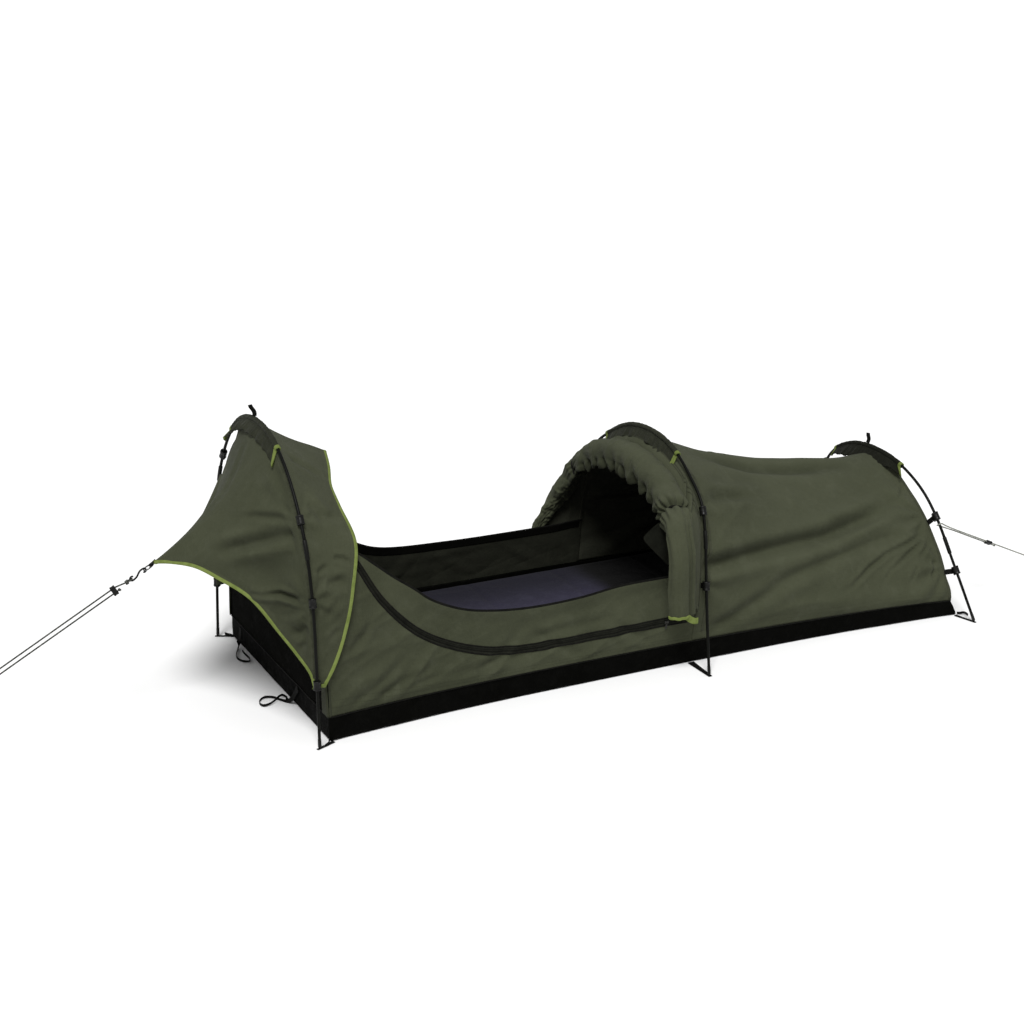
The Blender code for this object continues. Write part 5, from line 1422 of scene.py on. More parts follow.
# ------------------------------------------------------------ hood and awning
def hood():
    rows, cols = 260, 64
    low = 0.178
    arch = EDGE[EDGE[:, 1] >= low]
    half = by_length(arch, rows // 2 + 1)
    front = np.stack([head_x(half[:, 1], 0.006), half[:, 0], half[:, 1]], 1)
    back = by_length(smooth_curve(HOOD_EDGE, 12), rows // 2 + 1)
    s = np.linspace(0, 1, cols)
    far = front[:, None] + (back - front)[:, None] * s[None, :, None]
    near = far.copy()
    near[..., 1] *= -1
    gap = ease(front[:, 1] / 0.16) * ease((0.79 - front[:, 2]) / 0.05) * ease((front[:, 2] - 0.555) / 0.03)
    shift = unit(np.stack([0 * gap, -front[:, 1], 0.45 - front[:, 2]], 1)) * (0.030 * gap)[:, None]
    far = far + shift[:, None] * (1 - s)[None, :, None] ** 2
    P = np.concatenate([near, far[-2::-1]])
    n, _ = surface_normals(P)
    fade = edge_fade(P, 0.030, "c") * (0.35 + 0.65 * edge_fade(P, 0.05, "d")) * edge_fade(P, 0.03, "ab")
    S = P * np.array((1.0, 1.0, 1.0))
    d = fractal(S, (3.4, 3.0, 4.4), 3, 70) * 0.0070
    d += ridges(S @ rot2(0.9), (6.0, 3.0, 12.0), 71, 2.4) * 0.0036
    furrow = np.zeros_like(d)
    for side in (-1, 1):
        for i, c in enumerate(NEAR_CLIPS):
            q = c * np.array((1, -side, 1))
            d += star(P, q, 0.085, 7, 0.0060, 0.002, 0.8 * i + side, (0.2, side, 0.1))
        # creases by the rear edge and down to the lower tip
        for a, b, w, dep in (
            ((-1.075, 0.434, 0.30), (-1.012, 0.420, 0.335), 0.010, 0.0035),
            ((-1.082, 0.430, 0.36), (-0.995, 0.402, 0.425), 0.012, 0.0040),
            ((-1.080, 0.420, 0.45), (-0.985, 0.385, 0.470), 0.011, 0.0030),
            ((-1.060, 0.330, 0.64), (-0.970, 0.290, 0.600), 0.014, 0.0030),
            ((-1.070, 0.150, 0.765), (-0.95, 0.160, 0.670), 0.016, 0.0035),
            ((-1.088, 0.436, 0.25), (-1.060, 0.431, 0.262), 0.007, 0.0022),
            ((-1.082, 0.384, 0.488), (-1.037, 0.375, 0.503), 0.0085, 0.0032),
            ((-1.028, 0.366, 0.524), (-0.966, 0.379, 0.497), 0.0080, 0.0042),
            ((-1.062, 0.390, 0.458), (-0.975, 0.394, 0.446), 0.0160, 0.0042),
            ((-1.067, 0.281, 0.660), (-1.017, 0.313, 0.608), 0.0180, 0.0045),
        ):
            m = (tuple(np.array(a) * (1, side, 1)), tuple((np.array(a) + np.array(b)) / 2 * (1, side, 1) + np.array((0, 0, 0.006))), tuple(np.array(b) * (1, side, 1)))
            furrow += fold(P, m, w * 0.9, dep * 1.9, 0.2, 0.45)
    d += furrow
    P = P + n * (d * fade)[..., None]
    n, _ = surface_normals(P)
    # painted light and shade: the hood's folds and lower part are painted darker, its top paler
    top = cloth("hood_canvas", P, OLIVE, LINING, edges="cd", furrow=furrow - 0.005 * ease((0.50 - P[..., 2]) / 0.12) + 0.004 * ease((P[..., 2] - 0.60) / 0.08))
    put(top, "head_hoop", "hood", squash=HOOD_IN)
    edge = binding("hood_binding", P[:, -1], P[:, -4] - P[:, -1], n[:, -1], LIME, 0.0105, 0.0044)
    put(edge, "head_hoop", squash=HOOD_IN)
    col = cols - 9
    row = stitches("hood_edge_stitch", P[:, col], n[:, col], THREAD_DARK)
    put(row, "head_hoop", squash=HOOD_IN)
    return P


def awning():
    tip = np.array((-1.4330, 0.0, 0.4480))
    hem = smooth_curve(HEM_NEAR, 12)
    near_z = np.linspace(0.178, 0.56, 120)
    over = EDGE[EDGE[:, 1] >= 0.56]
    over = by_length(over, 70)
    top = np.concatenate([np.stack([-over[1:, 0], over[1:, 1]], 1), np.stack([over[-2::-1, 0], over[-2::-1, 1]], 1), [[float(np.interp(0.5525, EDGE[:, 1], EDGE[:, 0])), 0.5525], [float(np.interp(0.545, EDGE[:, 1], EDGE[:, 0])), 0.545]]])
    arch = np.concatenate([np.stack([-np.interp(near_z, EDGE[:, 1], EDGE[:, 0]), near_z], 1), top])
    A = np.stack([head_x(arch[:, 1], -0.006), arch[:, 0], arch[:, 1]], 1)
    r0 = np.concatenate([np.interp(near_z, hem[:, 0], hem[:, 1]), np.full(len(top), 0.012)])
    cols = 130
    s = np.linspace(0, 1, cols)
    r = r0[:, None] + (1 - r0)[:, None] * s[None]
    inner = ease(A[:, 1] / 0.16) * ease((0.79 - A[:, 2]) / 0.05) * ease((A[:, 2] - 0.555) / 0.03)
    A = A + unit(np.stack([0 * inner, -A[:, 1], 0.45 - A[:, 2]], 1)) * (0.030 * inner)[:, None]
    P = tip + (A - tip)[:, None] * r[..., None]
    base = P.copy()
    sag = np.interp(A[:, 1], [-0.34, -0.15, 0.0, 0.08, 0.16, 0.24, 0.30, 0.345, 0.375], [0.0, 0.018, 0.050, 0.066, 0.085, 0.090, 0.086, 0.062, 0.046])
    pulled_in = 0.012 * ease(A[:, 1] / 0.12) * ease((0.36 - A[:, 1]) / 0.05)
    bend = np.stack([0.003 * ease(A[:, 1] / 0.1), -pulled_in, -sag], 1)
    P += bend[:, None] * np.sin(math.pi * s)[None, :, None]
    n, _ = surface_normals(P)
    away = np.linalg.norm(P - tip, axis=-1)
    fade = edge_fade(P, 0.03, "d") * edge_fade(P, 0.05, "c") * edge_fade(P, 0.05, "b") * ease(away / 0.22)
    d = fractal(P, (3.0, 2.6, 3.4), 3, 80) * 0.0070 - 0.006 * np.sin(math.pi * r) ** 2
    spread = np.arctan2(P[..., 1] - tip[1], (P[..., 2] - tip[2]) * 0.8 + 0.35)
    d += 0.0034 * np.cos(spread * 17 + 0.6) * ease((0.33 - away) / 0.2) * ease(away / 0.08)
    for side in (-1, 1):
        for i, c in enumerate(NEAR_CLIPS):
            q = c * np.array((1, -side, 1))
            d += star(base, q, 0.110, 7, 0.0070, 0.002, 1.1 * i + side, (-0.4, side, 0.2))
    furrow = np.zeros_like(d)
    for line, w, dep, a, b in AWNING_FOLDS:
        furrow += fold(base, line, w, dep * 1.35, a, b)
    d += furrow
    P = P + n * (d * fade)[..., None]
    n, _ = surface_normals(P)
    # painted shade: the whole awning a little darker and deeper in its folds, with a painted shadow on the near side
    # next to the pole
    shadow = 0.006 * (1 - s)[None, ::-1] * np.clip(1.6 - 3.0 * np.abs(A[:, 1] + 0.30), 0, 1)[:, None]
    sheet = cloth("awning_canvas", P, OLIVE, LINING, edges="cd", furrow=furrow - 0.009 - 1.4 * shadow)
    put(sheet, "head_hoop", "awning")
    join = HOOD[0, -1]
    hem_line = np.vstack([[join * (1, 1, 1) + (0.0, -0.0015, -0.001)], [(join + P[0, 0]) / 2 + (0, -0.004, -0.0015)], P[:122, 0]])
    hem_in = np.vstack([(P[0, 4] - P[0, 0])[None], (P[0, 4] - P[0, 0])[None], P[:122, 4] - P[:122, 0]])
    hem_in[:2] = (0, 0, 0.02)
    rim = binding("awning_binding_near", hem_line, hem_in, np.vstack([n[:1, 0], n[:1, 0], n[:122, 0]]), LIME, 0.0105, 0.0044)
    put(rim, "head_hoop")
    col = 8
    # far hem, along the last row, then the narrow strip down the far leg
    far = P[-1, :-3]
    rim = binding("awning_binding_far", far, P[-4, :-3] - far, n[-1, :-3], LIME, 0.0105, 0.0044)
    put(rim, "head_hoop")
    zs = np.linspace(0.548, 0.178, 110)
    a = np.stack([head_x(zs, -0.006), np.interp(zs, EDGE[:, 1], EDGE[:, 0]), zs], 1)
    ks = np.linspace(0.95, 1.0, 8)
    strip = tip + (a - tip)[:, None] * ks[None, :, None]
    narrow = ease((zs - 0.178) / 0.10)[:, None]
    strip = a[:, None] + (strip - a[:, None]) * (0.35 + 0.65 * narrow)[..., None]
    m, _ = surface_normals(strip)
    # seam where hood and awning meet under the pole, with its felled edge
    seam = np.stack([head_x(EDGE[:, 1]), EDGE[:, 0], EDGE[:, 1]], 1)
    seam = seam[seam[:, 2] >= 0.178]
    gap = ease(seam[:, 1] / 0.16) * ease((0.79 - seam[:, 2]) / 0.05) * ease((seam[:, 2] - 0.555) / 0.03)
    shifted = seam + unit(np.stack([0 * gap, -seam[:, 1], 0.45 - seam[:, 2]], 1)) * (0.030 * gap)[:, None]
    seam = np.concatenate([seam * (1, -1, 1), shifted[-2::-1]])
    seam = by_length(seam, 420)
    felled = tape("hood_seam", seam + 0.0, (1, 0, 0), 0.0135, 0.0038, OLIVE_DARK)
    put(felled, "head_hoop")
    return P


AWNING_FOLDS = [
    ([(-1.122, -0.318, 0.594), (-1.193, -0.247, 0.560), (-1.254, -0.186, 0.532), (-1.308, -0.122, 0.492)], 0.019, 0.0115, 0.04, 0.40),
    ([(-1.112, -0.350, 0.520), (-1.180, -0.285, 0.485), (-1.270, -0.165, 0.465)], 0.036, 0.0070, 0.20, 0.40),
    ([(-1.228, -0.245, 0.410), (-1.195, -0.282, 0.414), (-1.166, -0.328, 0.427), (-1.146, -0.361, 0.423), (-1.119, -0.396, 0.411)], 0.0085, 0.0110, 0.08, 0.25),
    ([(-1.118, -0.408, 0.345), (-1.135, -0.382, 0.326), (-1.160, -0.358, 0.325)], 0.014, 0.0085, 0.10, 0.50),
    ([(-1.126, -0.292, 0.629), (-1.158, -0.253, 0.627), (-1.194, -0.202, 0.623), (-1.232, -0.152, 0.607)], 0.010, 0.0050, 0.10, 0.50),
    ([(-1.135, 0.010, 0.785), (-1.183, -0.023, 0.728), (-1.224, -0.041, 0.666), (-1.300, -0.030, 0.570)], 0.014, 0.0020, 0.10, 0.50),
    ([(-1.115, -0.175, 0.753), (-1.115, -0.245, 0.702), (-1.109, -0.297, 0.654)], 0.018, 0.0060, 0.20, 0.20),
    ([(-1.122, -0.400, 0.400), (-1.160, -0.365, 0.375), (-1.190, -0.330, 0.360)], 0.009, 0.0050, 0.10, 0.50),
    ([(-1.150, -0.385, 0.270), (-1.130, -0.400, 0.300), (-1.118, -0.408, 0.335)], 0.009, 0.0045, 0.50, 0.10),
]
HOOD = hood()
AWNING = awning()


# ------------------------------------------------------------ canopy over the legs
RIDGE_LINE = smooth_curve(RIDGE, 24)
CANOPY_FOLDS = [
    ([(0.13, -0.378, 0.300), (0.254, -0.373, 0.306), (0.435, -0.354, 0.312), (0.633, -0.312, 0.309), (0.837, -0.251, 0.326), (0.971, -0.211, 0.329), (1.040, -0.190, 0.338)], 0.024, 0.0160, 0.05, 0.30),
    ([(0.300, -0.380, 0.190), (0.458, -0.364, 0.212), (0.639, -0.336, 0.234), (0.816, -0.303, 0.254), (0.985, -0.288, 0.267)], 0.020, 0.0085, 0.30, 0.25),
    ([(1.020, -0.300, 0.250), (0.943, -0.321, 0.234), (0.844, -0.339, 0.218), (0.763, -0.366, 0.193), (0.686, -0.390, 0.149), (0.622, -0.393, 0.133)], 0.0075, 0.0070, 0.10, 0.40),
    ([(1.015, -0.312, 0.240), (0.940, -0.342, 0.213), (0.840, -0.379, 0.176), (0.796, -0.385, 0.128)], 0.0065, 0.0058, 0.10, 0.45),
    ([(1.018, -0.320, 0.228), (0.946, -0.374, 0.185), (0.913, -0.386, 0.137), (0.896, -0.397, 0.115)], 0.0060, 0.0050, 0.10, 0.45),
    ([(1.015, -0.360, 0.186), (0.999, -0.384, 0.141), (0.980, -0.405, 0.104)], 0.0060, 0.0042, 0.10, 0.50),
    ([(0.160, -0.379, 0.088), (0.261, -0.384, 0.126), (0.336, -0.386, 0.160), (0.440, -0.372, 0.196), (0.560, -0.352, 0.222)], 0.020, 0.0062, 0.15, 0.50),
    ([(0.200, -0.065, 0.572), (0.330, -0.068, 0.540), (0.471, -0.072, 0.494), (0.635, -0.066, 0.452), (0.820, -0.052, 0.430), (0.950, -0.045, 0.422)], 0.032, 0.0115, 0.40, 0.40),
    ([(0.206, -0.289, 0.489), (0.281, -0.265, 0.476), (0.375, -0.243, 0.461), (0.474, -0.215, 0.440)], 0.020, 0.0085, 0.20, 0.60),
    ([(1.030, -0.150, 0.366), (1.000, -0.185, 0.352), (0.964, -0.213, 0.328)], 0.0060, 0.0045, 0.20, 0.40),
    ([(0.700, -0.310, 0.300), (0.820, -0.270, 0.305), (0.950, -0.230, 0.310)], 0.009, 0.0035, 0.35, 0.40),
]


def foot_canopy():
    mid = by_length(half_curve(MID_SKIN, 24), 90)
    foot = by_length(half_curve(FOOT_SKIN, 24), 90)
    us = np.linspace(0, 1, 240)
    rows = []
    for u in us:
        x = 0.104 + u * (1.0735 - 0.104)
        line = mid + (foot - mid) * ease(u) ** 0.85
        want = float(np.interp(x - 0.045 * u + 0.062 * (1 - u), RIDGE_LINE[:, 0], RIDGE_LINE[:, 1]))
        low = float(seam_top(x)) + 0.0016
        z0, z1 = line[0, 1], line[-1, 1]
        y, z = line[:, 0], line[:, 1]
        zz = low + (z - z0) * (want - low) / (z1 - z0)
        yy = np.where(z - z0 > 0.08, y, half_width(x) + (y - half_width(x)) * ease((z - z0) / 0.08))
        end = np.interp(zz, [q[0] for q in FOOT_EDGE], [q[1] for q in FOOT_EDGE])
        yy = yy * (1 - 0.022 * ease((x - 0.93) / 0.13) * ease((0.12 - zz) / 0.07))
        row = np.stack([(0.104 + 0.103 * zz) * (1 - u) + end * u, yy, zz], 1)
        rows.append(np.concatenate([row * (1, -1, 1), row[-2::-1]]))
    P = np.array(rows)
    n, _ = surface_normals(P)
    fade = edge_fade(P, 0.022, "a") * edge_fade(P, 0.02, "cd") * (0.25 + 0.75 * edge_fade(P, 0.05, "b"))
    d = fractal(P, (2.2, 3.0, 4.0), 3, 90) * 0.0080
    d += ridges(P @ rot2(-0.10), (2.2, 3.0, 10.0), 91, 2.4) * 0.0038
    furrow = np.zeros_like(d)
    # painted shade in the canopy's folds, strongest along the ridge
    fold_shade = np.zeros_like(d)
    body = np.sin(math.pi * us)[:, None]
    lift = np.clip((P[..., 2] - 0.08) / 0.25, 0, 1)
    d -= 0.004 * body * lift
    for side in (-1, 1):
        for line, w, dep, a, b in CANOPY_FOLDS:
            q = [(x + (0.03 if side > 0 else 0), -side * y, z) for x, y, z in line]
            part = fold(P, q, w, dep * (1.4 if side < 0 else 1.1), a, b)
            furrow += part
            fold_shade += part * (2.4 if line[0][2] > 0.55 else 0.92)
        for z, x, y in ((0.290, 1.040, 0.262), (0.150, 1.043, 0.376)):
            d += star(P, (x, side * y, z), 0.13, 9, 0.0085, 0.0, 0.4 + z * 9, (0.1, side, 0.35))
        for z, x, y in ((0.470, 0.158, 0.330), (0.257, 0.137, 0.384)):
            d += star(P, (x, side * y, z), 0.09, 7, 0.0055, 0.0, 1.3 + z * 7, (0.0, side, 0.2))
    d += furrow
    P = P + n * (d * fade)[..., None]
    n, _ = surface_normals(P)
    cover = cloth("canopy_canvas", P, OLIVE, TUNNEL_LINING_PAINTED_LIGHT, edges="b", furrow=fold_shade)
    put(cover, "base", "foot_canopy", blend=("leg_cover", world((0.6, 0, -0.02)), world((0.6, 0, 0.72))))
    both = ("leg_cover", world((0.6, 0, -0.02)), world((0.6, 0, 0.72)))
    # stitch lines: over the tub, along the foot edge, along the mid arch
    C = P.shape[1]
    for i, j in enumerate((3, 5, C - 4, C - 6)):
        row = stitches(f"canopy_seam_{i + 1}", P[:, j], n[:, j], THREAD_DARK)
        put(row, "base", blend=both)
    hem = binding("canopy_foot_hem", P[-1, 1:-1], P[-4, 1:-1] - P[-1, 1:-1], n[-1, 1:-1], OLIVE_DARK, 0.0120, 0.0040)
    put(hem, "base", blend=both)
    for k, j in enumerate((4,)):
        row = stitches(f"canopy_mid_stitch_{k + 1}", P[j, 4:-4], n[j, 4:-4], THREAD_DARK)
        put(row, "base", blend=both)
    # felled seam beside the middle arch
    j = 9
    band = tape("canopy_mid_seam", P[j, 3:-3] + n[j, 3:-3] * 0.0004, P[j + 1, 3:-3] - P[j, 3:-3], 0.0095, 0.0022, OLIVE_DARK)
    put(band, "base", blend=both)
    return P


def foot_panel(edge):
    pts = np.array(edge)
    mid_z = 0.22
    out = []
    for x, y, z in pts:
        k = 1 - 0.009 / max(math.hypot(y, z - mid_z), 0.05)
        zz = mid_z + (z - mid_z) * k if z > 0.09 else z
        out.append((y * (k if z > 0.09 else 1 - 0.009 / 0.425), zz))
    out = np.array(out)
    half = out[len(out) // 2 :][::-1]
    order = np.argsort(half[:, 1])
    half = half[order]
    low = float(half[0, 1])
    zs = np.concatenate([np.linspace(low, 0.35, 70), np.linspace(0.354, float(half[-1, 1]) - 0.0006, 18)])
    w = np.interp(zs, half[:, 1], half[:, 0])
    Y = w[:, None] * np.linspace(-1, 1, 120)[None]
    Z = np.broadcast_to(zs[:, None], Y.shape)
    X = np.interp(Z, [q[0] for q in FOOT_EDGE], [q[1] for q in FOOT_EDGE]) + 0.0011
    P = np.stack([X, Y, Z], -1)
    d = fractal(P, (1.0, 3.4, 4.4), 3, 110) * 0.006 + ridges(P, (1.0, 5.0, 9.0), 111, 2.2) * 0.0025
    d += fold(P, [(1.06, -0.36, 0.10), (1.05, -0.22, 0.16), (1.04, -0.05, 0.20)], 0.022, 0.006, 0.2, 0.5)
    d += fold(P, [(1.06, 0.37, 0.09), (1.05, 0.20, 0.13), (1.04, 0.02, 0.15)], 0.020, 0.005, 0.2, 0.5)
    P[..., 0] += (d - 0.003) * edge_fade(P, 0.05)
    panel = cloth("foot_panel", P, OLIVE, TUNNEL_LINING_PAINTED_LIGHT, flip=False if surface_normals(P, False)[0][..., 0].mean() > 0 else True)
    put(panel, "base", "foot_wall", blend=("leg_cover", world((0.6, 0, -0.02)), world((0.6, 0, 0.72))))


CANOPY = foot_canopy()
foot_panel(CANOPY[-1])


# ------------------------------------------------------------ poles
def poles(name):
    line, leg = LINES[name], HOOPS[name]["leg"]
    sides = 20
    for side, start in (("near", 0.0), ("far", line.length)):
        sign = 1 if start == 0.0 else -1
        rings = [(-POLE_R * math.cos(w), POLE_R * math.sin(w)) for w in np.linspace(0.2, 1.45, 6)]
        rings += [(s, POLE_R) for s in np.linspace(0.0, 0.022, 4)]
        rings += [(0.0225, POLE_R * 0.93)] + [(s, POLE_R * 0.93) for s in np.linspace(0.024, leg - 0.0006, 60)]
        ss = [start + sign * s for s, _ in rings]
        p, a, b, t = line.frames(ss)
        section = circle(1.0, sides)[None] * np.array([r for _, r in rings])[:, None, None]
        rod = sweep(f"pole_{name}_{side}", p, a, b, section, POLE)
        put(rod, f"{name}_hoop", f"{name}_pole_{side}")
        # moulded tip
        tip = [(-POLE_R * 1.02 * math.cos(w), POLE_R * 1.04 * math.sin(w)) for w in np.linspace(0.25, 1.5, 6)] + [(0.0, POLE_R * 1.05), (0.017, POLE_R * 1.05), (0.018, POLE_R * 1.0)]
        ss = [start + sign * (s - 0.0001) for s, _ in tip]
        p, a, b, t = line.frames(ss)
        section = circle(1.0, sides)[None] * np.array([r for _, r in tip])[:, None, None]
        cap = sweep(f"pole_tip_{name}_{side}", p, a, b, section, BLACK)
        put(cap, f"{name}_hoop")
    half = FERRULE_LEN / 2
    a0, b0 = leg, line.length - leg
    r = POLE_R
    rings = [(a0 - half, r * 1.01), (a0 - half, FERRULE_R * 0.95), (a0 - half + 0.0012, FERRULE_R), (a0 + half - 0.0012, FERRULE_R), (a0 + half, FERRULE_R * 0.93), (a0 + half, r * 1.01)]
    for i, (c, nm) in enumerate(((a0, "near"), (b0, "far"))):
        rings = [(c - half, r * 0.98), (c - half, FERRULE_R * 0.94), (c - half + 0.0014, FERRULE_R), (c - 0.004, FERRULE_R), (c, FERRULE_R * 0.985), (c + 0.004, FERRULE_R), (c + half - 0.0014, FERRULE_R), (c + half, FERRULE_R * 0.94), (c + half, r * 0.98)]
        ss = [s for s, _ in rings]
        p, a, b, t = line.frames(ss)
        section = circle(1.0, sides)[None] * np.array([q for _, q in rings])[:, None, None]
        V = (p[:, None] + a[:, None] * section[..., :1] + b[:, None] * section[..., 1:]).reshape(-1, 3)
        flip = float((np.cross(a, b) * t).sum()) < 0
        F = [tuple(f) for f in quads(len(rings), sides, wrap_c=True, flip=flip)]
        F += [tuple(range(sides)) if flip else tuple(range(sides))[::-1], tuple((len(rings) - 1) * sides + k for k in range(sides))[:: -1 if flip else 1]]
        u = np.tile(np.linspace(0, 0.036, sides), len(rings))
        v = np.repeat(np.array(ss) - ss[0], sides)
        joint = make(f"pole_ferrule_{name}_{nm}", V, F, [FERRULE], None, np.stack([u, v], 1))
        put(joint, f"{name}_hoop")
    ss = np.linspace(a0 + half - 0.002, b0 - half + 0.002, 150)
    p, a, b, t = line.frames(ss)
    rod = sweep(f"pole_{name}_top", p, a, b, circle(POLE_R * 0.965, sides), POLE)
    put(rod, f"{name}_hoop", f"{name}_pole_top")


def keyhole_loop(outer, bore, tail, half_thick, n_arc=22, n_tail=9, n_all=None):
    """Matching outer and inner loops: a ring round the pole with a flat tail. Returns points as (along the tail, across)."""
    open_w = math.asin(min(half_thick / outer, 0.9))
    w = np.linspace(open_w, 2 * math.pi - open_w, n_arc)
    out = [(outer * math.cos(a), outer * math.sin(a)) for a in w]
    far = tail
    down = np.linspace(outer * 1.1, far, n_tail)
    out += [(x, -half_thick) for x in down] + [(x, half_thick) for x in down[::-1]]
    m = len(out)
    rest = m - n_arc
    w2 = list(w) + list(np.linspace(-open_w * 0.8, open_w * 0.8, rest))
    inner = [(bore * math.cos(a), bore * math.sin(a)) for a in w2]
    return np.array(out), np.array(inner)


def keyhole_solid(name, p, a, b, way, sizes, mat, gather=None, skew=None):
    """A sleeve or clip: sizes are (outer, bore, tail, half thickness) at each frame."""
    rows_out, rows_in = [], []
    for i in range(len(p)):
        outer, bore, tail, half = sizes[i]
        o, q = keyhole_loop(outer, bore, tail, half)
        d = unit(a[i] * way[0] + b[i] * way[1])
        e = unit(a[i] * -way[1] + b[i] * way[0])
        if gather is not None:
            x = np.clip((o[:, 0] - outer) / max(tail - outer, 1e-6), 0, 1)
            o = o.copy()
            o[:, 1] += gather[i] * x
        rows_out.append(p[i] + o[:, :1] * d + o[:, 1:] * e)
        if skew is not None:
            x = np.clip((o[:, 0] - outer) / max(tail - outer, 1e-6), 0, 1)
            rows_out[-1] = rows_out[-1] + np.cross(a[i], b[i]) * (skew[i] * x)[:, None]
        rows_in.append(p[i] + q[:, :1] * d + q[:, 1:] * e)
    O, I = np.array(rows_out), np.array(rows_in)
    N, K = O.shape[:2]
    m = N * K
    verts = np.vstack([O.reshape(-1, 3), I.reshape(-1, 3)])
    faces = [*quads(N, K, wrap_c=True), *quads(N, K, start=m, wrap_c=True, flip=True)]
    for k in range(K):
        k2 = (k + 1) % K
        faces.append((k, m + k, m + k2, k2))
        q = (N - 1) * K
        faces.append((q + k, q + k2, m + q + k2, m + q + k))
    faces = [tuple(int(i) for i in f) for f in faces]
    around = np.concatenate([[0], np.cumsum(np.linalg.norm(np.diff(O[N // 2], axis=0), axis=1))])
    along = np.concatenate([[0], np.cumsum(np.linalg.norm(np.diff(p, axis=0), axis=1))])
    uv = np.stack(np.meshgrid(around, along), -1).reshape(-1, 2)
    obj = make(name, verts, faces, [mat], None, np.vstack([uv, uv]), np.full(len(verts), 1.0))
    fix_normals(obj)
    return obj


def fix_normals(obj):
    import bmesh

    made = bmesh.new()
    made.from_mesh(obj.data)
    bmesh.ops.recalc_face_normals(made, faces=made.faces)
    if made.calc_volume(signed=True) < 0:
        bmesh.ops.reverse_faces(made, faces=made.faces)
    made.to_mesh(obj.data)
    made.free()


def sleeve(name):
    line = LINES[name]
    far_y, near_y, length, way, end_tail, end_skew = SLEEVES[name]
    s0, s1 = line.at_y(near_y), line.at_y(far_y)
    n = 210
    ss = np.linspace(s0, s1, n)
    p, a, b, t = line.frames(ss)
    k = np.arange(n)
    near = ease(1 - k / (n * 0.42))
    far = ease(1 - (n - 1 - k) / (n * 0.30))
    tail = length + (end_tail - length) * np.maximum(near, far)
    turned = np.sign(np.sum(np.cross(a, b) * t, axis=1))
    skew = turned * (-end_skew * near + end_skew * 0.4 * far)
    wig = np.stack([ss * 1.0, 0 * ss, 0 * ss], 1)
    puff = 0.0009 * noise(wig, 70.0, 5) + 0.0007 * noise(wig, 160.0, 6)
    gather = 0.0070 * noise(wig, 42.0, 8) + 0.0044 * noise(wig, 95.0, 9)
    sizes = [(0.0078 + puff[i], 0.0054, tail[i] + 0.0012 * math.sin(ss[i] * 160), 0.0016) for i in range(n)]
    cover = keyhole_solid(f"sleeve_{name}", p, a, b, way, sizes, SLEEVE_SHADED if name == "foot" else SLEEVE, gather=gather, skew=skew)
    put(cover, f"{name}_hoop", f"{name}_sleeve")
    for tag, centre, sign in (("near", s0, 1), ("far", s1, -1)):
        ee = np.linspace(centre - sign * 0.0014, centre + sign * 0.0100, 9)
        p2, a2, b2, _ = line.frames(ee)
        g = np.interp(ee, ss, gather)
        sz = [(0.0088, 0.0053, float(np.interp(q, ss, tail)) + 0.0014, 0.0034) for q in ee]
        end = keyhole_solid(f"sleeve_{name}_end_{tag}", p2, a2, b2, way, sz, LIME, gather=g, skew=np.interp(ee, ss, skew))
        put(end, f"{name}_hoop")
    # a stitch line above the hem
    d = unit(a * way[0] + b * way[1])
    e = unit(a * -way[1] + b * way[0])
    side = -1 if float((e[n // 2] * np.array((-1, -1, 0.2))).sum()) < 0 else 1
    x = 0.0125
    pts = p + d * x + e * side * (0.0018 + 0 * ss)[:, None]
    row = stitches(f"sleeve_{name}_stitch", pts[3:-3], e[3:-3] * side, THREAD)
    put(row, f"{name}_hoop")


def ray_gap(p, d, line2d):
    best = None
    for a, b in zip(line2d[:-1], line2d[1:]):
        m = np.array([[d[0], a[0] - b[0]], [d[1], a[1] - b[1]]])
        if abs(np.linalg.det(m)) < 1e-12:
            continue
        t, u = np.linalg.solve(m, np.array([a[0] - p[0], a[1] - p[1]]))
        if t > 0 and -1e-6 <= u <= 1 + 1e-6:
            best = t if best is None else min(best, t)
    return best


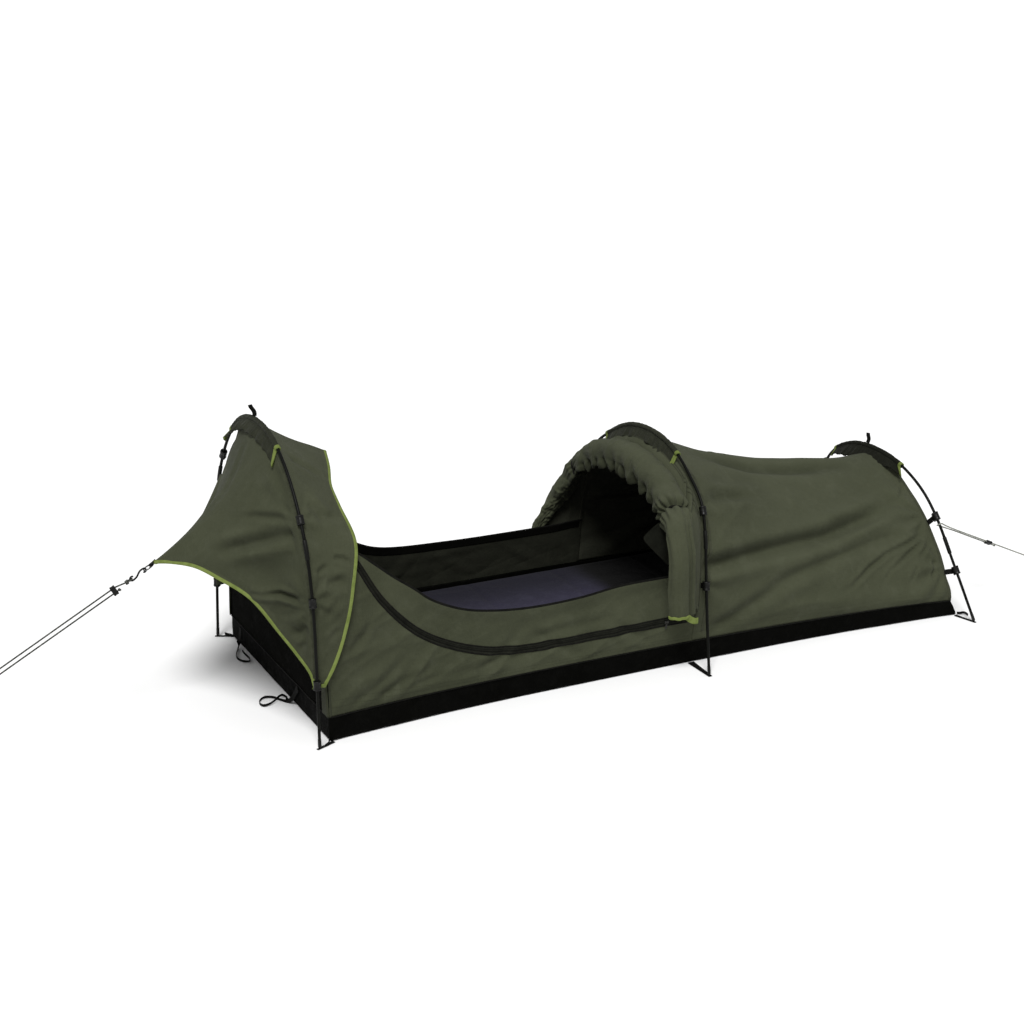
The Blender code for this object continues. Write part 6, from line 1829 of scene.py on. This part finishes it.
def clips(name):
    line = LINES[name]
    skin = arch_inset(HEAD_LINE, 0.014) if name == "head" else half_curve(MID_SKIN if name == "mid" else FOOT_SKIN, 12)
    for side, sign in (("near", -1), ("far", 1)):
        for i, z in enumerate(CLIP_Z[name]):
            s = line.at_z(z, sign)
            p0, a0, b0, t0 = line.frame(s)
            skin_side = [(sign * q[0], q[1]) for q in skin]
            reach = ray_gap((p0[1], p0[2]), (b0[1], b0[2]), skin_side) or 0.03
            tag = f"{name}_{side}_{i + 1}"
            # the moulded clip: ring with a lip each side of its mouth and a rounded shoulder
            ss = s + np.array([-0.0135, -0.0128, -0.0105, -0.0095, -0.0085, -0.004, 0.0, 0.004, 0.0085, 0.0095, 0.0105, 0.0128, 0.0135])
            grow = np.array([0.80, 0.96, 1.0, 1.0, 0.93, 0.93, 0.93, 0.93, 0.93, 1.0, 1.0, 0.96, 0.80])
            p, a, b, _ = line.frames(ss)
            sizes = [(0.0105 * g + 0.0006, 0.0060, max(min(reach - 0.002, 0.0185), 0.0122) * (0.9 + 0.1 * g), 0.0026) for g in grow]
            body = keyhole_solid(f"clip_{tag}", p, a, b, (0.0, 1.0), sizes, BLACK)
            put(body, f"{name}_hoop", f"{name}_clip_{side}_{i + 1}")
            # webbing from the clip to the canvas, folded through the clip's slot
            if reach > 0.016:
                far = p0 + b0 * (reach - 0.0012)
                near = p0 + b0 * 0.0135
                if name == "foot":
                    row = CANOPY[-1][CANOPY[-1][:, 1] * sign > 0.05]
                    far = row[int(np.argmin(np.linalg.norm(row - p0, axis=1)))] + np.array((-0.004, 0, 0))
                mid = (near + far) / 2 + a0 * 0.0012
                for k, sgn in ((0, 1),):
                    pts = smooth_curve([near - b0 * 0.004 + a0 * 0.0005, near, mid, far], 5)
                    strap = tape(f"clip_strap_{tag}", pts, t0, 0.0170, 0.0034, WEB)
                    put(strap, f"{name}_hoop")


for hoop_name in HOOPS:
    poles(hoop_name)
    sleeve(hoop_name)
    clips(hoop_name)


# ------------------------------------------------------------ webbing at the feet, the top tabs and the loops on the ground
def foot_tabs():
    for name, hoop in HOOPS.items():
        for side, sign in (("near", -1), ("far", 1)):
            foot = np.array((hoop["x0"] + hoop["lean"] * AXIS_Z, sign * hoop["arch"][0][0], 0.0014))
            root_x = min(max(foot[0], -HALF_LEN + 0.012), HALF_LEN - 0.012)
            root = np.array((root_x, sign * (float(half_width(root_x)) + 0.0012), 0.0014))
            d = unit(foot - root)
            across = np.cross(d, (0, 0, 1))
            pts = [root + d * 0.0005 + (0, 0, 0.0002), root + (foot - root) * 0.35, root + (foot - root) * 0.7, foot + d * 0.009]
            pts = smooth_curve(pts, 8)
            width = np.linspace(0.022, 0.012, len(pts)) if name == "mid" else np.linspace(0.012, 0.008, len(pts))
            T = path_tangents(pts)
            A = unit(np.broadcast_to(across, pts.shape))
            B = np.cross(T, A)
            section = oblong(1.0, 1.0, 18)[None] * np.stack([width, np.full(len(pts), 0.0021)], 1)[:, None]
            flap = sweep(f"foot_web_{name}_{side}", pts, A, B, section, WEB)
            put(flap, "base", f"{name}_foot_tab_{side}")
            # a short curled tail of the webbing at the tub's corner
            if name != "mid":
                end_x = -HALF_LEN if name == "head" else HALF_LEN
                start = np.array((end_x * 0.9985, sign * (HALF_END - 0.006), 0.0052))
                out = unit(np.array((-0.55 if name == "head" else 0.75, sign * 0.8, 0.0)))
                side_dir = np.array((-out[1], out[0], 0.0))
                pts = [start, start + out * 0.010 + (0, 0, 0.001), start + out * 0.020 + side_dir * 0.003 + (0, 0, 0.003), start + out * 0.029 + side_dir * 0.001 + (0, 0, 0.002), start + out * 0.036 - side_dir * 0.004]
                tail = tape(f"foot_tail_{name}_{side}", smooth_curve(pts, 6), (0, 0, 1), 0.0085, 0.0018, WEB)
                put(tail, "base")


foot_tabs()


def top_tabs():
    for name, lean in (("head", 0.30), ("foot", -0.20)):
        line = LINES[name]
        p, a, b, t = line.frame(line.at_y(0.031 if name == "head" else 0.050))
        up = -b
        h0, h = 0.0094, 0.0335
        pts = []
        for k in np.linspace(0, 1, 14):
            bend = 0.0030 * math.sin(math.pi * k * 1.6)
            tip_over = -0.0085 * k if name == "head" else 0.0100 * k
            pts.append(p + up * (h0 + h * k) + np.array((bend + tip_over, 0, 0)))
        pts = np.array(pts)
        tab = tape(f"top_web_{name}", pts, (0.9, -0.43, 0), 0.0125, 0.0034, WEB)
        put(tab, f"{name}_hoop", f"{name}_top_tab")


top_tabs()


def floor_straps():
    near = [(-1.0772, -0.180, 0.068), (-1.0785, -0.160, 0.045), (-1.0820, -0.140, 0.020), (-1.090, -0.122, 0.0062), (-1.102, -0.104, 0.0052), (-1.118, -0.074, 0.0052), (-1.138, -0.064, 0.0052), (-1.158, -0.078, 0.0052), (-1.167, -0.100, 0.0052), (-1.162, -0.118, 0.0055), (-1.144, -0.118, 0.0065), (-1.122, -0.106, 0.0095), (-1.104, -0.090, 0.0115), (-1.090, -0.080, 0.0085), (-1.083, -0.092, 0.0070), (-1.086, -0.110, 0.0085), (-1.094, -0.121, 0.0125)]
    far = [(-1.0772, 0.332, 0.068), (-1.0785, 0.333, 0.045), (-1.0830, 0.333, 0.020), (-1.090, 0.322, 0.0062), (-1.100, 0.302, 0.0052), (-1.111, 0.278, 0.0052), (-1.118, 0.255, 0.0052), (-1.117, 0.232, 0.0052), (-1.108, 0.214, 0.0052), (-1.094, 0.206, 0.0052), (-1.087, 0.222, 0.0055), (-1.088, 0.250, 0.0065), (-1.089, 0.285, 0.0085)]
    for name, pts in (("near", near), ("far", far)):
        across = np.array([(0, 1, 0), (0, 1, 0.4), (0, 0.5, 1)] + [(0, 0, 1)] * (len(pts) - 3), float)
        dense = smooth_curve(pts, 9)
        A = smooth_curve(across, 9)
        T = path_tangents(dense)
        A = unit(A - T * (A * T).sum(1)[:, None])
        B = np.cross(T, A)
        width = np.interp(np.arange(len(dense)), [0, 18, 36], [0.020, 0.016, 0.0075])
        section = oblong(1.0, 1.0, 16)[None] * np.stack([width, np.full(len(dense), 0.0019)], 1)[:, None]
        strap = sweep(f"strap_{name}", dense, A, B, section, WEB)
        put(strap, "base", f"head_strap_{name}")


floor_straps()


# ------------------------------------------------------------ zip sliders
def zip_pulls():
    for name, sign, grid in (("near", -1, NEAR_WALL), ("far", 1, FAR_WALL)):
        x = 0.022
        y = float(on_wall(grid, np.array([x]), np.array([ZIP_Z]))[0]) + sign * 0.0046
        body = cushion_box(f"zip_slider_body_{name}", (0.0135, 0.0050, 0.0095), (x, y, ZIP_Z), ((1, 0, 0), (0, 1, 0), (0, 0, 1)), ZIP_METAL, 0.5)
        tab = []
        for k in np.linspace(0, 1, 12):
            tab.append((x - 0.002 - 0.003 * k, y + sign * (0.0030 + 0.0016 * math.sin(math.pi * k)), ZIP_Z - 0.002 - 0.017 * k))
        pull = tape(f"zip_pull_{name}", np.array(tab), (1, 0, 0), 0.0062, 0.0016, ZIP_METAL, cap="flat")
        put(body, f"zip_{name}", f"zip_slider_{name}", squash=DOWN)
        put(pull, f"zip_{name}", squash=DOWN)


zip_pulls()


# ------------------------------------------------------------ rolled-back cover
ROLL_FOLDS = [  # where along the roll, how deep, how wide, how it leans
    (0.298, 0.017, 0.0120, 1.0), (0.350, 0.010, 0.0085, -1.0), (0.405, 0.022, 0.0130, 1.4), (0.462, 0.011, 0.0090, -0.6), (0.520, 0.025, 0.0125, 1.2), (0.582, 0.022, 0.0115, 1.0),
    (0.618, 0.009, 0.0060, 0.3), (0.656, 0.024, 0.0130, 1.6), (0.727, 0.027, 0.0155, 1.8), (0.763, 0.008, 0.0055, 1.8), (0.800, 0.022, 0.0125, 0.7), (0.868, 0.024, 0.0130, 1.3), (0.915, 0.014, 0.0080, -0.5),
]


def door_roll():
    ends = [(-0.030, 0.413, 0.176, 0.012)] + ROLL
    line = by_length(smooth_curve(ends, 40), 560)
    n = len(line)
    pts, rad = line[:, :3], line[:, 3]
    s = np.r_[0, np.cumsum(np.linalg.norm(np.diff(pts, axis=0), axis=1))]
    s -= s[int(np.argmin(np.linalg.norm(pts - np.array(ROLL[0][:3]), axis=1)))]
    t = path_tangents(pts)
    a = unit(np.array((1.0, 0, 0)) - t * t[:, :1])
    b = np.cross(t, a)
    K = 132
    w = np.linspace(0, 2 * math.pi, K, endpoint=False)
    deg = np.degrees(w)
    W, S = np.meshgrid(w, s)
    D = np.degrees(W)
    hang = ease((s - 0.975) / 0.075)[:, None]  # the end that hangs straight down
    arc = 1 - hang
    thick_end = ease((s - 0.12) / 0.18)[:, None]
    R = rad[:, None] * np.ones_like(W)
    flow = np.stack([S * 1.0, 0 * S, 0 * S], -1)
    # the outer layer ends in a ragged lip over the gathered inner side
    lip = 228 + 15 * noise(flow, 13.0, 3) + 10 * noise(flow, 34.0, 4)
    over = np.exp(-(((D - lip) / 16) ** 2))
    under = ease((D - lip - 2) / 12) * ease((354 - D) / 50)
    R += arc * thick_end * (0.0090 * over - 0.0170 * under)
    inner = ease((D - 183) / 34) * ease((356 - D) / 30)
    reach = ease((D - 120) / 75) * ease((236 - D) / 50)
    for c, depth, width, lean in ROLL_FOLDS:
        dist = S - c - 0.00030 * lean * (D - 225) - 0.004 * np.sin(np.radians(D) * 3 + c * 40)
        V = np.exp(-((np.abs(dist) / width) ** 1.35))
        R -= arc * inner * depth * 0.78 * V
        R += arc * inner * 0.20 * depth * np.exp(-(((np.abs(dist) - 2.2 * width) / (1.1 * width)) ** 2))
        R -= arc * reach * depth * 0.26 * np.exp(-((dist / (width * 1.7)) ** 2))
    R += arc * inner * 0.0042 * noise(np.stack([S, W * 0.05, 0 * S], -1), (75.0, 60.0, 1.0), 12)
    # soft, broad wrinkles on the outside
    skin = np.stack([S, W * 0.045, 0 * S], -1)
    R += 0.0034 * fractal(skin, (10.0, 16.0, 1.0), 3, 14) + 0.0028 * ridges(skin, (22.0, 9.0, 1.0), 16, 2.2) * arc
    # lumps of the thin far end
    R *= 1 + 0.30 * (1 - thick_end) * noise(np.stack([S, W * 0.02, 0 * S], -1), (24.0, 40.0, 1.0), 19)
    # ties draw it in, with ruffles to each side
    for c, k, ruff in ((0.272, 0.0085, 0.0030), (0.950, 0.0190, 0.0080)):
        near = np.exp(-(((S - c) / 0.036) ** 2))
        R -= k * np.exp(-(((S - c) / 0.013) ** 2))
        R += ruff * near * np.cos(11 * W + 2.0 * np.sin(2 * W) + 30 * (S - c)) * (1 - 0.7 * np.exp(-(((S - c) / 0.010) ** 2)))
    # pleats down the hanging end, flatter on the side that is seen from the head
    pleat = 0.0022 * np.cos(5 * W + 0.9 + 2.2 * np.sin(3 * (S - 1.0))) + 0.0013 * np.cos(9 * W + 1.7 + 5 * S) + 0.0005 * np.cos(15 * W + 6 * S)
    front = 0.40 + 0.60 * (1 - np.exp(-(((D - 150) / 42) ** 2)))
    R += hang * pleat * front
    for c, k, wide in ((69, 0.0110, 8), (50, 0.0070, 7), (205, 0.0030, 12)):
        R -= hang * k * np.exp(-(((D - c - 5 * np.sin(8 * S)) / wide) ** 2))
    X, Y = np.cos(W) * R, np.sin(W) * R
    X = X * (1 + 0.04 * hang)
    Y = Y * (1 - 0.28 * hang)
    P = pts[:, None] + a[:, None] * X[..., None] + b[:, None] * Y[..., None]
    # the hanging end stays clear of the wall behind it
    P[..., 1] -= hang * np.clip(P[..., 1] + 0.4015, 0, 1) * 0.8
    for i, k in ((0, 0.35), (1, 0.62), (2, 0.8), (3, 0.9), (4, 0.96)):
        P[i] = pts[i] + (P[i] - pts[i]) * k
    low = P[-1].copy()
    depth = [(0.0015, 0.955), (-0.0030, 0.90), (-0.010, 0.80), (-0.016, 0.60), (-0.017, 0.30), (-0.017, 0.06)]
    centre = pts[-1]
    closing = [centre + (low - centre) * k + np.array((0, 0, -d)) for d, k in depth]
    P = np.concatenate([P, closing])
    n_all = len(P)
    g = unit(np.cross(np.gradient(P, axis=0), np.roll(P, -1, 1) - np.roll(P, 1, 1)))
    if float((g[: len(pts)] * (P[: len(pts)] - pts[:, None])).sum()) < 0:
        g = -g
    # painted light and shade: the roll's top is painted lighter and its underside darker, and its folds, ties, lip,
    # hanging pleat and under layer are painted darker
    painted_light_shade = 0.62 * (g[..., 2] - 0.14)
    cut = np.zeros_like(R)
    for c, deep, wide, lean in ROLL_FOLDS:
        dist = S - c - 0.00030 * lean * (D - 225) - 0.004 * np.sin(np.radians(D) * 3 + c * 40)
        cut -= arc * inner * 1.25 * deep * np.exp(-((np.abs(dist) / wide) ** 1.35)) + arc * reach * deep * 0.3 * np.exp(-((dist / (wide * 1.7)) ** 2))
    cut -= 0.020 * np.exp(-(((S - 0.950) / 0.012) ** 2)) + 0.010 * np.exp(-(((S - 0.272) / 0.010) ** 2)) + arc * thick_end * 0.016 * under
    cut -= hang * 0.016 * np.exp(-(((D - 60) / 13) ** 2))
    cut -= arc * thick_end * 0.022 * ease((D - 188 - 16 * noise(flow, 16.0, 5)) / 30) * ease((352 - D) / 30)  # the shaded under layer
    painted_light_shade[: len(R)] += np.clip(cut / 0.028, -0.9, 0.3)
    painted_light_shade = np.clip(painted_light_shade, -0.95, 0.5).ravel()
    F = quads(n_all, K, wrap_c=True)
    index = np.r_[(F[:, 0] // K >= n).astype(int), 0, 1]
    faces = [tuple(f) for f in F] + [tuple(range(K))[::-1], tuple((n_all - 1) * K + k for k in range(K))]
    uv = np.stack([np.tile(w * 0.045, n_all), np.repeat(np.r_[s, s[-1] + 0.004 * np.arange(1, len(depth) + 1)], K)], 1)
    roll = make("cover_roll", P.reshape(-1, 3), faces, [OLIVE, LINING], index, uv, np.full(n_all * K, 1.0), shade=painted_light_shade)
    fix_normals(roll)
    put(roll, "mid_hoop", "door_roll")
    # lime trim round the bottom, with its tab
    pick = [k for k in range(K) if 66 <= deg[k] <= 256]
    ring = centre + (low - centre) * 1.012
    soft = np.array([np.mean(ring[np.arange(j - 3, j + 4) % K], axis=0) for j in pick])
    edge = by_length(soft, 130)
    u = np.linspace(0, 1, len(edge))
    edge[:, 2] += np.interp(u, [0, 0.2, 0.45, 0.7, 0.85, 0.95, 1.0], [-0.003, -0.0010, -0.002, -0.0035, 0.0020, 0.013, 0.023]) + 0.0010 * np.sin(u * 31)
    trim = tape("cover_roll_trim", edge, (0, 0, 1), 0.0095, 0.0038, LIME)
    put(trim, "mid_hoop")
    q = edge[0]
    tab = np.array([q + (-0.006, -0.0005, -0.002), q + (0.006, -0.001, -0.011), q + (0.018, -0.001, -0.017), q + (0.030, -0.001, -0.0175)])
    flag = tape("cover_roll_tab", smooth_curve(tab, 6), (0, 0, 1), 0.0195, 0.0024, LIME)
    put(flag, "mid_hoop")
    # ties
    for i, c in enumerate((0.272, 0.950)):
        k = int(np.argmin(np.abs(s - c)))
        radii = np.linalg.norm(P[k] - pts[k], axis=1)
        radii = np.array([np.mean(radii[np.arange(j - 5, j + 6) % K]) for j in range(K)]) + 0.0016
        loop = pts[k] + unit(P[k] - pts[k]) * radii[:, None]
        band = tape(f"cover_tie_{i + 1}", loop, t[k], 0.0085, 0.0016, TRIM, closed=True)
        put(band, "mid_hoop")
    # the strip of cover between the middle arch and the roll
    row = CANOPY[1]
    half = len(row) // 2
    near_z, far_z = row[: half + 1, 2], row[half:, 2]
    i0 = int(np.argmin(np.abs(near_z - 0.166)))
    i1 = half + int(np.argmin(np.abs(far_z - 0.160)))
    ys = row[i0 : i1 + 1]
    arc_len = np.r_[0, np.cumsum(np.linalg.norm(np.diff(ys, axis=0), axis=1))]

    def at_near(z):
        return arc_len[int(np.argmin(np.abs(near_z - z))) - i0]

    def at_far(z):
        return arc_len[half + int(np.argmin(np.abs(far_z - z))) - i0]

    def roll_at(z, side):
        ok = (pts[:, 1] * side > 0.02) & (s > 0)
        return float(s[ok][np.argmin(np.abs(pts[ok, 2] - z))])

    s_top = float(s[int(np.argmin(np.abs(pts[:, 1]) + (s < 0.3)))])
    knots = [(0.0, s[-1] - 0.006), (at_near(0.30), roll_at(0.30, -1)), (at_near(0.44), roll_at(0.415, -1)), (at_near(0.535), roll_at(0.475, -1)), (arc_len[half - i0], s_top), (at_far(0.535), roll_at(0.475, 1)), (at_far(0.44), roll_at(0.40, 1)), (at_far(0.30), roll_at(0.270, 1)), (at_far(0.23), 0.006), (arc_len[-1], -0.030)]
    at = np.interp(arc_len, [k[0] for k in knots], [k[1] for k in knots])
    angle = np.radians(np.interp(at, [0.0, 0.3, 0.6, 0.9, 1.02, 1.3], [40, 46, 42, 30, 22, 20]))
    cx = np.stack([np.interp(at, s, pts[:, i]) for i in range(3)], 1)
    ca = np.stack([np.interp(at, s, a[:, i]) for i in range(3)], 1)
    cb = np.stack([np.interp(at, s, b[:, i]) for i in range(3)], 1)
    cr = np.interp(at, s, rad) * 0.96
    target = cx + ca * (np.cos(angle) * cr)[:, None] + cb * (np.sin(angle) * cr * np.interp(at, [0, 1.0, 1.05], [1, 1, 0.74]))[:, None]
    kernel = np.ones(13) / 13
    for j in range(3):
        target[:, j] = np.convolve(np.r_[np.repeat(target[0, j], 6), target[:, j], np.repeat(target[-1, j], 6)], kernel, "valid")
    m = 18
    k = np.linspace(0, 1, m)
    start_row = ys + np.array((0.001, 0, -0.0016)) * np.clip((ys[:, 2:] - 0.3) / 0.2, 0, 1)
    strip = start_row[:, None] + (target - start_row)[:, None] * k[None, :, None]
    nn, flip = surface_normals(strip)
    fade = edge_fade(strip, 0.010, "c")
    d = fractal(strip, (9.0, 9.0, 9.0), 2, 130) * 0.0024 * fade + 0.004 * np.sin(math.pi * k)[None]
    d += 0.0018 * np.sin(k * 15)[None] * fade * np.clip(1 - (strip[..., 2] - 0.30) / 0.1, 0, 1)
    pucker = np.zeros_like(d)
    for c, dep, wide in ((0.950, -0.0100, 0.0085), (0.925, 0.0050, 0.0080), (0.908, -0.0060, 0.0060), (0.972, 0.0050, 0.0085), (0.990, -0.0045, 0.0060)):
        pucker += (dep * np.exp(-(((at - c) / wide) ** 2)))[:, None] * ease(k / 0.25)[None]
    d += pucker
    strip = strip + nn * d[..., None]
    # painted shade in the puckers, a painted shadow along the roll's edge, and the whole strip a little darker
    root = cloth("cover_root", strip, OLIVE, TUNNEL_LINING_PAINTED_LIGHT, thick=0.0018, edges="", furrow=pucker * 1.6 - 0.016 * ease((k - 0.62) / 0.38)[None] - 0.004)
    put(root, "mid_hoop")
    nn, _ = surface_normals(strip)
    for i, c in enumerate((3, 6)):
        seam = tape(f"cover_root_seam_{i + 1}", strip[2:-2, c] + nn[2:-2, c] * 0.0006, strip[2:-2, c + 1] - strip[2:-2, c], 0.0030, 0.0016, OLIVE_DARK)
        put(seam, "mid_hoop")


door_roll()


# ------------------------------------------------------------ flap inside the tunnel, on the near side
def inner_flap():
    apex = np.array((-0.040, -0.335, 0.408))
    top = np.array((0.050, -0.345, 0.470))
    low = np.array((0.060, -0.372, 0.300))
    rows, cols = 50, 40
    P = np.zeros((rows, cols, 3))
    for i in range(rows):
        v = i / (rows - 1)
        back = top + (low - top) * v
        k = 1 - abs((v - 0.38) / (0.38 if v < 0.38 else 0.62))
        edge = back + (apex - (top + (low - top) * 0.38)) * max(k ** 0.86 - 0.05 * math.exp(-(((k - 1) / 0.06) ** 2)), 0.03)
        for j in range(cols):
            u = j / (cols - 1)
            P[i, j] = edge + (back - edge) * u
    d = 0.006 * np.sin(np.linspace(0, 7, rows))[:, None] * np.linspace(1, 0.2, cols)[None] + 0.003 * noise(P, 25.0, 150)
    P[..., 1] += d
    flap = cloth("inner_flap", P, FLAP, FLAP, thick=0.0016)
    put(flap, "mid_hoop")


inner_flap()


# ------------------------------------------------------------ floor, light
def stage():
    f = Finish("pale_floor", 0.9, spec=0.2)
    at = f.at()
    f.set("Base Color", f.mix(f.range(f.noise(at, 3.0, 3.0), 0.3, 0.7), (0.885, 0.885, 0.882, 1), (0.895, 0.895, 0.892, 1)))
    data = bpy.data.meshes.new("floor")
    data.from_pydata([(-60, -60, -0.0006), (60, -60, -0.0006), (60, 60, -0.0006), (-60, 60, -0.0006)], [], [(0, 1, 2, 3)])
    data.materials.append(f.mat)
    floor = bpy.data.objects.new("floor", data)
    bpy.context.scene.collection.objects.link(floor)
    sky = bpy.data.worlds.new("studio")
    sky.use_nodes = True
    sky.node_tree.nodes["Background"].inputs[0].default_value = (1.0, 1.0, 1.0, 1.0)
    sky.node_tree.nodes["Background"].inputs[1].default_value = 0.44
    bpy.context.scene.world = sky
    sun = bpy.data.lights.new("key", "SUN")
    sun.energy, sun.angle = 3.15, 0.42
    lamp = bpy.data.objects.new("key", sun)
    lamp.rotation_mode = "QUATERNION"
    lamp.rotation_quaternion = Vector((0.30, 0.50, -0.95)).to_track_quat("-Z", "Y")
    bpy.context.scene.collection.objects.link(lamp)
    bpy.context.scene.view_settings.view_transform = "Standard"
    bpy.context.scene.view_settings.look = "None"


stage()
